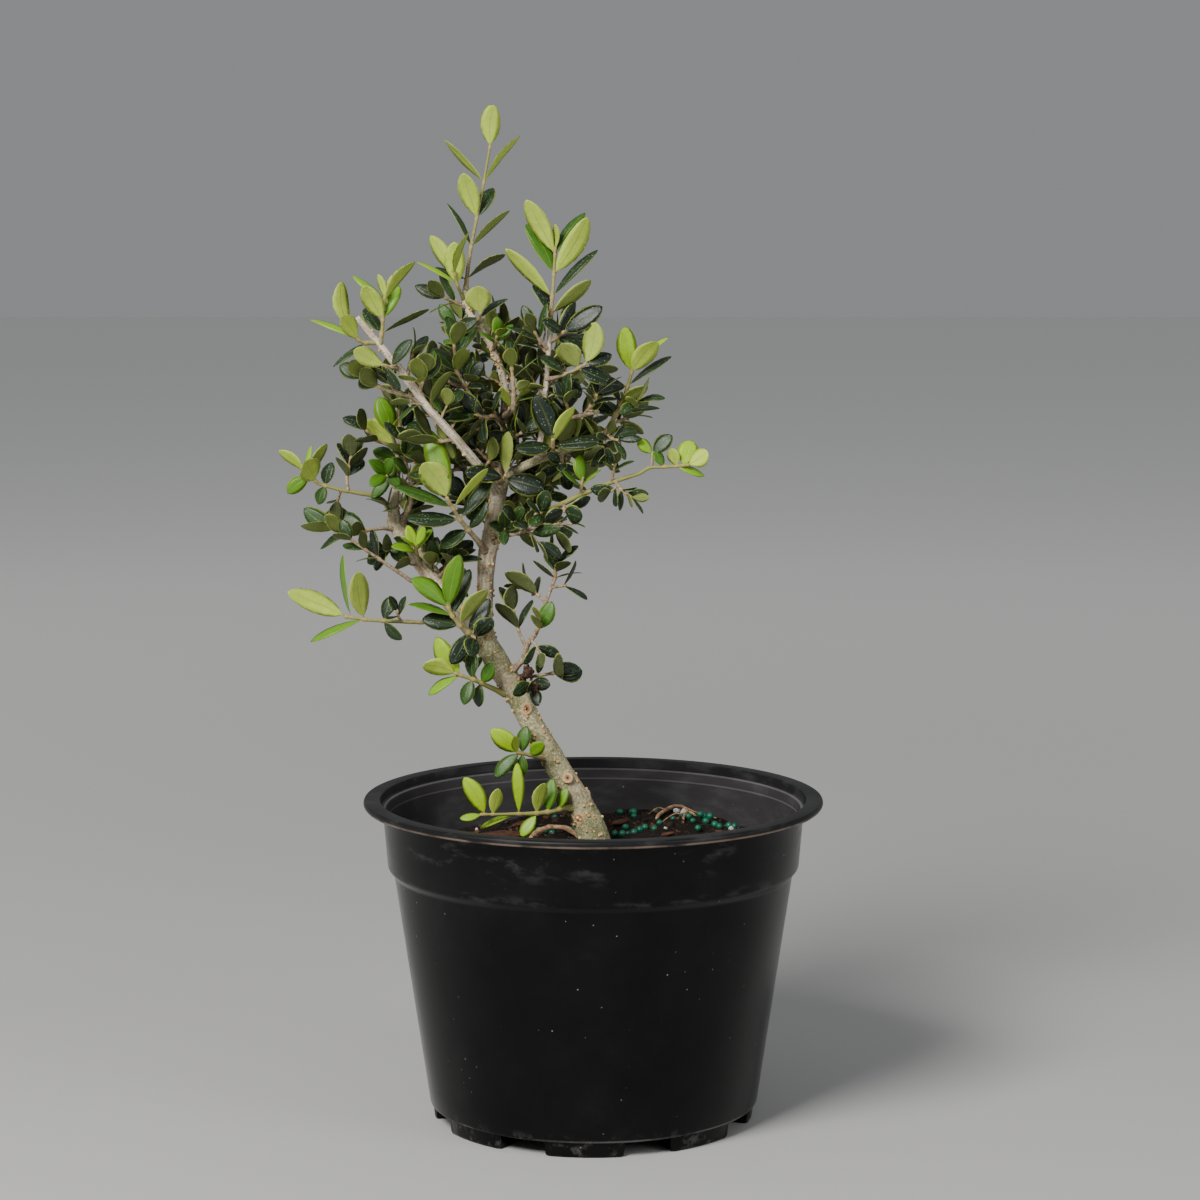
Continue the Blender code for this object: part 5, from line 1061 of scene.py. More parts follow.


# A stem holds its points, its radii, how many leaf pairs it has and how far along they start, a
# full leaf's length and width, the first pair's angle round the stem, the leaves' angle from it,
# in degrees, and an age from 0, new, to 1, old. A leaf set one by one holds its tip's x and z, how
# far the tip lies behind the foot, its width, how much of its upper face the eye sees, from 1 to
# -1 for its underside, and its age; before it, or before a pair, stand the foot's x and z.
SPRAYS = {
    "spray_leader": [hand_set([
        (-55.5, -3, 363), (-54.2, -3, 375), (-52.7, -3, 384.5), (-50, -3, 398), (-47.2, -3, 411.5),
        (-44.3, -3, 428)], (0.95, 0.55), 0.4,
        (-55.2, 367, (-38, 381, 0, 7, -0.4, 0.95), (-70, 375, 0, 6.5, 0.4, 0.9)),
        (-53, 384, (-36, 400, 2, 7, -0.45, 0.6), (-63, 403, 2, 6, 0.4, 0.7)),
        (-50.3, 396.5, (-56, 416, -6, 9, -0.95, 0.2), (-45, 410, 8, 9, 0.8, 0.8)),
        (-47.2, 411.8, (-64, 430, 0, 8, -0.4, 0.25), (-31.5, 432, 0, 8, -0.35, 0.2)),
        (-44.4, 427, (-43, 445, -4, 8, -1, 0.25), (-42.5, 447, 4, 8.5, 1, 0.1)))],
    "spray_upright": [hand_set([
        (-18.6, -10, 349), (-18.2, -10, 357), (-17.4, -10, 366), (-16.3, -10, 384)], (1.0, 0.65),
        0.45,
        (-18.2, 355.5, (-1, 370, -4, 7, -0.8, 0.7), (-26, 368, 5, 8, 0.7, 0.95)),
        (-17.8, 362.5, (-38, 383.5, -4, 7.5, -0.8, 0.35), (2, 383, 2, 7, 0.5, 0.85)),
        (-17, 372.5, (-1, 397, -5, 9.5, -0.95, 0.2), (-29, 394, 5, 8.5, 0.9, 0.5)),
        (-16.4, 381, (-29, 404.5, -4, 9, -0.95, 0.2), (-3.5, 399, 6, 8, 0.7, 0.6)),
        (-16.3, 383.5, (-18, 394.5, -2, 4, -0.8, 0.2), (-12.5, 394, 3, 4, -0.8, 0.2)))],
    "spray_leader_side": [hand_set([
        (-55.9, -3, 361.5), (-58.5, -8, 367), (-60.5, -11, 375)], (0.8, 0.65), 0.15,
        (-58.8, 368, (-62.5, 386.5, -6, 9, -1, 0.1), (-77, 385, 5, 7, 0.35, 0.2)),
        (-59.8, 372.5, (-53.5, 396, -9, 7, -0.6, 0.3), (-70, 391.5, 3, 7.5, -0.9, 0.2)),
        (-60.4, 374.7, (-61, 393, 3, 6.5, 1, 0.05)))],
    "spray_neck_left": [Stem([
        (-54.8, -3, 358), (-60, -6, 360.5), (-64.5, -8, 362.5)], (0.8, 0.65), 2, 0.4, (17, 6.5), 20,
        45, 0.8)],
    "spray_neck_right": [hand_set([
        (-50, -3, 351), (-49.3, -8, 353), (-48.8, -12, 356)], (0.8, 0.65), 0.5,
        (-49.2, 353.5, (-37, 362, 4, 6.5, 0.5, 0.9), (-60, 348, 2, 8, 0.8, 0.9)),
        (-48.9, 355.5, (-50, 367.5, -3, 11, -1, 0.5)))],
    "spray_bud_stem": [Stem([
        (-43.5, -2, 340), (-42.6, -7, 342.5), (-41.6, -10, 346)], (0.8, 0.65), 2, 0.55, (11, 6), 30,
        45, 0.5)],
    "spray_left_up": [hand_set([
        (-92.6, -35, 341.5), (-91.4, -36, 349), (-91.1, -37, 356), (-90.3, -37, 363)], (0.95, 0.65),
        0.3,
        (-91.8, 345.5, (-71, 357.5, -2, 6.5, -0.35, 0.9), (-101, 358, 8, 8, 0.8, 0.8)),
        (-91.2, 353, (-100, 368, -5, 8.5, -0.95, 0.2), (-84, 367.5, 6, 8, 0.9, 0.4)),
        (-90.5, 361, (-77, 378, -2, 7, -0.7, 0.3), (-104, 372, 4, 7, 0.5, 0.3)),
        (-90.3, 362.8, (-93, 372.5, 0, 4, -0.8, 0.3), (-87, 374, 4, 4, -0.8, 0.3)))],
    "spray_left_out": [hand_set([
        (-94, -35, 343.2), (-99, -37, 342.8), (-102.5, -38, 344.5), (-106.5, -39, 350)],
        (0.95, 0.65), 0.25,
        (-97, 343, (-113, 332.5, -3, 7, 0.4, 0.8)),
        (-102, 344.3, (-118, 359, -9, 9, -0.95, 0.15), (-123, 353, 9, 7, 0.45, 0.2)),
        (-106, 349.3, (-109, 369.5, 2, 8, -0.85, 0.25)))],
    "spray_left_under": [hand_set([
        (-84.5, -33, 332), (-87, -37, 332.2), (-92, -40, 333.5)], (0.8, 0.65), 0.6,
        (-87, 332.3, (-80, 345, 3, 6.5, 0.8, 0.9)),
        (-90.5, 333.2, (-104, 339.5, -6, 8.5, -0.85, 0.5), (-84, 322, 0, 6, 0.7, 0.9)))],
    "spray_stick_top": [Stem([
        (-81, -32, 327.6), (-79.5, -34, 334), (-78.5, -35, 338)], (0.8, 0.65), 2, 0.5, (16, 6.5),
        60, 35, 0.95)],
    "spray_left_fork": [Stem([
        (-73.5, -29, 317), (-79, -28, 319.3), (-90, -25, 322.4), (-95, -25, 324.8),
        (-100, -27, 328)], (1.1, 0.7), 3, 0.7, (15, 8), 100, 45, 0.7), Stem([
        (-86.5, -25.8, 321.2), (-88, -24, 325), (-89, -23, 328.5)], (0.7, 0.55), 2, 0.5, (12, 6),
        30, 40, 0.9)],
    "spray_spur": [Stem([
        (-76, -30, 320.5), (-74.5, -32, 325), (-73.3, -33, 330)], (0.8, 0.65), 3, 0.45, (15, 9), 60,
        35, 0.7)],
    "spray_mid_left": [Stem([
        (-40, 4, 301), (-46, 0, 308), (-51, -4, 317), (-56, -7, 324.5), (-59.5, -9, 331),
        (-60.4, -12, 342)], (1.3, 0.65), 4, 0.6, (16, 8.5), 45, 40, 0.75), Stem([
        (-55, -6.4, 323), (-62, -3, 325.5), (-68.5, 0, 333)], (0.8, 0.6), 2, 0.55, (15, 9), 60, 40,
        0.95)],
    "spray_front_stub": [Stem([
        (-39, 3, 311), (-36.3, -8, 312.5), (-34.8, -16, 314.3), (-34.6, -17, 322),
        (-35.3, -18, 331), (-36, -19, 337)], (1.6, 0.65), 3, 0.76, (16, 6), 10, 52, 0.7)],
    "spray_dark_pair": [Stem([
        (-38.2, 1.5, 325), (-34, 6, 331), (-31.5, 8.5, 341)], (0.9, 0.65), 3, 0.45, (17, 9), 60, 35,
        1.0)],
    "spray_gold": [Stem([
        (-38.6, 3, 307), (-43, -11, 311.5), (-47.5, -16, 310.6), (-51, -19, 312)], (1.0, 0.65), 3,
        0.6, (18, 7.5), 45, 55, 0.85), Stem([
        (-45.5, -14, 311), (-49, -11, 306), (-54, -9, 304)], (0.8, 0.6), 2, 0.6, (15, 8), 30, 42,
        1.0)],
    "spray_stick_left": [Stem([
        (-19.3, -10, 340), (-23, -13, 343.5), (-25.5, -15, 348)], (0.8, 0.65), 2, 0.5, (16, 6), 20,
        40, 0.9)],
    "spray_stick_right": [hand_set([
        (-19, -10, 343), (-16, -13, 345), (-12.5, -15, 348)], (0.8, 0.65), 1.0,
        (-15.8, 345.2, (-8, 360, 4, 7.5, 0.8, 0.9), (-4, 338.5, -2, 7.5, 0.8, 0.95)),
        (-13.3, 347.3, (4, 358.5, -2, 9, 0.95, 1.0), (-22, 357, -2, 7, 0.8, 0.9)))],
    "spray_round": [hand_set([
        (-20.3, -10, 327), (-14, -15, 328.5), (-8, -18, 331), (-3, -20, 334)], (1.0, 0.65), 0.6,
        (-12, 329.5, (-23, 337, 1, 7.5, 0.6, 0.9), (-6, 319, -2, 8, 0.8, 0.95)),
        (-6.5, 332, (-14, 342.5, -3, 10.5, -0.9, 0.7), (7, 326, -2, 8.5, 0.8, 0.9)),
        (-3.4, 333.7, (1, 352, 0, 10, -0.9, 0.35), (8, 338, 3, 7.5, 0.8, 0.95)))],
    "spray_stick_low": [Stem([
        (-20.8, -10, 320), (-25, -6, 324), (-28, -3, 330)], (0.8, 0.65), 3, 0.5, (15, 8), 30, 40,
        1.0)],
    "spray_cut_twig": [Stem([
        (-22, -10, 308.5), (-16, -12, 309.3), (-10, -14, 310.5), (-4, -16, 311.7),
        (2.3, -17, 313.2)], (1.1, 1.0), 0, 1.0, (16, 5), 60, 50, 0.9), Stem([
        (-4, -16, 311.7), (-1, -18, 316), (1.5, -19, 320.5)], (0.8, 0.6), 2, 0.5, (17, 5.5), 60, 50,
        0.9), Stem([
        (-10, -14, 310.5), (-11, -18, 314.5), (-12.5, -21, 319)], (0.8, 0.6), 3, 0.45, (14, 7.5),
        45, 45, 0.95)],
    "spray_right_top": [hand_set([
        (-3, -7, 299), (4.5, -6, 302.5), (8, -6, 308.5), (11, -6, 314), (13.5, -6, 319.5),
        (15.3, -6, 325), (18, -6, 335)], (1.4, 0.65), 0.45,
        (9.8, 311.5, (29, 314.5, 1, 6.5, 0.45, 0.85), (-4, 318, 4, 7.5, 0.8, 0.95)),
        (12, 316.3, (23, 326.5, -3, 7, -0.8, 0.6), (3, 333, 5, 7, 0.6, 0.8)),
        (15, 324, (34, 337, 3, 6.5, 0.45, 0.9), (-3, 322, -9, 9, 0.95, 1.0)),
        (16.6, 330, (26.5, 346.5, -5, 9.5, -0.95, 0.1), (14, 350, 5, 9, 0.95, 0.1)),
        (17.8, 334.3, (33, 345, 0, 5, 0.4, 0.1), (17, 352, 1, 4.5, -0.8, 0.2))), Stem([
        (4, -6.1, 302.3), (7.5, -11, 301.5), (11, -15, 300.5)], (0.8, 0.6), 3, 0.45, (13, 4.5), 0,
        50, 0.8), Stem([
        (5, -7.5, 302), (5, -11, 298), (5.5, -14, 294)], (0.7, 0.55), 2, 0.5, (11, 4.5), 45, 40,
        0.9), Stem([
        (7.5, -6, 307.6), (11.5, 0, 309), (16, 5, 311)], (0.8, 0.6), 3, 0.45, (14, 6), 50, 42, 0.8),
        Stem([
        (11, -6, 314), (14.5, -10, 315), (19, -13, 317.5)], (0.8, 0.6), 2, 0.5, (16, 7), 60, 35,
        0.75)],
    "spray_low_right": [hand_set([
        (-20, -10, 269.6), (-12, -12, 273.4), (-5.5, -13, 276.7), (8, -15, 282.3), (20, -16, 286),
        (24.5, -16, 288.8), (36, -18, 289.2), (42, -19, 290)], (1.4, 0.65), 0.15,
        (31, 289, (27, 296, 2, 5.5, 0.8, 0.6)),
        (36.5, 289.3, (48.5, 285, 2, 5.5, 0.6, 0.3), (34, 297, 0, 6.5, -0.8, 0.3)),
        (39.2, 289.6, (42.5, 301, 2, 9, 1, 0.0)),
        (41.5, 290, (50, 295.5, -3, 8, -0.95, 0.15))), hand_set([
        (25.5, -16.2, 288.8), (25.6, -15, 292), (26, -14, 295.5)], (0.7, 0.55), 0.6,
        (26, 294.5, (36, 301.5, -1, 7.5, 0.9, 0.7), (19.5, 301, 0, 5.5, 0.9, 0.3))), Stem([
        (8, -15, 282.3), (8.5, -17, 286), (9.6, -18, 290.5)], (0.75, 0.55), 2, 0.6, (10, 4.5), 10,
        50, 0.85), Stem([
        (9.5, -15.2, 282.8), (12.5, -18, 278.6), (17, -20, 275.4)], (0.75, 0.55), 3, 0.45,
        (11, 4.5), 20, 35, 0.8), Stem([
        (-5.5, -13, 276.7), (-5.2, -15, 280.5), (-4.4, -16, 284.5)], (0.8, 0.6), 3, 0.5, (13, 7.5),
        30, 40, 0.5), Stem([
        (-13, -11.8, 273), (-12.8, -16, 271.5), (-12.6, -18, 269)], (0.7, 0.55), 1, 0.8, (9.5, 8.5),
        15, 44, 0.85)],
    "spray_thin_right": [Stem([
        (-45, 0, 255.5), (-38.5, -7, 258.5), (-28, -11, 261.5), (-20, -13, 263.5),
        (-9, -16, 264.2)], (1.2, 0.65), 2, 0.85, (11, 4.5), 40, 40, 0.8), Stem([
        (-30.5, -9.8, 261.9), (-27, -14, 259.5), (-24.5, -16, 256)], (0.7, 0.55), 2, 0.5, (17, 6),
        30, 30, 0.9)],
    "spray_trunk_rosette": [hand_set([
        (-41, 2, 282), (-39, -9, 283), (-38.2, -15, 285.5)], (1.0, 0.7), 0.95,
        (-38.7, 284, (-60.5, 289, -3, 9.5, 0.9, 1.0), (-21, 279, -3, 11, 0.9, 1.0)),
        (-38.3, 285.3, (-37, 304.5, 1, 7, -0.8, 0.6)))],
    "spray_bough_rosette": [hand_set([
        (-17.5, -9, 294.6), (-17.6, -15, 298), (-17.6, -18, 301)], (0.95, 0.7), 1.0,
        (-17.6, 298, (-34, 297, -4, 8, 0.8, 0.95), (3.5, 300, -3, 8, 0.7, 0.95)),
        (-17.6, 299.4, (-10, 316.5, -4, 6, -0.8, 0.35)),
        (-17.6, 300.7, (-19.5, 324, -2, 11.5, 1, 1.0)))],
    "spray_bough_under": [Stem([
        (-14, -8.6, 295.6), (-13.5, -8, 291), (-13.6, -9, 287.5)], (0.75, 0.6), 2, 0.55, (12, 7),
        20, 50, 0.95)],
    "spray_back_right": [Stem([
        (-18, 32, 291.5), (-13, 35, 296), (-4, 38, 306)], (0.9, 0.65), 3, 0.3, (17, 8), 45, 42,
        0.9), Stem([
        (-14, 34.3, 295), (-8, 42, 294), (-3, 48, 295)], (0.75, 0.6), 2, 0.5, (16, 8), 30, 42,
        0.9)],
    "spray_back_right_low": [Stem([
        (-29, 19, 280.3), (-20, 23, 281), (-9, 31, 284)], (0.85, 0.65), 3, 0.35, (16, 8), 60, 42,
        0.9)],
    "spray_knee": [Stem([
        (-38, -2, 197), (-31, -6, 203.5), (-28.5, -7, 211.5), (-25.2, -8, 215.5), (-23, -9, 223),
        (-20.6, -10, 230), (-16.8, -10, 240), (-16.2, -10, 246)], (1.5, 0.7), 3, 0.88, (15, 7.5),
        15, 60, 0.9), Stem([
        (-18.3, -10, 236), (-14.5, -13, 236.5), (-12, -15, 237)], (0.7, 0.55), 1, 0.8, (14, 5.5), 0,
        40, 1.0), Stem([
        (-20.8, -10, 229.5), (-24, -6, 232.5), (-27.5, -3, 235)], (0.75, 0.6), 2, 0.55, (18, 7.5),
        50, 40, 0.95), Stem([
        (-25.3, -8, 215.4), (-24.3, -12, 217), (-23, -14, 220)], (0.75, 0.6), 2, 0.6, (16, 8), 60,
        40, 0.6), Stem([
        (-29.2, -6.8, 209), (-32.5, -4, 216), (-35, -2, 226)], (0.9, 0.6), 2, 0.5, (17, 8), 45, 42,
        1.0), Stem([
        (-28, -7.1, 213), (-25, -10, 210.5), (-24, -12, 206.5)], (0.7, 0.55), 2, 0.55, (12, 6), 0,
        38, 0.9)],
    "spray_dead_twig": [Stem([
        (-36, -2, 194), (-29, -7, 196.4), (-24, -10, 197), (-14, -14, 198.6)], (1.0, 0.65), 2, 0.8,
        (14, 10), 60, 40, 1.0), Stem([
        (-27, -8.2, 196.6), (-27.5, -12, 194), (-27, -15, 191.5)], (0.7, 0.55), 2, 0.55, (11, 6),
        20, 45, 0.95)],
    "spray_low_left": [hand_set([
        (-36, -1.5, 187.5), (-47, -8, 192.5), (-52, -12, 194.9), (-61, -15, 198)], (1.4, 0.7), 0.2,
        (-49.3, 193.7, (-44, 202.5, -3, 6.5, 0.95, 0.55), (-50.5, 183, 0, 6.5, 0.8, 0.8)),
        (-53, 195.2, (-53.5, 208, 4, 7, 0.8, 0.7), (-57, 184, -3, 7, 0.9, 0.75)),
        (-58.3, 197, (-69, 214, 3, 9, 0.95, 0.05), (-72.5, 188.5, 0, 7, 0.55, 0.3)),
        (-60.6, 197.9, (-75, 201.5, -3, 8.5, -0.9, 0.2))), Stem([
        (-51, -11.3, 194.5), (-53, -9, 198), (-54, -8, 201)], (0.7, 0.55), 2, 0.5, (12, 6.5), 45,
        45, 0.8)],
    "spray_bright": [hand_set([
        (-48.5, 0, 210.5), (-53, -10, 214.3), (-58.5, -13, 219), (-62, -14.5, 223.5),
        (-64, -15, 228)], (1.5, 0.75), 0.45,
        (-55, 216, (-45.5, 231, 2, 7.5, 0.9, 0.95), (-64, 202.5, -3, 8, 1, 0.9)),
        (-58.5, 219.2, (-46.5, 235, -5, 7.5, -0.85, 0.6), (-75, 222, 0, 8, 0.95, 0.85)),
        (-61.8, 223.3, (-54, 244, 6, 8, 0.9, 0.9), (-81, 228.5, -2, 7, 0.5, 0.5)),
        (-63.5, 227, (-58.5, 250.5, -4, 8.5, 1, 0.38), (-79.5, 240, -3, 8.5, 0.95, 0.42))), Stem([
        (-53.5, -10.2, 214.7), (-52.5, -14, 214), (-51, -17, 213.5)], (0.75, 0.6), 2, 0.6, (13, 8),
        45, 45, 1.0)],
    "spray_long_left": [hand_set([
        (-59, 3, 225), (-66, -3, 221.8), (-75, -6, 220.6), (-98, -11, 221.5), (-109, -12, 223.2)],
        (1.25, 0.7), 0.4,
        (-92, 221.2, (-88, 232, 3, 7, 0.8, 0.8), (-84, 213, -2, 6.5, 0.7, 0.85)),
        (-100.5, 221.8, (-103, 243, -7, 9.5, -0.9, 0.5), (-124, 212, -2, 7, 0.45, 0.4)),
        (-106, 222.7, (-109.5, 250.5, 6, 8.5, 0.25, 0.45)),
        (-108.5, 223.1, (-134, 234, -5, 9.5, -0.95, 0.25))), Stem([
        (-84, -7.9, 220.9), (-85.5, -10, 223), (-86, -11, 226)], (0.65, 0.55), 2, 0.5, (10, 7), 60,
        45, 0.85)],
    "spray_thin_left": [Stem([
        (-68, 4.6, 237), (-74, -1, 237), (-79.5, -5, 238.7), (-90.5, -10, 246.2), (-106, -15, 257)],
        (1.2, 0.6), 3, 0.66, (13, 6), 30, 42, 0.85)],
    "spray_low_back_left": [Stem([
        (-85.5, 8.8, 262), (-93, 3, 262), (-106, -1, 260.3), (-113, -2, 261.5)], (1.0, 0.65), 3,
        0.45, (19, 8), 60, 38, 0.7)],
    "spray_far_left": [hand_set([
        (-87.2, 10, 269), (-92, 6, 274.5), (-98, 4, 276.8), (-109, 1, 278.6), (-120, -1, 281.5),
        (-127, -3, 288)], (1.3, 0.65), 0.3,
        (-117, 280.7, (-114, 291, 3, 7, 0.8, 0.8), (-120, 272.5, -1, 6.5, 0.8, 0.7)),
        (-121.3, 282.7, (-127.5, 292.5, -8, 11.5, -0.95, 0.35)),
        (-123.5, 284.8, (-116, 299, 1, 6.5, -0.6, 0.45), (-133.5, 277.5, -1, 6.5, 1, 0.45)),
        (-125.6, 286.8, (-137, 296, -2, 6, -0.7, 0.08), (-122, 298.5, 2, 5, 0.5, 0.2)),
        (-126.7, 287.8, (-128.5, 299.5, 0, 4.5, -0.7, 0.2))), Stem([
        (-107, 1.4, 278.3), (-107.5, 3, 284), (-105.5, 4, 293.5)], (0.85, 0.6), 3, 0.4, (14, 8.5),
        60, 45, 0.95), Stem([
        (-110, 0.8, 278.8), (-111.5, 4, 275), (-112, 7, 270.5)], (0.7, 0.55), 2, 0.5, (14, 7), 60,
        35, 0.95)],
    "spray_left_bough_top": [hand_set([
        (-86, 11, 280), (-84.8, 11, 288), (-85.5, 10, 296), (-87.5, 5, 303), (-89, 2, 309)],
        (1.4, 0.65), 0.6,
        (-85.2, 291.5, (-78, 303, 2, 8, 0.8, 0.8), (-96, 296, -2, 8, 0.8, 0.7)),
        (-86.2, 298.7, (-102, 307, -6, 11, -0.95, 0.35), (-74, 297, -2, 7, 0.7, 0.6)),
        (-87.5, 303.2, (-91, 320, 4, 9.5, 0.95, 0.4), (-82, 314, -3, 6, -0.7, 0.3))), Stem([
        (-84.8, 11, 288), (-88, 2, 285), (-90, -6, 285)], (0.85, 0.6), 3, 0.5, (14, 6), 50, 50,
        0.5), Stem([
        (-85.6, 9.6, 296.5), (-93, 7, 300), (-99, 5, 305)], (0.75, 0.6), 2, 0.55, (15, 8), 60, 42,
        0.95)],
    "spray_inner_stick": [Stem([
        (-84.5, 8.6, 262.5), (-79.5, 3, 273), (-79.3, 1, 281), (-83.8, -4, 299), (-84.5, -6, 314)],
        (1.2, 0.65), 4, 0.62, (15, 6.5), 70, 38, 0.7)],
    "spray_young_left": [Stem([
        (-75, 7, 246.5), (-77, -2, 250.5), (-78, -7, 254.5)], (0.8, 0.6), 3, 0.62, (13, 6.5), 20,
        50, 0.2)],
    "spray_front": [hand_set([
        (-46.3, 1, 250.5), (-50, -8, 256), (-53.5, -12, 260), (-58, -17, 265.5), (-64, -23, 275.5)],
        (1.6, 0.7), 0.55,
        (-54.5, 261.5, (-67, 254, 0, 8.5, 0.8, 0.8), (-46, 274, -3, 7, 0.8, 0.9)),
        (-58.3, 266, (-82, 266.5, -4, 8.5, 0.8, 0.85), (-42, 282, 2, 7, 0.8, 0.9)),
        (-61.2, 270.8, (-48.5, 296, -2, 6.5, -0.6, 0.25), (-87, 280.5, -2, 8, 0.6, 0.6)),
        (-63, 273.8, (-68, 306.5, 6, 10, 1, 0.36)),
        (-64, 275.4, (-74.5, 290.5, -4, 12.5, -0.95, 0.4)))],
    "spray_low_twig": [hand_set([
        (-19.5, -1, 160), (-24, -8, 160.6), (-28, -11, 161.5), (-34, -14, 162.8)], (1.2, 0.65),
        0.35,
        (-28, 161.5, (-22, 167, -6, 6, 1, 0.35)),
        (-31.3, 162.2, (-28.5, 174, 0, 6.5, 0.95, 0.55), (-31, 152, -1, 5, 0.9, 0.5)),
        (-33, 162.5, (-45, 173, -2, 8.5, 0.95, 0.02), (-43.5, 151.5, -2, 6.5, 0.95, 0.6)),
        (-34, 162.8, (-37.5, 174.5, -2, 5, -0.95, 0.15)))],
    "spray_base_twig": [hand_set([
        (-6, -1, 137.8), (-14, -8, 137.6), (-19, -11, 136), (-25, -14, 135.3), (-40, -19, 134.9),
        (-50, -22, 134.8)], (1.4, 0.65), 0.2,
        (-15.5, 137.2, (-12.5, 147, 2, 5, 0.9, 0.3)),
        (-20.3, 135.9, (-18, 151, 3, 6.5, 0.95, 0.5)),
        (-25, 135.3, (-21.5, 149, -2, 6.5, -0.9, 0.4), (-32, 125, -3, 6, 0.9, 0.2)),
        (-33, 135.1, (-33.5, 158, 0, 5.5, 0.95, 0.1), (-54, 129.5, -4, 6.5, 0.4, 0.05)),
        (-44.5, 134.9, (-42, 146.5, -2, 6, -0.9, 0.3)),
        (-48, 134.8, (-57, 151.5, 0, 8, 1, 0.0)),
        (-49.7, 134.8, (-59, 133, -1, 4.5, 0.8, 0.15)))],
    "spray_inner_front": [Stem([
        (-60, -21, 301.3), (-66, -19, 300), (-73, -18, 301.5)], (0.85, 0.65), 3, 0.45, (17, 8), 80,
        42, 0.8)],
    "spray_mid_front": [Stem([
        (-41, 3, 289), (-46, -4, 292), (-51, -6, 297)], (0.9, 0.65), 2, 0.6, (16, 8.5), 60, 45,
        1.0)],
    "spray_centre": [Stem([
        (-40.3, 4, 299), (-36, -5, 301), (-31, -11, 304)], (0.9, 0.65), 3, 0.55, (17, 8.5), 30, 45,
        1.0), Stem([
        (-36, -5, 301), (-31, -2, 306), (-28, -1, 313)], (0.75, 0.6), 3, 0.5, (15, 8), 60, 40,
        1.0)],
    "spray_low_centre": [Stem([
        (-44, 1, 266), (-51, -3, 269), (-57, -5, 274)], (0.85, 0.65), 3, 0.5, (15, 8.5), 60, 45,
        0.95)],
    "spray_low_mid": [Stem([
        (-69, 5, 239), (-64, -3, 245), (-59, -7, 250)], (0.85, 0.65), 3, 0.55, (16, 8), 50, 45,
        0.95)],
    "spray_bough_side": [Stem([
        (-82, 8, 256), (-87, -1, 254), (-91, -4, 252)], (0.8, 0.65), 2, 0.6, (14, 8), 50, 45, 0.9)],
    "spray_back_left": [Stem([
        (-67.5, 39, 306), (-70, 43, 313), (-72, 48, 327)], (0.9, 0.65), 3, 0.3, (17, 8.5), 45, 42,
        0.85), Stem([
        (-69.2, 41.5, 310.5), (-76, 45, 313), (-82, 49, 316)], (0.75, 0.6), 2, 0.5, (16, 8), 30, 42,
        0.85)],
    "spray_back_left_low": [Stem([
        (-56.5, 23, 288.4), (-64, 26, 287), (-78, 33, 291)], (0.9, 0.65), 3, 0.35, (16, 8), 60, 42,
        0.95)],
    "spray_back_high": [Stem([
        (-53.7, 32.6, 333), (-56, 36, 340), (-57, 39, 353)], (0.9, 0.65), 3, 0.3, (16, 8), 45, 42,
        0.7), Stem([
        (-55, 34.5, 337), (-49, 40, 340), (-44, 45, 344)], (0.75, 0.6), 2, 0.5, (16, 8), 30, 42,
        0.8)],
    "spray_back_mid": [Stem([
        (-46.5, 17, 308.4), (-53, 22, 311), (-64, 30, 318)], (0.9, 0.65), 3, 0.35, (16, 8), 60, 42,
        0.95)],
    "spray_back_right_high": [Stem([
        (-17.6, 25.6, 326.4), (-13, 29, 332), (-9, 32, 344)], (0.9, 0.65), 3, 0.3, (16, 8), 45, 42,
        0.75), Stem([
        (-14.5, 28, 330), (-8, 33, 330), (-2, 38, 331)], (0.75, 0.6), 2, 0.5, (16, 8), 30, 42,
        0.85)],
    "spray_low_back": [Stem([
        (-75.6, 36, 252), (-79, 41, 257), (-82, 46, 269)], (0.9, 0.65), 3, 0.3, (16, 8), 45, 42,
        0.9)],
}

# %% The rule for leaves
BLADE_THICKNESS = 0.6
LEAF_CLEARANCE = 0.35
TIP_LIFT = 0.16
LARGE_BLADE_LENGTH = 27.0
FOOT_SHARE = 0.22
FOOT_ROOM = 1.8
TIP_ROOM = 0.6
PAIR_ROOM = 1.7
CORNER_REACH = 1.15
OWN_BEND = 0.4
OWN_START = 3.0
OWN_ROOM = 1.15
NEAREST_STEPS = 200
LEAF_SEED = 7


class Line:
    """A line through points, measured along its length."""

    def __init__(self, points):
        self.points = points
        self.starts = [0.0]
        for a, b in zip(points, points[1:]):
            self.starts.append(self.starts[-1] + (b - a).length)
        self.length = self.starts[-1]

    def at(self, distance):
        """Return the point at a distance from the start and the line's direction there."""
        index = 0
        while index < len(self.points) - 2 and self.starts[index + 1] < distance:
            index += 1
        a, b = self.points[index], self.points[index + 1]
        direction = (b - a).normalized()
        return a + direction * (distance - self.starts[index]), direction


# A blade's outline: share of its length and of its half width, for large and small leaves
LARGE_BLADE = [(0.2, 0.68), (0.52, 1.0), (0.82, 0.66)]
SMALL_BLADE = [(0.32, 0.95), (0.74, 0.8)]

Leaf = namedtuple("Leaf", "foot rib face length width bend age")
# A pair of leaves on a stem: how far along it stands, the first leaf's side and the leaves
Pair = namedtuple("Pair", "distance outward leaves")


def rib_point(leaf, share, length):
    """The rib's point and upward direction at a share of its length, on an arc."""
    side = leaf.face - leaf.rib * leaf.face.dot(leaf.rib)
    side.normalize()
    start = -0.5 * leaf.bend
    now = leaf.bend * (share - 0.5)
    point = leaf.foot + length / leaf.bend * (
        leaf.rib * (math.sin(now) - math.sin(start)) + side * (math.cos(now) - math.cos(start)))
    return point, side * math.cos(now) + leaf.rib * math.sin(now)


def outline_of(leaf):
    return LARGE_BLADE if leaf.length > LARGE_BLADE_LENGTH else SMALL_BLADE


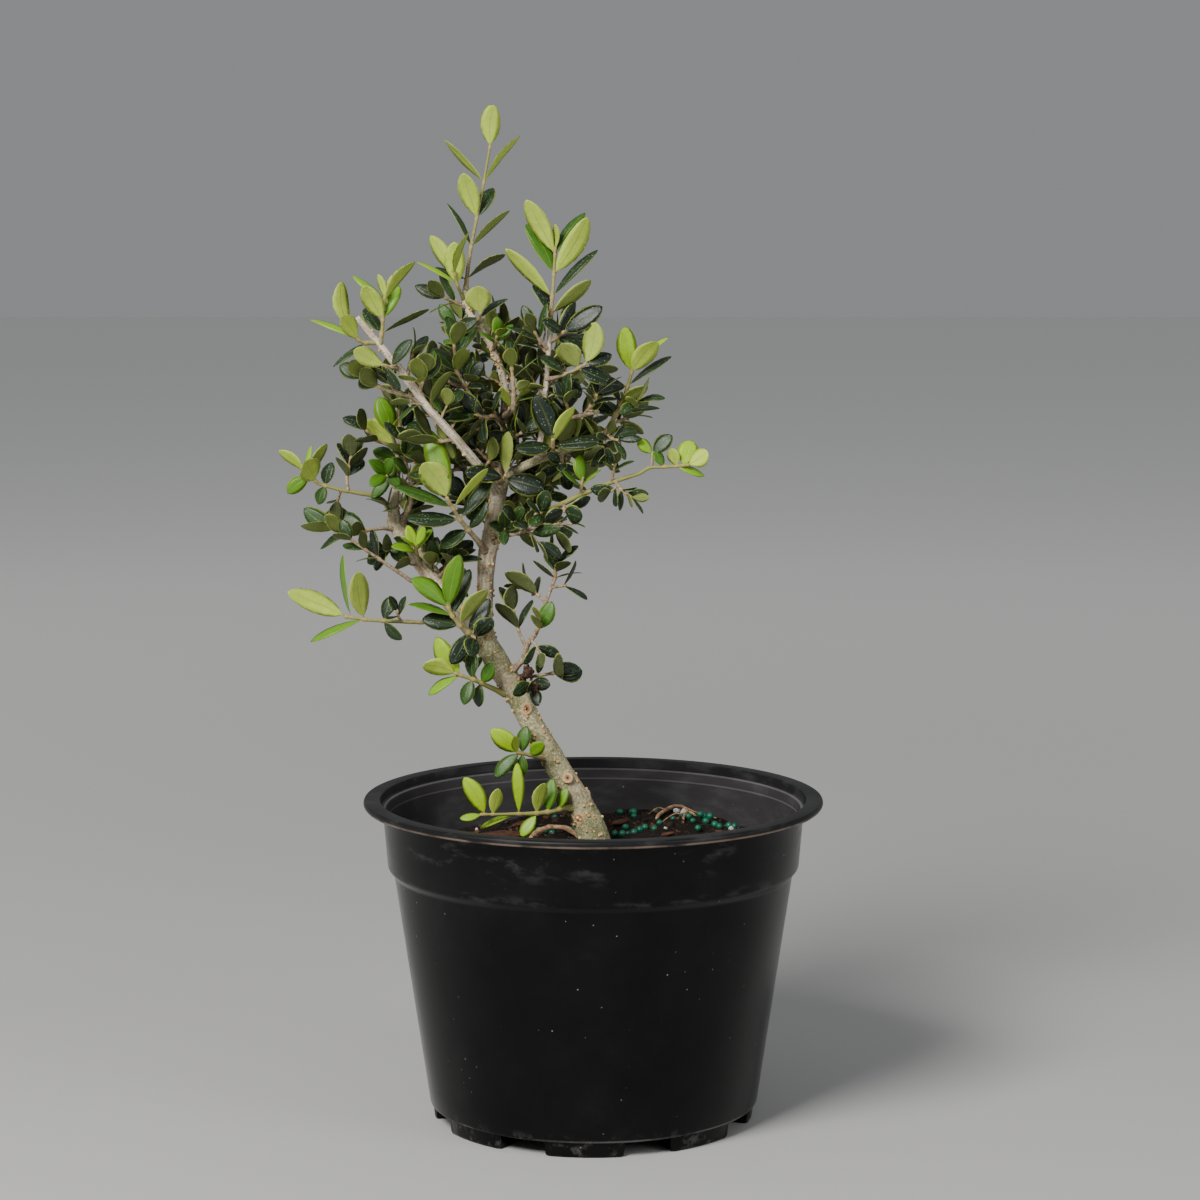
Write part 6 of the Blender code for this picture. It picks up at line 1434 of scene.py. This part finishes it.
def blade(leaf, grow=0.0, start=0.0):
    """A leaf's plain plate for collision; grow fattens it and start leaves out its foot."""
    outline = outline_of(leaf)
    half = 0.5 * BLADE_THICKNESS + grow
    length = leaf.length + grow
    across = leaf.rib.cross(leaf.face).normalized()
    spots = [(start, 0.0)]
    spots += [(share, wide) for share, wide in outline]
    spots += [(1.0, 0.0)]
    spots += [(share, -wide) for share, wide in reversed(outline)]
    verts = []
    for level in (1.0, -1.0):
        for share, wide in spots:
            point, up = rib_point(leaf, share, length)
            reach = wide * 0.5 * leaf.width + math.copysign(grow, wide) * (wide != 0.0)
            verts.append(point + up * (half * level) + across * reach)
    count = len(spots)
    rows = len(outline)
    faces = [(0, 1, count - 1)]
    for row in range(1, rows):
        faces.append((row, row + 1, count - row - 1, count - row))
    faces.append((rows, rows + 1, rows + 2))
    faces += [tuple(count + corner for corner in reversed(face)) for face in faces]
    for corner in range(count):
        after = (corner + 1) % count
        faces.append((corner, corner + count, after + count, after))
    return verts, faces


def bare_stem(line, thick, foot_normal=None):
    """A closed four-sided stem; its first ring lies in the plane of foot_normal, if given."""
    verts = []
    for distance in line.starts:
        point, before = line.at(distance)
        along = (before + line.at(distance + 0.01)[1]).normalized()
        if not verts:
            side = along.orthogonal().normalized()
        side = (side - along * side.dot(along)).normalized()
        across = along.cross(side)
        radius = thick[0] + (thick[1] - thick[0]) * distance / line.length
        for corner in range(4):
            angle = (corner - 0.5) * 0.5 * math.pi
            offset = (side * math.cos(angle) + across * math.sin(angle)) * (radius * CORNER_REACH)
            if distance == 0.0 and foot_normal is not None:
                offset -= along * (offset.dot(foot_normal) / along.dot(foot_normal))
            verts.append(point + offset)
    last = len(verts) - 4
    faces = [(3, 2, 1, 0), (last, last + 1, last + 2, last + 3)]
    for a in range(last):
        b = a + 1 if a % 4 < 3 else a - 3
        faces += [(a, b, b + 4), (a, b + 4, a + 4)]
    return verts, faces


def tree_of(shape):
    return BVHTree.FromPolygons(shape[0], shape[1])


def pair_spots(line, row, draw):
    """Yield the distance, angle round the stem, splay and size of every ruled leaf pair."""
    last = line.length - TIP_ROOM
    start = min(max(row.first * line.length, FOOT_ROOM), last)
    count = min(row.pairs, 1 + int((last - start) / PAIR_ROOM))
    for pair in range(count):
        part = pair / max(count - 1, 1)
        turn = math.radians(row.turn + 90.0 * pair + draw.uniform(-10, 10))
        size = (0.86 + 0.14 * math.sin(math.pi * min(part + 0.35, 1.0))) * draw.uniform(0.9, 1.06)
        splay = math.radians(row.splay * (1.15 - 0.4 * part))
        yield start + (last - start) * part, turn, splay, size


def side_of(along, turn):
    """The sideways direction at an angle round a stem."""
    reference = Vector((1, 0, 0)) if abs(along.x) < 0.75 else Vector((0, 0, 1))
    first = (reference - along * reference.dot(along)).normalized()
    return first * math.cos(turn) + along.cross(first) * math.sin(turn)


def stand_leaf(line, full, distance, turn, splay, size, age, draw):
    """Set one leaf, a share of the full length and width; it leans up and bends outwards."""
    foot, along = line.at(distance)
    rib = along * math.cos(splay) + side_of(along, turn) * math.sin(splay)
    rib = (rib + Vector((0, 0, TIP_LIFT))).normalized()
    up = along + Vector((0, 0, 0.5))
    face = (up - rib * up.dot(rib)).normalized()
    roll = draw.uniform(-0.3, 0.3)
    face = (face * math.cos(roll) + rib.cross(face) * math.sin(roll)).normalized()
    width = full[1] * math.sqrt(size) * draw.uniform(0.9, 1.1)
    bend = draw.uniform(0.25, 0.65)
    return Leaf(foot, rib, face, full[0] * size, width, bend, age + draw.uniform(-0.1, 0.1))


def nearest_on(line, x, z):
    """How far along a line it passes nearest to a spot seen on the upright plane."""
    sight = (Vector((x, 0.0, z)) - EYE).normalized()
    steps = [line.length * i / NEAREST_STEPS for i in range(NEAREST_STEPS + 1)]
    return min(steps, key=lambda step: sight.cross(line.at(step)[0] - EYE).length)


def own_leaf(line, distance, goal, turn_by=0.0, splay_by=0.0, shorter=1.0):
    """Set one leaf by its tip: its upper face shows to the eye as far as its goal says."""
    x, z, behind, width, shown, age = goal
    foot, along = line.at(distance)
    rib = place(x, foot.y + behind, z) - foot
    length = rib.length
    rib.normalize()
    hinge = along.cross(rib).normalized()
    rib = Quaternion(along, turn_by) @ (Quaternion(hinge, splay_by) @ rib)
    sight = (foot - EYE).normalized()
    edge = rib.cross(sight).normalized()
    if edge.dot(along) < 0.0:
        edge.negate()
    face = edge * math.sqrt(1.0 - shown * shown) - sight * shown
    face = (face - rib * face.dot(rib)).normalized()
    arc = 0.5 * OWN_BEND
    return Leaf(foot, rib, face, length * arc / math.sin(arc) * shorter, width * math.sqrt(shorter),
                OWN_BEND, age)


def own_spots(line, row):
    """Where a stem's own pairs stand, kept a node's height apart and off its tip."""
    spots = [max(nearest_on(line, group[0], group[1]), OWN_START) for group in row.own]
    for index in range(1, len(spots)):
        spots[index] = max(spots[index], spots[index - 1] + OWN_ROOM)
    limit = line.length - TIP_ROOM
    for index in reversed(range(len(spots))):
        spots[index] = min(spots[index], limit)
        limit = spots[index] - OWN_ROOM
    return spots


# What is tried, in turn, for a leaf that would touch another: turn, splay and length changes
TRIES = [
    (0, 0, 1.0), (12, 0, 1.0), (-12, 0, 1.0), (0, 10, 0.95), (0, -10, 0.95), (24, 5, 0.9),
    (-24, 5, 0.9), (12, -14, 0.85), (-12, 14, 0.85), (36, 0, 0.8), (-36, 0, 0.8), (0, 0, 0.68),
    (20, 20, 0.7), (-20, 20, 0.7), (40, -10, 0.62), (-40, -10, 0.62),
]


def ball_round(leaf):
    """The middle and the radius of a ball that holds a leaf with room to spare."""
    return leaf.foot + leaf.rib * (0.5 * leaf.length), 0.5 * leaf.length + 2.0


class Crown:
    """What stands in a leaf's way: other nodes, whole, and its own node's leaves but their feet."""

    def __init__(self, obstacles):
        self.whole = list(obstacles)
        self.trimmed = []

    def add(self, name, leaf):
        centre, reach = ball_round(leaf)
        self.whole.append((name, centre, reach, tree_of(blade(leaf)), True))
        self.trimmed.append((name, centre, reach, tree_of(blade(leaf, 0.0, FOOT_SHARE))))

    def is_clear(self, name, leaf):
        centre, reach = ball_round(leaf)
        fat = tree_of(blade(leaf, LEAF_CLEARANCE))
        fat_top = tree_of(blade(leaf, LEAF_CLEARANCE, FOOT_SHARE))
        for other, middle, far, tree, is_leaf in self.whole:
            own = other == name
            if (own and is_leaf) or (middle - centre).length > far + reach:
                continue
            if (fat_top if own else fat).overlap(tree):
                return False
        for other, middle, far, tree in self.trimmed:
            if other == name and (middle - centre).length < far + reach and fat_top.overlap(tree):
                return False
        return True


def first_clear(crown, name, make):
    """The first of the tries that is clear, kept in the crown, or None; make draws a leaf."""
    for turn_by, splay_by, shorter in TRIES:
        leaf = make(math.radians(turn_by), math.radians(splay_by), shorter)
        if crown.is_clear(name, leaf):
            crown.add(name, leaf)
            return leaf
    return None


def try_leaf(crown, name, line, full, distance, turn, splay, size, age, seed):
    """Stand one ruled leaf where a try is clear; each try makes the same draws."""
    return first_clear(crown, name, lambda turn_by, splay_by, shorter: stand_leaf(
        line, full, distance, turn + turn_by, splay + splay_by, size * shorter, age,
        random.Random(seed)))


def grow_leaves(stems, crown):
    """Stand every leaf pair of every (node, line, stem) where nothing is in its way."""
    own = []
    for name, line, row in stems:
        pairs = []
        for group, distance in zip(row.own, own_spots(line, row)):
            leaves = [first_clear(crown, name, partial(own_leaf, line, distance, goal))
                      for goal in group[2:]]
            ribs = [own_leaf(line, distance, goal).rib for goal in group[2:]]
            outward = ribs[0] - ribs[-1] if ribs[1:] else ribs[0]
            along = line.at(distance)[1]
            outward = (outward - along * outward.dot(along)).normalized()
            if any(leaves):
                pairs.append(Pair(distance, outward, (leaves + [None])[:2]))
        own.append(pairs)
    grown = []
    draw = random.Random(LEAF_SEED)
    for (name, line, row), pairs in zip(stems, own):
        ruled = [] if row.own else pair_spots(line, row, draw)
        for distance, turn, splay, size in ruled:
            leaves = []
            for half_turn in (0.0, math.pi):
                seed = draw.random()
                lean = splay * draw.uniform(0.85, 1.15)
                leaves.append(try_leaf(crown, name, line, row.leaf, distance, turn + half_turn,
                                       lean, size, row.age, seed))
            if any(leaves):
                pairs.append(Pair(distance, side_of(line.at(distance)[1], turn), leaves))
        grown.append(pairs)
    return grown


def foot_on(tree, path):
    """Where a stem meets the wood: its path starts a gap above the bark, cut to match it."""
    inside, outside = path[0], path[1]
    direction = (inside - outside).normalized()
    hit, normal, face, distance = tree.ray_cast(outside, direction, (inside - outside).length)
    if hit is None:
        return path, None
    slope = max(-direction.dot(normal), 0.35)
    start = hit - direction * (GAP / slope)
    if slope <= 0.35:
        normal = -direction
    return [start] + path[1:], normal


# %% Grow the leaves
def node_tree(name):
    """A search tree of a CAD node's faces, in millimetres from the pot's axis."""
    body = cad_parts[name]
    spots = [body.matrix_world @ vertex.co / MM - AXIS for vertex in body.data.vertices]
    return BVHTree.FromPolygons(spots, [tuple(face.vertices) for face in body.data.polygons])


wood_tree = node_tree("wood")
# Each obstacle: its node, the middle and radius of a ball round it, its tree, and if it's a leaf
obstacles = [("wood", Vector((-40, 0, 250)), 400.0, wood_tree, False)]
for name in ("pot", "soil"):
    obstacles.append((name, Vector((0, 0, 70)), 130.0, node_tree(name), False))
stems = []
for name, rows in SPRAYS.items():
    for index, row in enumerate(rows):
        path = [place(*point) for point in row.path]
        normal = None
        if index == 0:
            path, normal = foot_on(wood_tree, path)
        line = Line(path)
        middle = sum(path, Vector()) / len(path)
        reach = max((point - middle).length for point in path) + 2.0
        bare = tree_of(bare_stem(line, row.thick, normal))
        obstacles.append((name, middle, reach, bare, False))
        stems.append((name, line, row))
crown = Crown(obstacles)
grown = grow_leaves(stems, crown)
print(len(stems), "stems carry", sum(leaf is not None for pairs in grown for pair in pairs
                                     for leaf in pair.leaves), "leaves")

# %% [markdown]
# ## More leaves than the solids have
# The solids stay few-sided, so they leave out the small leaves of the inner crown. Here the
# older ruled twigs that end inside the crown get short side shoots with one or two pairs of
# smaller, older leaves, and the boughs themselves get a few. They obey the same rule, and are
# left out where nothing is clear.

# %% Side shoots
SHOOT_SEED = 23
SHOOT_STEP = 7.0
OLD_ENOUGH = 0.6
SHOOT_FIRST = 0.14
FIRST_SHOOT_AT = 2.2
TIP_FREE = 1.5
NODE_APART = 0.9
SHORT_SHOOT = 3.5
CROWN_LOW, CROWN_HIGH = 262.0, 352.0
CROWN_LEFT, CROWN_RIGHT = -95.0, 24.0
Shoot = namedtuple("Shoot", "name line thick pairs age")


def leaves_of(shoots):
    return [leaf for shoot in shoots for pair in shoot.pairs for leaf in pair.leaves if leaf]


def side_shoot(name, foot, along, lean, size, age, draw, length, thick=(0.5, 0.38)):
    """A short shoot out of a twig or bough, with one or two leaf pairs, the last near its tip."""
    tip = foot + (lean * 0.8 + along * 0.35 + Vector((0, 0, 0.25))).normalized() * length
    line = Line([foot, foot + (tip - foot) * 0.5 + along * 0.3, tip])
    full = (size, size * draw.uniform(0.42, 0.56))
    pairs = []
    count = 1 if length < SHORT_SHOOT else 2
    first_turn = draw.uniform(0.0, math.pi)
    for index in range(count):
        distance = line.length * (1.0 if count == 1 else 0.5 + 0.5 * index) - 0.4
        turn = first_turn + 0.5 * math.pi * index
        splay = math.radians(draw.uniform(38, 62) - 16 * index)
        leaves = []
        for half_turn in (0.0, math.pi):
            share = draw.uniform(0.8, 1.1)
            leaves.append(try_leaf(crown, name, line, full, distance, turn + half_turn, splay,
                                   share, age, draw.random()))
        if any(leaves):
            pairs.append(Pair(distance, side_of(line.at(distance)[1], turn), leaves))
    return Shoot(name, line, thick, pairs, age) if pairs else None


def in_crown(spot):
    """Whether a spot lies inside the dense crown, where no single leaf can be made out."""
    return CROWN_LOW < spot.z < CROWN_HIGH and CROWN_LEFT < spot.x < CROWN_RIGHT


draw = random.Random(SHOOT_SEED)
shoots = []
for (name, line, row), pairs in zip(stems, grown):
    if row.age < OLD_ENOUGH or row.own or not in_crown(line.points[-1]):
        continue
    taken = [pair.distance for pair in pairs]
    distance = max(SHOOT_FIRST * line.length, FIRST_SHOOT_AT)
    while distance < line.length - TIP_FREE:
        foot, along = line.at(distance)
        lean = side_of(along, draw.uniform(0.0, 2.0 * math.pi))
        length = draw.uniform(2.4, 5.5)
        size = draw.uniform(9.0, 13.5)
        age = min(1.0, max(0.05, row.age + draw.uniform(-0.15, 0.25)))
        step = SHOOT_STEP * draw.uniform(0.7, 1.3)
        if all(abs(distance - other) > NODE_APART for other in taken):
            shoots.append(side_shoot(name, foot, along, lean, size, age, draw, length))
        distance += step

# %% Shoots straight out of the boughs
BOUGH_SHOOTS = {"trunk": (255.0, 348.0, 5.0), "left_bough": (236.0, 281.0, 5.0),
                "pruned_stick": (286.0, 322.0, 5.5), "right_bough": (283.0, 300.0, 4.0),
                "upright_stick": (296.0, 349.0, 4.2), "low_right_bough": (262.0, 270.0, 5.5),
                "back_right_bough": (266.0, 293.0, 4.5), "back_left_bough": (276.0, 308.0, 4.5),
                "back_high_bough": (298.0, 334.0, 4.5), "low_back_bough": (234.0, 253.0, 5.0),
                "back_right_high_bough": (305.0, 328.0, 4.5)}
BARE_IN_FRONT = ("trunk", "pruned_stick", "upright_stick", "right_bough")
BOUGH_ENDS = (2.0, 1.0)
own_shoots = []
for name, (low, high_end, spacing) in BOUGH_SHOOTS.items():
    line, radii, walk = bough_run(name, 1.0)
    whole = Line([Vector(tuple(map(float, point))) for point in line])
    distance = BOUGH_ENDS[0]
    while distance < whole.length - BOUGH_ENDS[1]:
        foot, along = whole.at(distance)
        radius = float(np.interp(distance, walk, radii))
        lean = side_of(along, draw.uniform(0.0, 2.0 * math.pi))
        if name in BARE_IN_FRONT:
            lean.y = abs(lean.y)
        length = radius + draw.uniform(3.5, 9.0)
        size = draw.uniform(11.0, 17.0)
        age = draw.uniform(0.7, 1.0)
        step = spacing * draw.uniform(0.6, 1.4)
        if low < foot.z < high_end:
            own_shoots.append(side_shoot("bough_shoots", foot, along, lean, size, age, draw,
                                         length, (0.62, 0.42)))
        distance += step
shoots = [shoot for shoot in shoots if shoot]
own_shoots = [shoot for shoot in own_shoots if shoot]
print(len(shoots), "side shoots and", len(own_shoots), "bough shoots add",
      len(leaves_of(shoots + own_shoots)), "leaves")

# %% [markdown]
# ## One fine leaf
# A trained olive's leaf is 1 to 3 cm long, leathery, blunt, and broadest past its middle. Its
# short stalk widens into the blade, the edges roll down a little, the midrib is a groove above
# and a ridge below. As a surface it is a grid: one number runs from foot to tip, the other from
# edge to edge. Arrays over all leaves of a piece at once make thousands of points in one go.

# %% Leaf surface
STATIONS = np.array([0.0, 0.07, 0.17, 0.32, 0.50, 0.68, 0.84, 0.95, 1.0])
ACROSS = np.array([-1.0, -0.52, 0.0, 0.52, 1.0])
LEAF_THICKNESS = 0.34
STALK = 0.07


def leaf_grid():
    """Faces of one leaf: a grid above, one below, and a shared rim; and which face is which."""
    rows, columns = len(STATIONS), len(ACROSS)
    upper = np.arange(rows * columns).reshape(rows, columns)
    lower = upper.copy()
    inner = np.arange((rows - 2) * (columns - 2)).reshape(rows - 2, columns - 2)
    lower[1:-1, 1:-1] = rows * columns + inner
    quads = []
    for grid in (upper, lower[:, ::-1]):
        quads.append(np.stack([grid[:-1, :-1], grid[:-1, 1:], grid[1:, 1:], grid[1:, :-1]],
                              axis=-1).reshape(-1, 4))
    sides = np.repeat([1, 2], [len(quads[0]), len(quads[1])])
    return np.concatenate(quads), sides, rows * columns + inner.size


LEAF_FACES, LEAF_SIDES, LEAF_POINTS = leaf_grid()


def leaf_points(leaves, draw):
    """Points of many leaves at once.

    Half width: a stalk, then sin(pi t^b)^0.58 of the blade's share t, where b from 1 to 1.2
    moves its broadest place past the middle. The rib is an arc; the blade is a shallow trough
    with its edges rolled down, twisted a little about its rib. Upper and lower faces part by
    the thickness times 1 - v^4.
    """
    count = len(leaves)
    foot, rib, face = (np.array([tuple(getattr(leaf, part)) for leaf in leaves])[:, None, None]
                       for part in ("foot", "rib", "face"))
    length, width, bend = (np.array([getattr(leaf, part) for leaf in leaves])[:, None, None, None]
                           for part in ("length", "width", "bend"))
    across = np.cross(rib, face)
    across /= np.linalg.norm(across, axis=-1, keepdims=True)
    up = np.cross(across, rib)
    s = STATIONS[None, :, None, None]
    v = ACROSS[None, None, :, None]
    t = np.clip((s - STALK) / (1.0 - STALK), 0.0, 1.0)
    blunt = draw.uniform(1.0, 1.2, (count, 1, 1, 1))
    shape = np.abs(np.sin(np.pi * t ** blunt)) ** 0.58
    half = np.maximum(0.53 * width * shape, 0.42 - 0.2 * s)
    start, now = -0.5 * bend, bend * (s - 0.5)
    centre = foot + length / bend * (rib * (np.sin(now) - np.sin(start))
                                     + up * (np.cos(now) - np.cos(start)))
    lift = up * np.cos(now) + rib * np.sin(now)
    sway = draw.uniform(-0.06, 0.06, (count, 1, 1, 1)) * length * np.sin(np.pi * s) * across
    twist = draw.uniform(-0.35, 0.35, (count, 1, 1, 1)) * (s - 0.3)
    flat = across * np.cos(twist) + lift * np.sin(twist)
    top = lift * np.cos(twist) - across * np.sin(twist)
    trough = draw.uniform(0.04, 0.22, (count, 1, 1, 1))
    wave = draw.uniform(-1.0, 1.0, (count, 1, 1, 1)) * 0.05
    relief = half * (trough * v ** 2 - 0.16 * v ** 6 + wave * np.sin(9.0 * s + 3.0 * v) * v ** 2)
    groove = -0.07 * np.exp(-(v / 0.2) ** 2) * np.sin(np.pi * np.clip(s, 0.05, 0.95))
    part = 0.5 * LEAF_THICKNESS * (1.0 - v ** 4) * np.minimum(1.0, 6.0 * (1.0 - s) + 0.1)
    sheet = centre + sway + flat * half * v + top * (relief + groove)
    upper = sheet + top * part
    lower = sheet - top * part
    upper[:, [0, -1]] = sheet[:, [0, -1]]
    points = np.concatenate([upper.reshape(count, -1, 3),
                             lower[:, 1:-1, 1:-1].reshape(count, -1, 3)], axis=1)
    u, w = np.meshgrid(STATIONS, 0.5 + 0.5 * ACROSS, indexing="ij")
    uv = np.concatenate([np.stack([u, w], -1).reshape(-1, 2),
                         np.stack([u, w], -1)[1:-1, 1:-1].reshape(-1, 2)])
    return points.reshape(-1, 3), np.tile(uv, (count, 1))


def leaf_shells(leaves, draw):
    """Points, faces, face sides, uv and paint of many leaves."""
    points, uv = leaf_points(leaves, draw)
    count = len(leaves)
    starts = LEAF_POINTS * np.arange(count)[:, None, None]
    faces = (LEAF_FACES[None] + starts).reshape(-1, 4).tolist()
    ages = np.clip([leaf.age for leaf in leaves], 0.0, 1.0)
    paint = np.stack([ages, draw.uniform(0, 1, count), draw.uniform(0, 1, count),
                      np.ones(count)], 1)
    return points, faces, np.tile(LEAF_SIDES, count), uv, np.repeat(paint, LEAF_POINTS, axis=0)


# %% Twig surface
TWIG_SIDES = 7


def twig_shell(line, thick, pairs, age, rooted=0.0):
    """A twig: a tube that thins to its tip, swells at each leaf pair and flares at its foot."""
    knots = [tuple(point) for point in line.points]
    if rooted:
        first = line.points[0]
        knots[0] = tuple(first - (line.points[1] - first).normalized() * rooted)
    run, walk = smoothed(knots, 0.9, 1)
    walk = walk - rooted
    radii = thick[0] + (thick[1] - thick[0]) * np.clip(walk / line.length, 0.0, 1.0)
    nodes = np.zeros(len(run))
    for pair in pairs:
        nodes = np.maximum(nodes, np.exp(-((walk - pair.distance) / 0.75) ** 2))
    flare = np.exp(-np.maximum(walk, 0.0) / 1.3) * (0.45 if rooted else 0.2)
    radii = radii * (0.92 + 0.38 * nodes + flare) * (1.0 + 0.10 * noise(run, 1.8, 51))
    points, faces = tube(run, radii, TWIG_SIDES)
    green = np.clip(1.15 - age + 0.35 * (walk / line.length - 0.6), 0.0, 1.0)
    rows = np.stack([green, nodes, np.full(len(run), age), np.ones(len(run))], 1)
    rows = np.concatenate([rows[:1], rows, rows[-1:]])
    return points, faces, np.repeat(rows, TWIG_SIDES, axis=0)


print("a leaf has", LEAF_POINTS, "points and", len(LEAF_FACES), "faces")

# %% [markdown]
# ## Leaf and twig finishes
# New leaves are yellow green, full-grown ones a clear glossy green, and old ones nearly black
# with a bluish cast, dusted with pale scales. Below, all are matte: pale yellow green when
# young, olive later. A thin yellow rim and the midrib show on both sides. Two materials share
# one recipe that reads the leaf's age from the paint layer and its veins from the uv map.


# %% Leaf finishes
SIDE_VEINS = 15.0
VEIN_SLANT = 3.2


def leaf_finish(name, ages, rim_colour, rib_colour, scale_share, rough, gloss):
    """One side of the leaves: colour by age, veins and rim by uv, scales by noise."""
    leaf = Finish(name, Specular_IOR_Level=gloss)
    age, tone, mark = leaf.paint()[:3]
    u, v, _ = leaf.parts(leaf.node("ShaderNodeUVMap", {"uv_map": "surface"}))
    off = (2.0 * v - 1.0).size()
    colour = leaf.ramp(age + 0.16 * (tone - 0.5), ages)
    cloud = leaf.grain(260.0, 3.0, 0.6)
    patch = leaf.grain(420.0, 3.0, 0.65)
    colour = leaf.tint(colour, 0.55 + 0.34 * cloud + 0.38 * patch + 0.30 * (mark - 0.3))
    stripe = u.sum("FRACT", u * SIDE_VEINS - off * VEIN_SLANT)
    vein = stripe.near(0.5, 0.0, 0.22) * off.fall(0.7, 0.9) * 0.09
    midrib = off.fall(0.03, 0.10) * (1.0 - 0.6 * u)
    colour = leaf.mix((midrib * 0.40 + vein) * (1.15 - 0.75 * age), colour, rib_colour)
    colour = leaf.mix(off.rise(0.82, 0.93) * 0.85, colour, rim_colour)
    colour = leaf.mix(u.fall(0.05, 0.13) * 0.8, colour, (0.34, 0.31, 0.09))
    scales = leaf.specks(760.0)
    dusted = scales.fall(0.10, 0.28) * patch.rise(0.34, 0.56) * age.rise(0.35, 0.8)
    colour = leaf.mix(dusted * scale_share, colour, (0.24, 0.29, 0.23))
    leaf.colour(colour)
    leaf.roughness(rough + 0.16 * patch + 0.12 * dusted)
    leaf.bump(0.7 * patch - 0.6 * midrib - vein + 0.4 * dusted, 0.00022, 0.7)
    return leaf


TOP_AGES = [(0.0, (0.36, 0.56, 0.010)), (0.28, (0.17, 0.37, 0.008)),
            (0.50, (0.052, 0.170, 0.006)), (0.72, (0.016, 0.050, 0.009)),
            (0.90, (0.0075, 0.0200, 0.0095)), (1.0, (0.0058, 0.0145, 0.0090))]
UNDER_AGES = [(0.0, (0.45, 0.60, 0.060)), (0.4, (0.34, 0.44, 0.060)), (0.7, (0.175, 0.22, 0.045)),
              (0.85, (0.095, 0.120, 0.030)), (1.0, (0.062, 0.078, 0.024))]
leaf_top = leaf_finish("leaf_top", TOP_AGES, (0.30, 0.38, 0.045), (0.28, 0.36, 0.045),
                       0.75, 0.33, 0.38)
leaf_under = leaf_finish("leaf_under", UNDER_AGES, (0.46, 0.54, 0.10), (0.15, 0.21, 0.020),
                         0.40, 0.55, 0.35)

# %% Twig finish
twig = Finish("twig_bark", Specular_IOR_Level=0.3)
green, joint = twig.paint()[:2]
strand = twig.grain(800.0, 4.0, 0.6)
tone = twig.mix(strand.rise(0.35, 0.65), (0.20, 0.135, 0.075), (0.42, 0.33, 0.23))
tone = twig.mix(green.rise(0.35, 0.9), tone, (0.27, 0.27, 0.075))
tone = twig.mix(joint * 0.65, tone, (0.50, 0.33, 0.12))
twig.colour(tone)
twig.roughness(0.62 + 0.25 * strand)
twig.bump(strand, 0.0002)
print("leaf finishes have", len(leaf_top.tree.nodes), "nodes each")

# %% [markdown]
# ## Dress every twig
# One piece for each CAD spray: its twigs, their side shoots and all their leaves. The piece has
# three materials, for bark, upper and lower faces. What it prints lets us see that it stays on
# its solid.


# %% Build the foliage pieces
def foliage_piece(name, twigs, leaves, seed):
    """One object of twigs and leaves, from shells of points, faces, materials, uv and paint."""
    shells = [(points, faces, np.zeros(len(faces), dtype=int), np.zeros((len(points), 2)), rows)
              for points, faces, rows in twigs]
    if leaves:
        shells.append(leaf_shells(leaves, np.random.default_rng(seed)))
    kinds, uv, paint = (np.concatenate([shell[part] for shell in shells]) for part in (2, 3, 4))
    return add_mesh(name, *joined([shell[:2] for shell in shells]),
                    [twig.material, leaf_top.material, leaf_under.material], kinds, uv, paint)


def slot_for(age):
    return "young_leaves" if age <= 0.35 else "leaves" if age <= 0.75 else "old_leaves"


ROOTED = 1.4
total = 0
worst = 0.0
for seed, (node, rows) in enumerate(SPRAYS.items()):
    here = [Shoot(name, line, row.thick, pairs, row.age)
            for (name, line, row), pairs in zip(stems, grown) if name == node]
    here += [shoot for shoot in shoots if shoot.name == node]
    twigs = [twig_shell(*shoot[1:], 0.0 if index else ROOTED) for index, shoot in enumerate(here)]
    leaves = leaves_of(here)
    total += len(leaves)
    piece = foliage_piece(node.replace("spray", "foliage"), twigs, leaves, 100 + seed)
    settle(piece, slot_for(rows[0].age), node)
    spots = points_of(piece)[0]
    low, high_corner = (np.array(corner) / MM - np.array(AXIS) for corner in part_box(node))
    worst = max(worst, (low - spots.min(axis=0)).max(), (spots.max(axis=0) - high_corner).max())
print(total, "leaves in", len(SPRAYS), "pieces; they pass their solids by at most",
      round(float(worst), 2), "mm")

# %% Build the shoots of the boughs
BATCH = 40
for batch in range(0, len(own_shoots), BATCH):
    part = own_shoots[batch:batch + BATCH]
    piece = foliage_piece(f"foliage_boughs_{batch // BATCH + 1}",
                          [twig_shell(*shoot[1:]) for shoot in part], leaves_of(part), 300 + batch)
    settle(piece, "old_leaves")

# %% [markdown]
# A few leaves of the low twig at the elbow died and shrivelled there, as dark brown crumpled
# bits. Each one is a small ball, drawn out, crumpled by noise and creased where it folds.

# %% Dead leaves
DEAD = [((-28.6, -13.0, 200.4), (2.3, 1.5, 3.0)), ((-25.6, -15.5, 193.2), (1.9, 1.4, 2.9)),
        ((-30.8, -11.5, 197.6), (1.6, 1.2, 1.9))]
shells = []
for index, (spot, size) in enumerate(DEAD):
    round_points, round_faces = ball(14, 18)
    folds = np.abs(noise(round_points, 0.62, 60 + index)) + 0.6 * np.abs(
        noise(round_points, 0.27, 70 + index))
    crumpled = round_points * (0.62 + 0.75 * folds[:, None]) * size + np.array(spot)
    shells.append((crumpled, round_faces))
withered = Finish("withered_leaf", Specular_IOR_Level=0.3)
fold = withered.grain(900.0, 4.0, 0.65)
withered.colour(withered.mix(fold.rise(0.35, 0.7), (0.018, 0.009, 0.006), (0.13, 0.065, 0.038)))
withered.roughness(0.62 + 0.3 * fold)
withered.bump(fold, 0.0006)
settle(add_mesh("dead_leaves", *joined(shells), [withered.material]), "old_leaves")
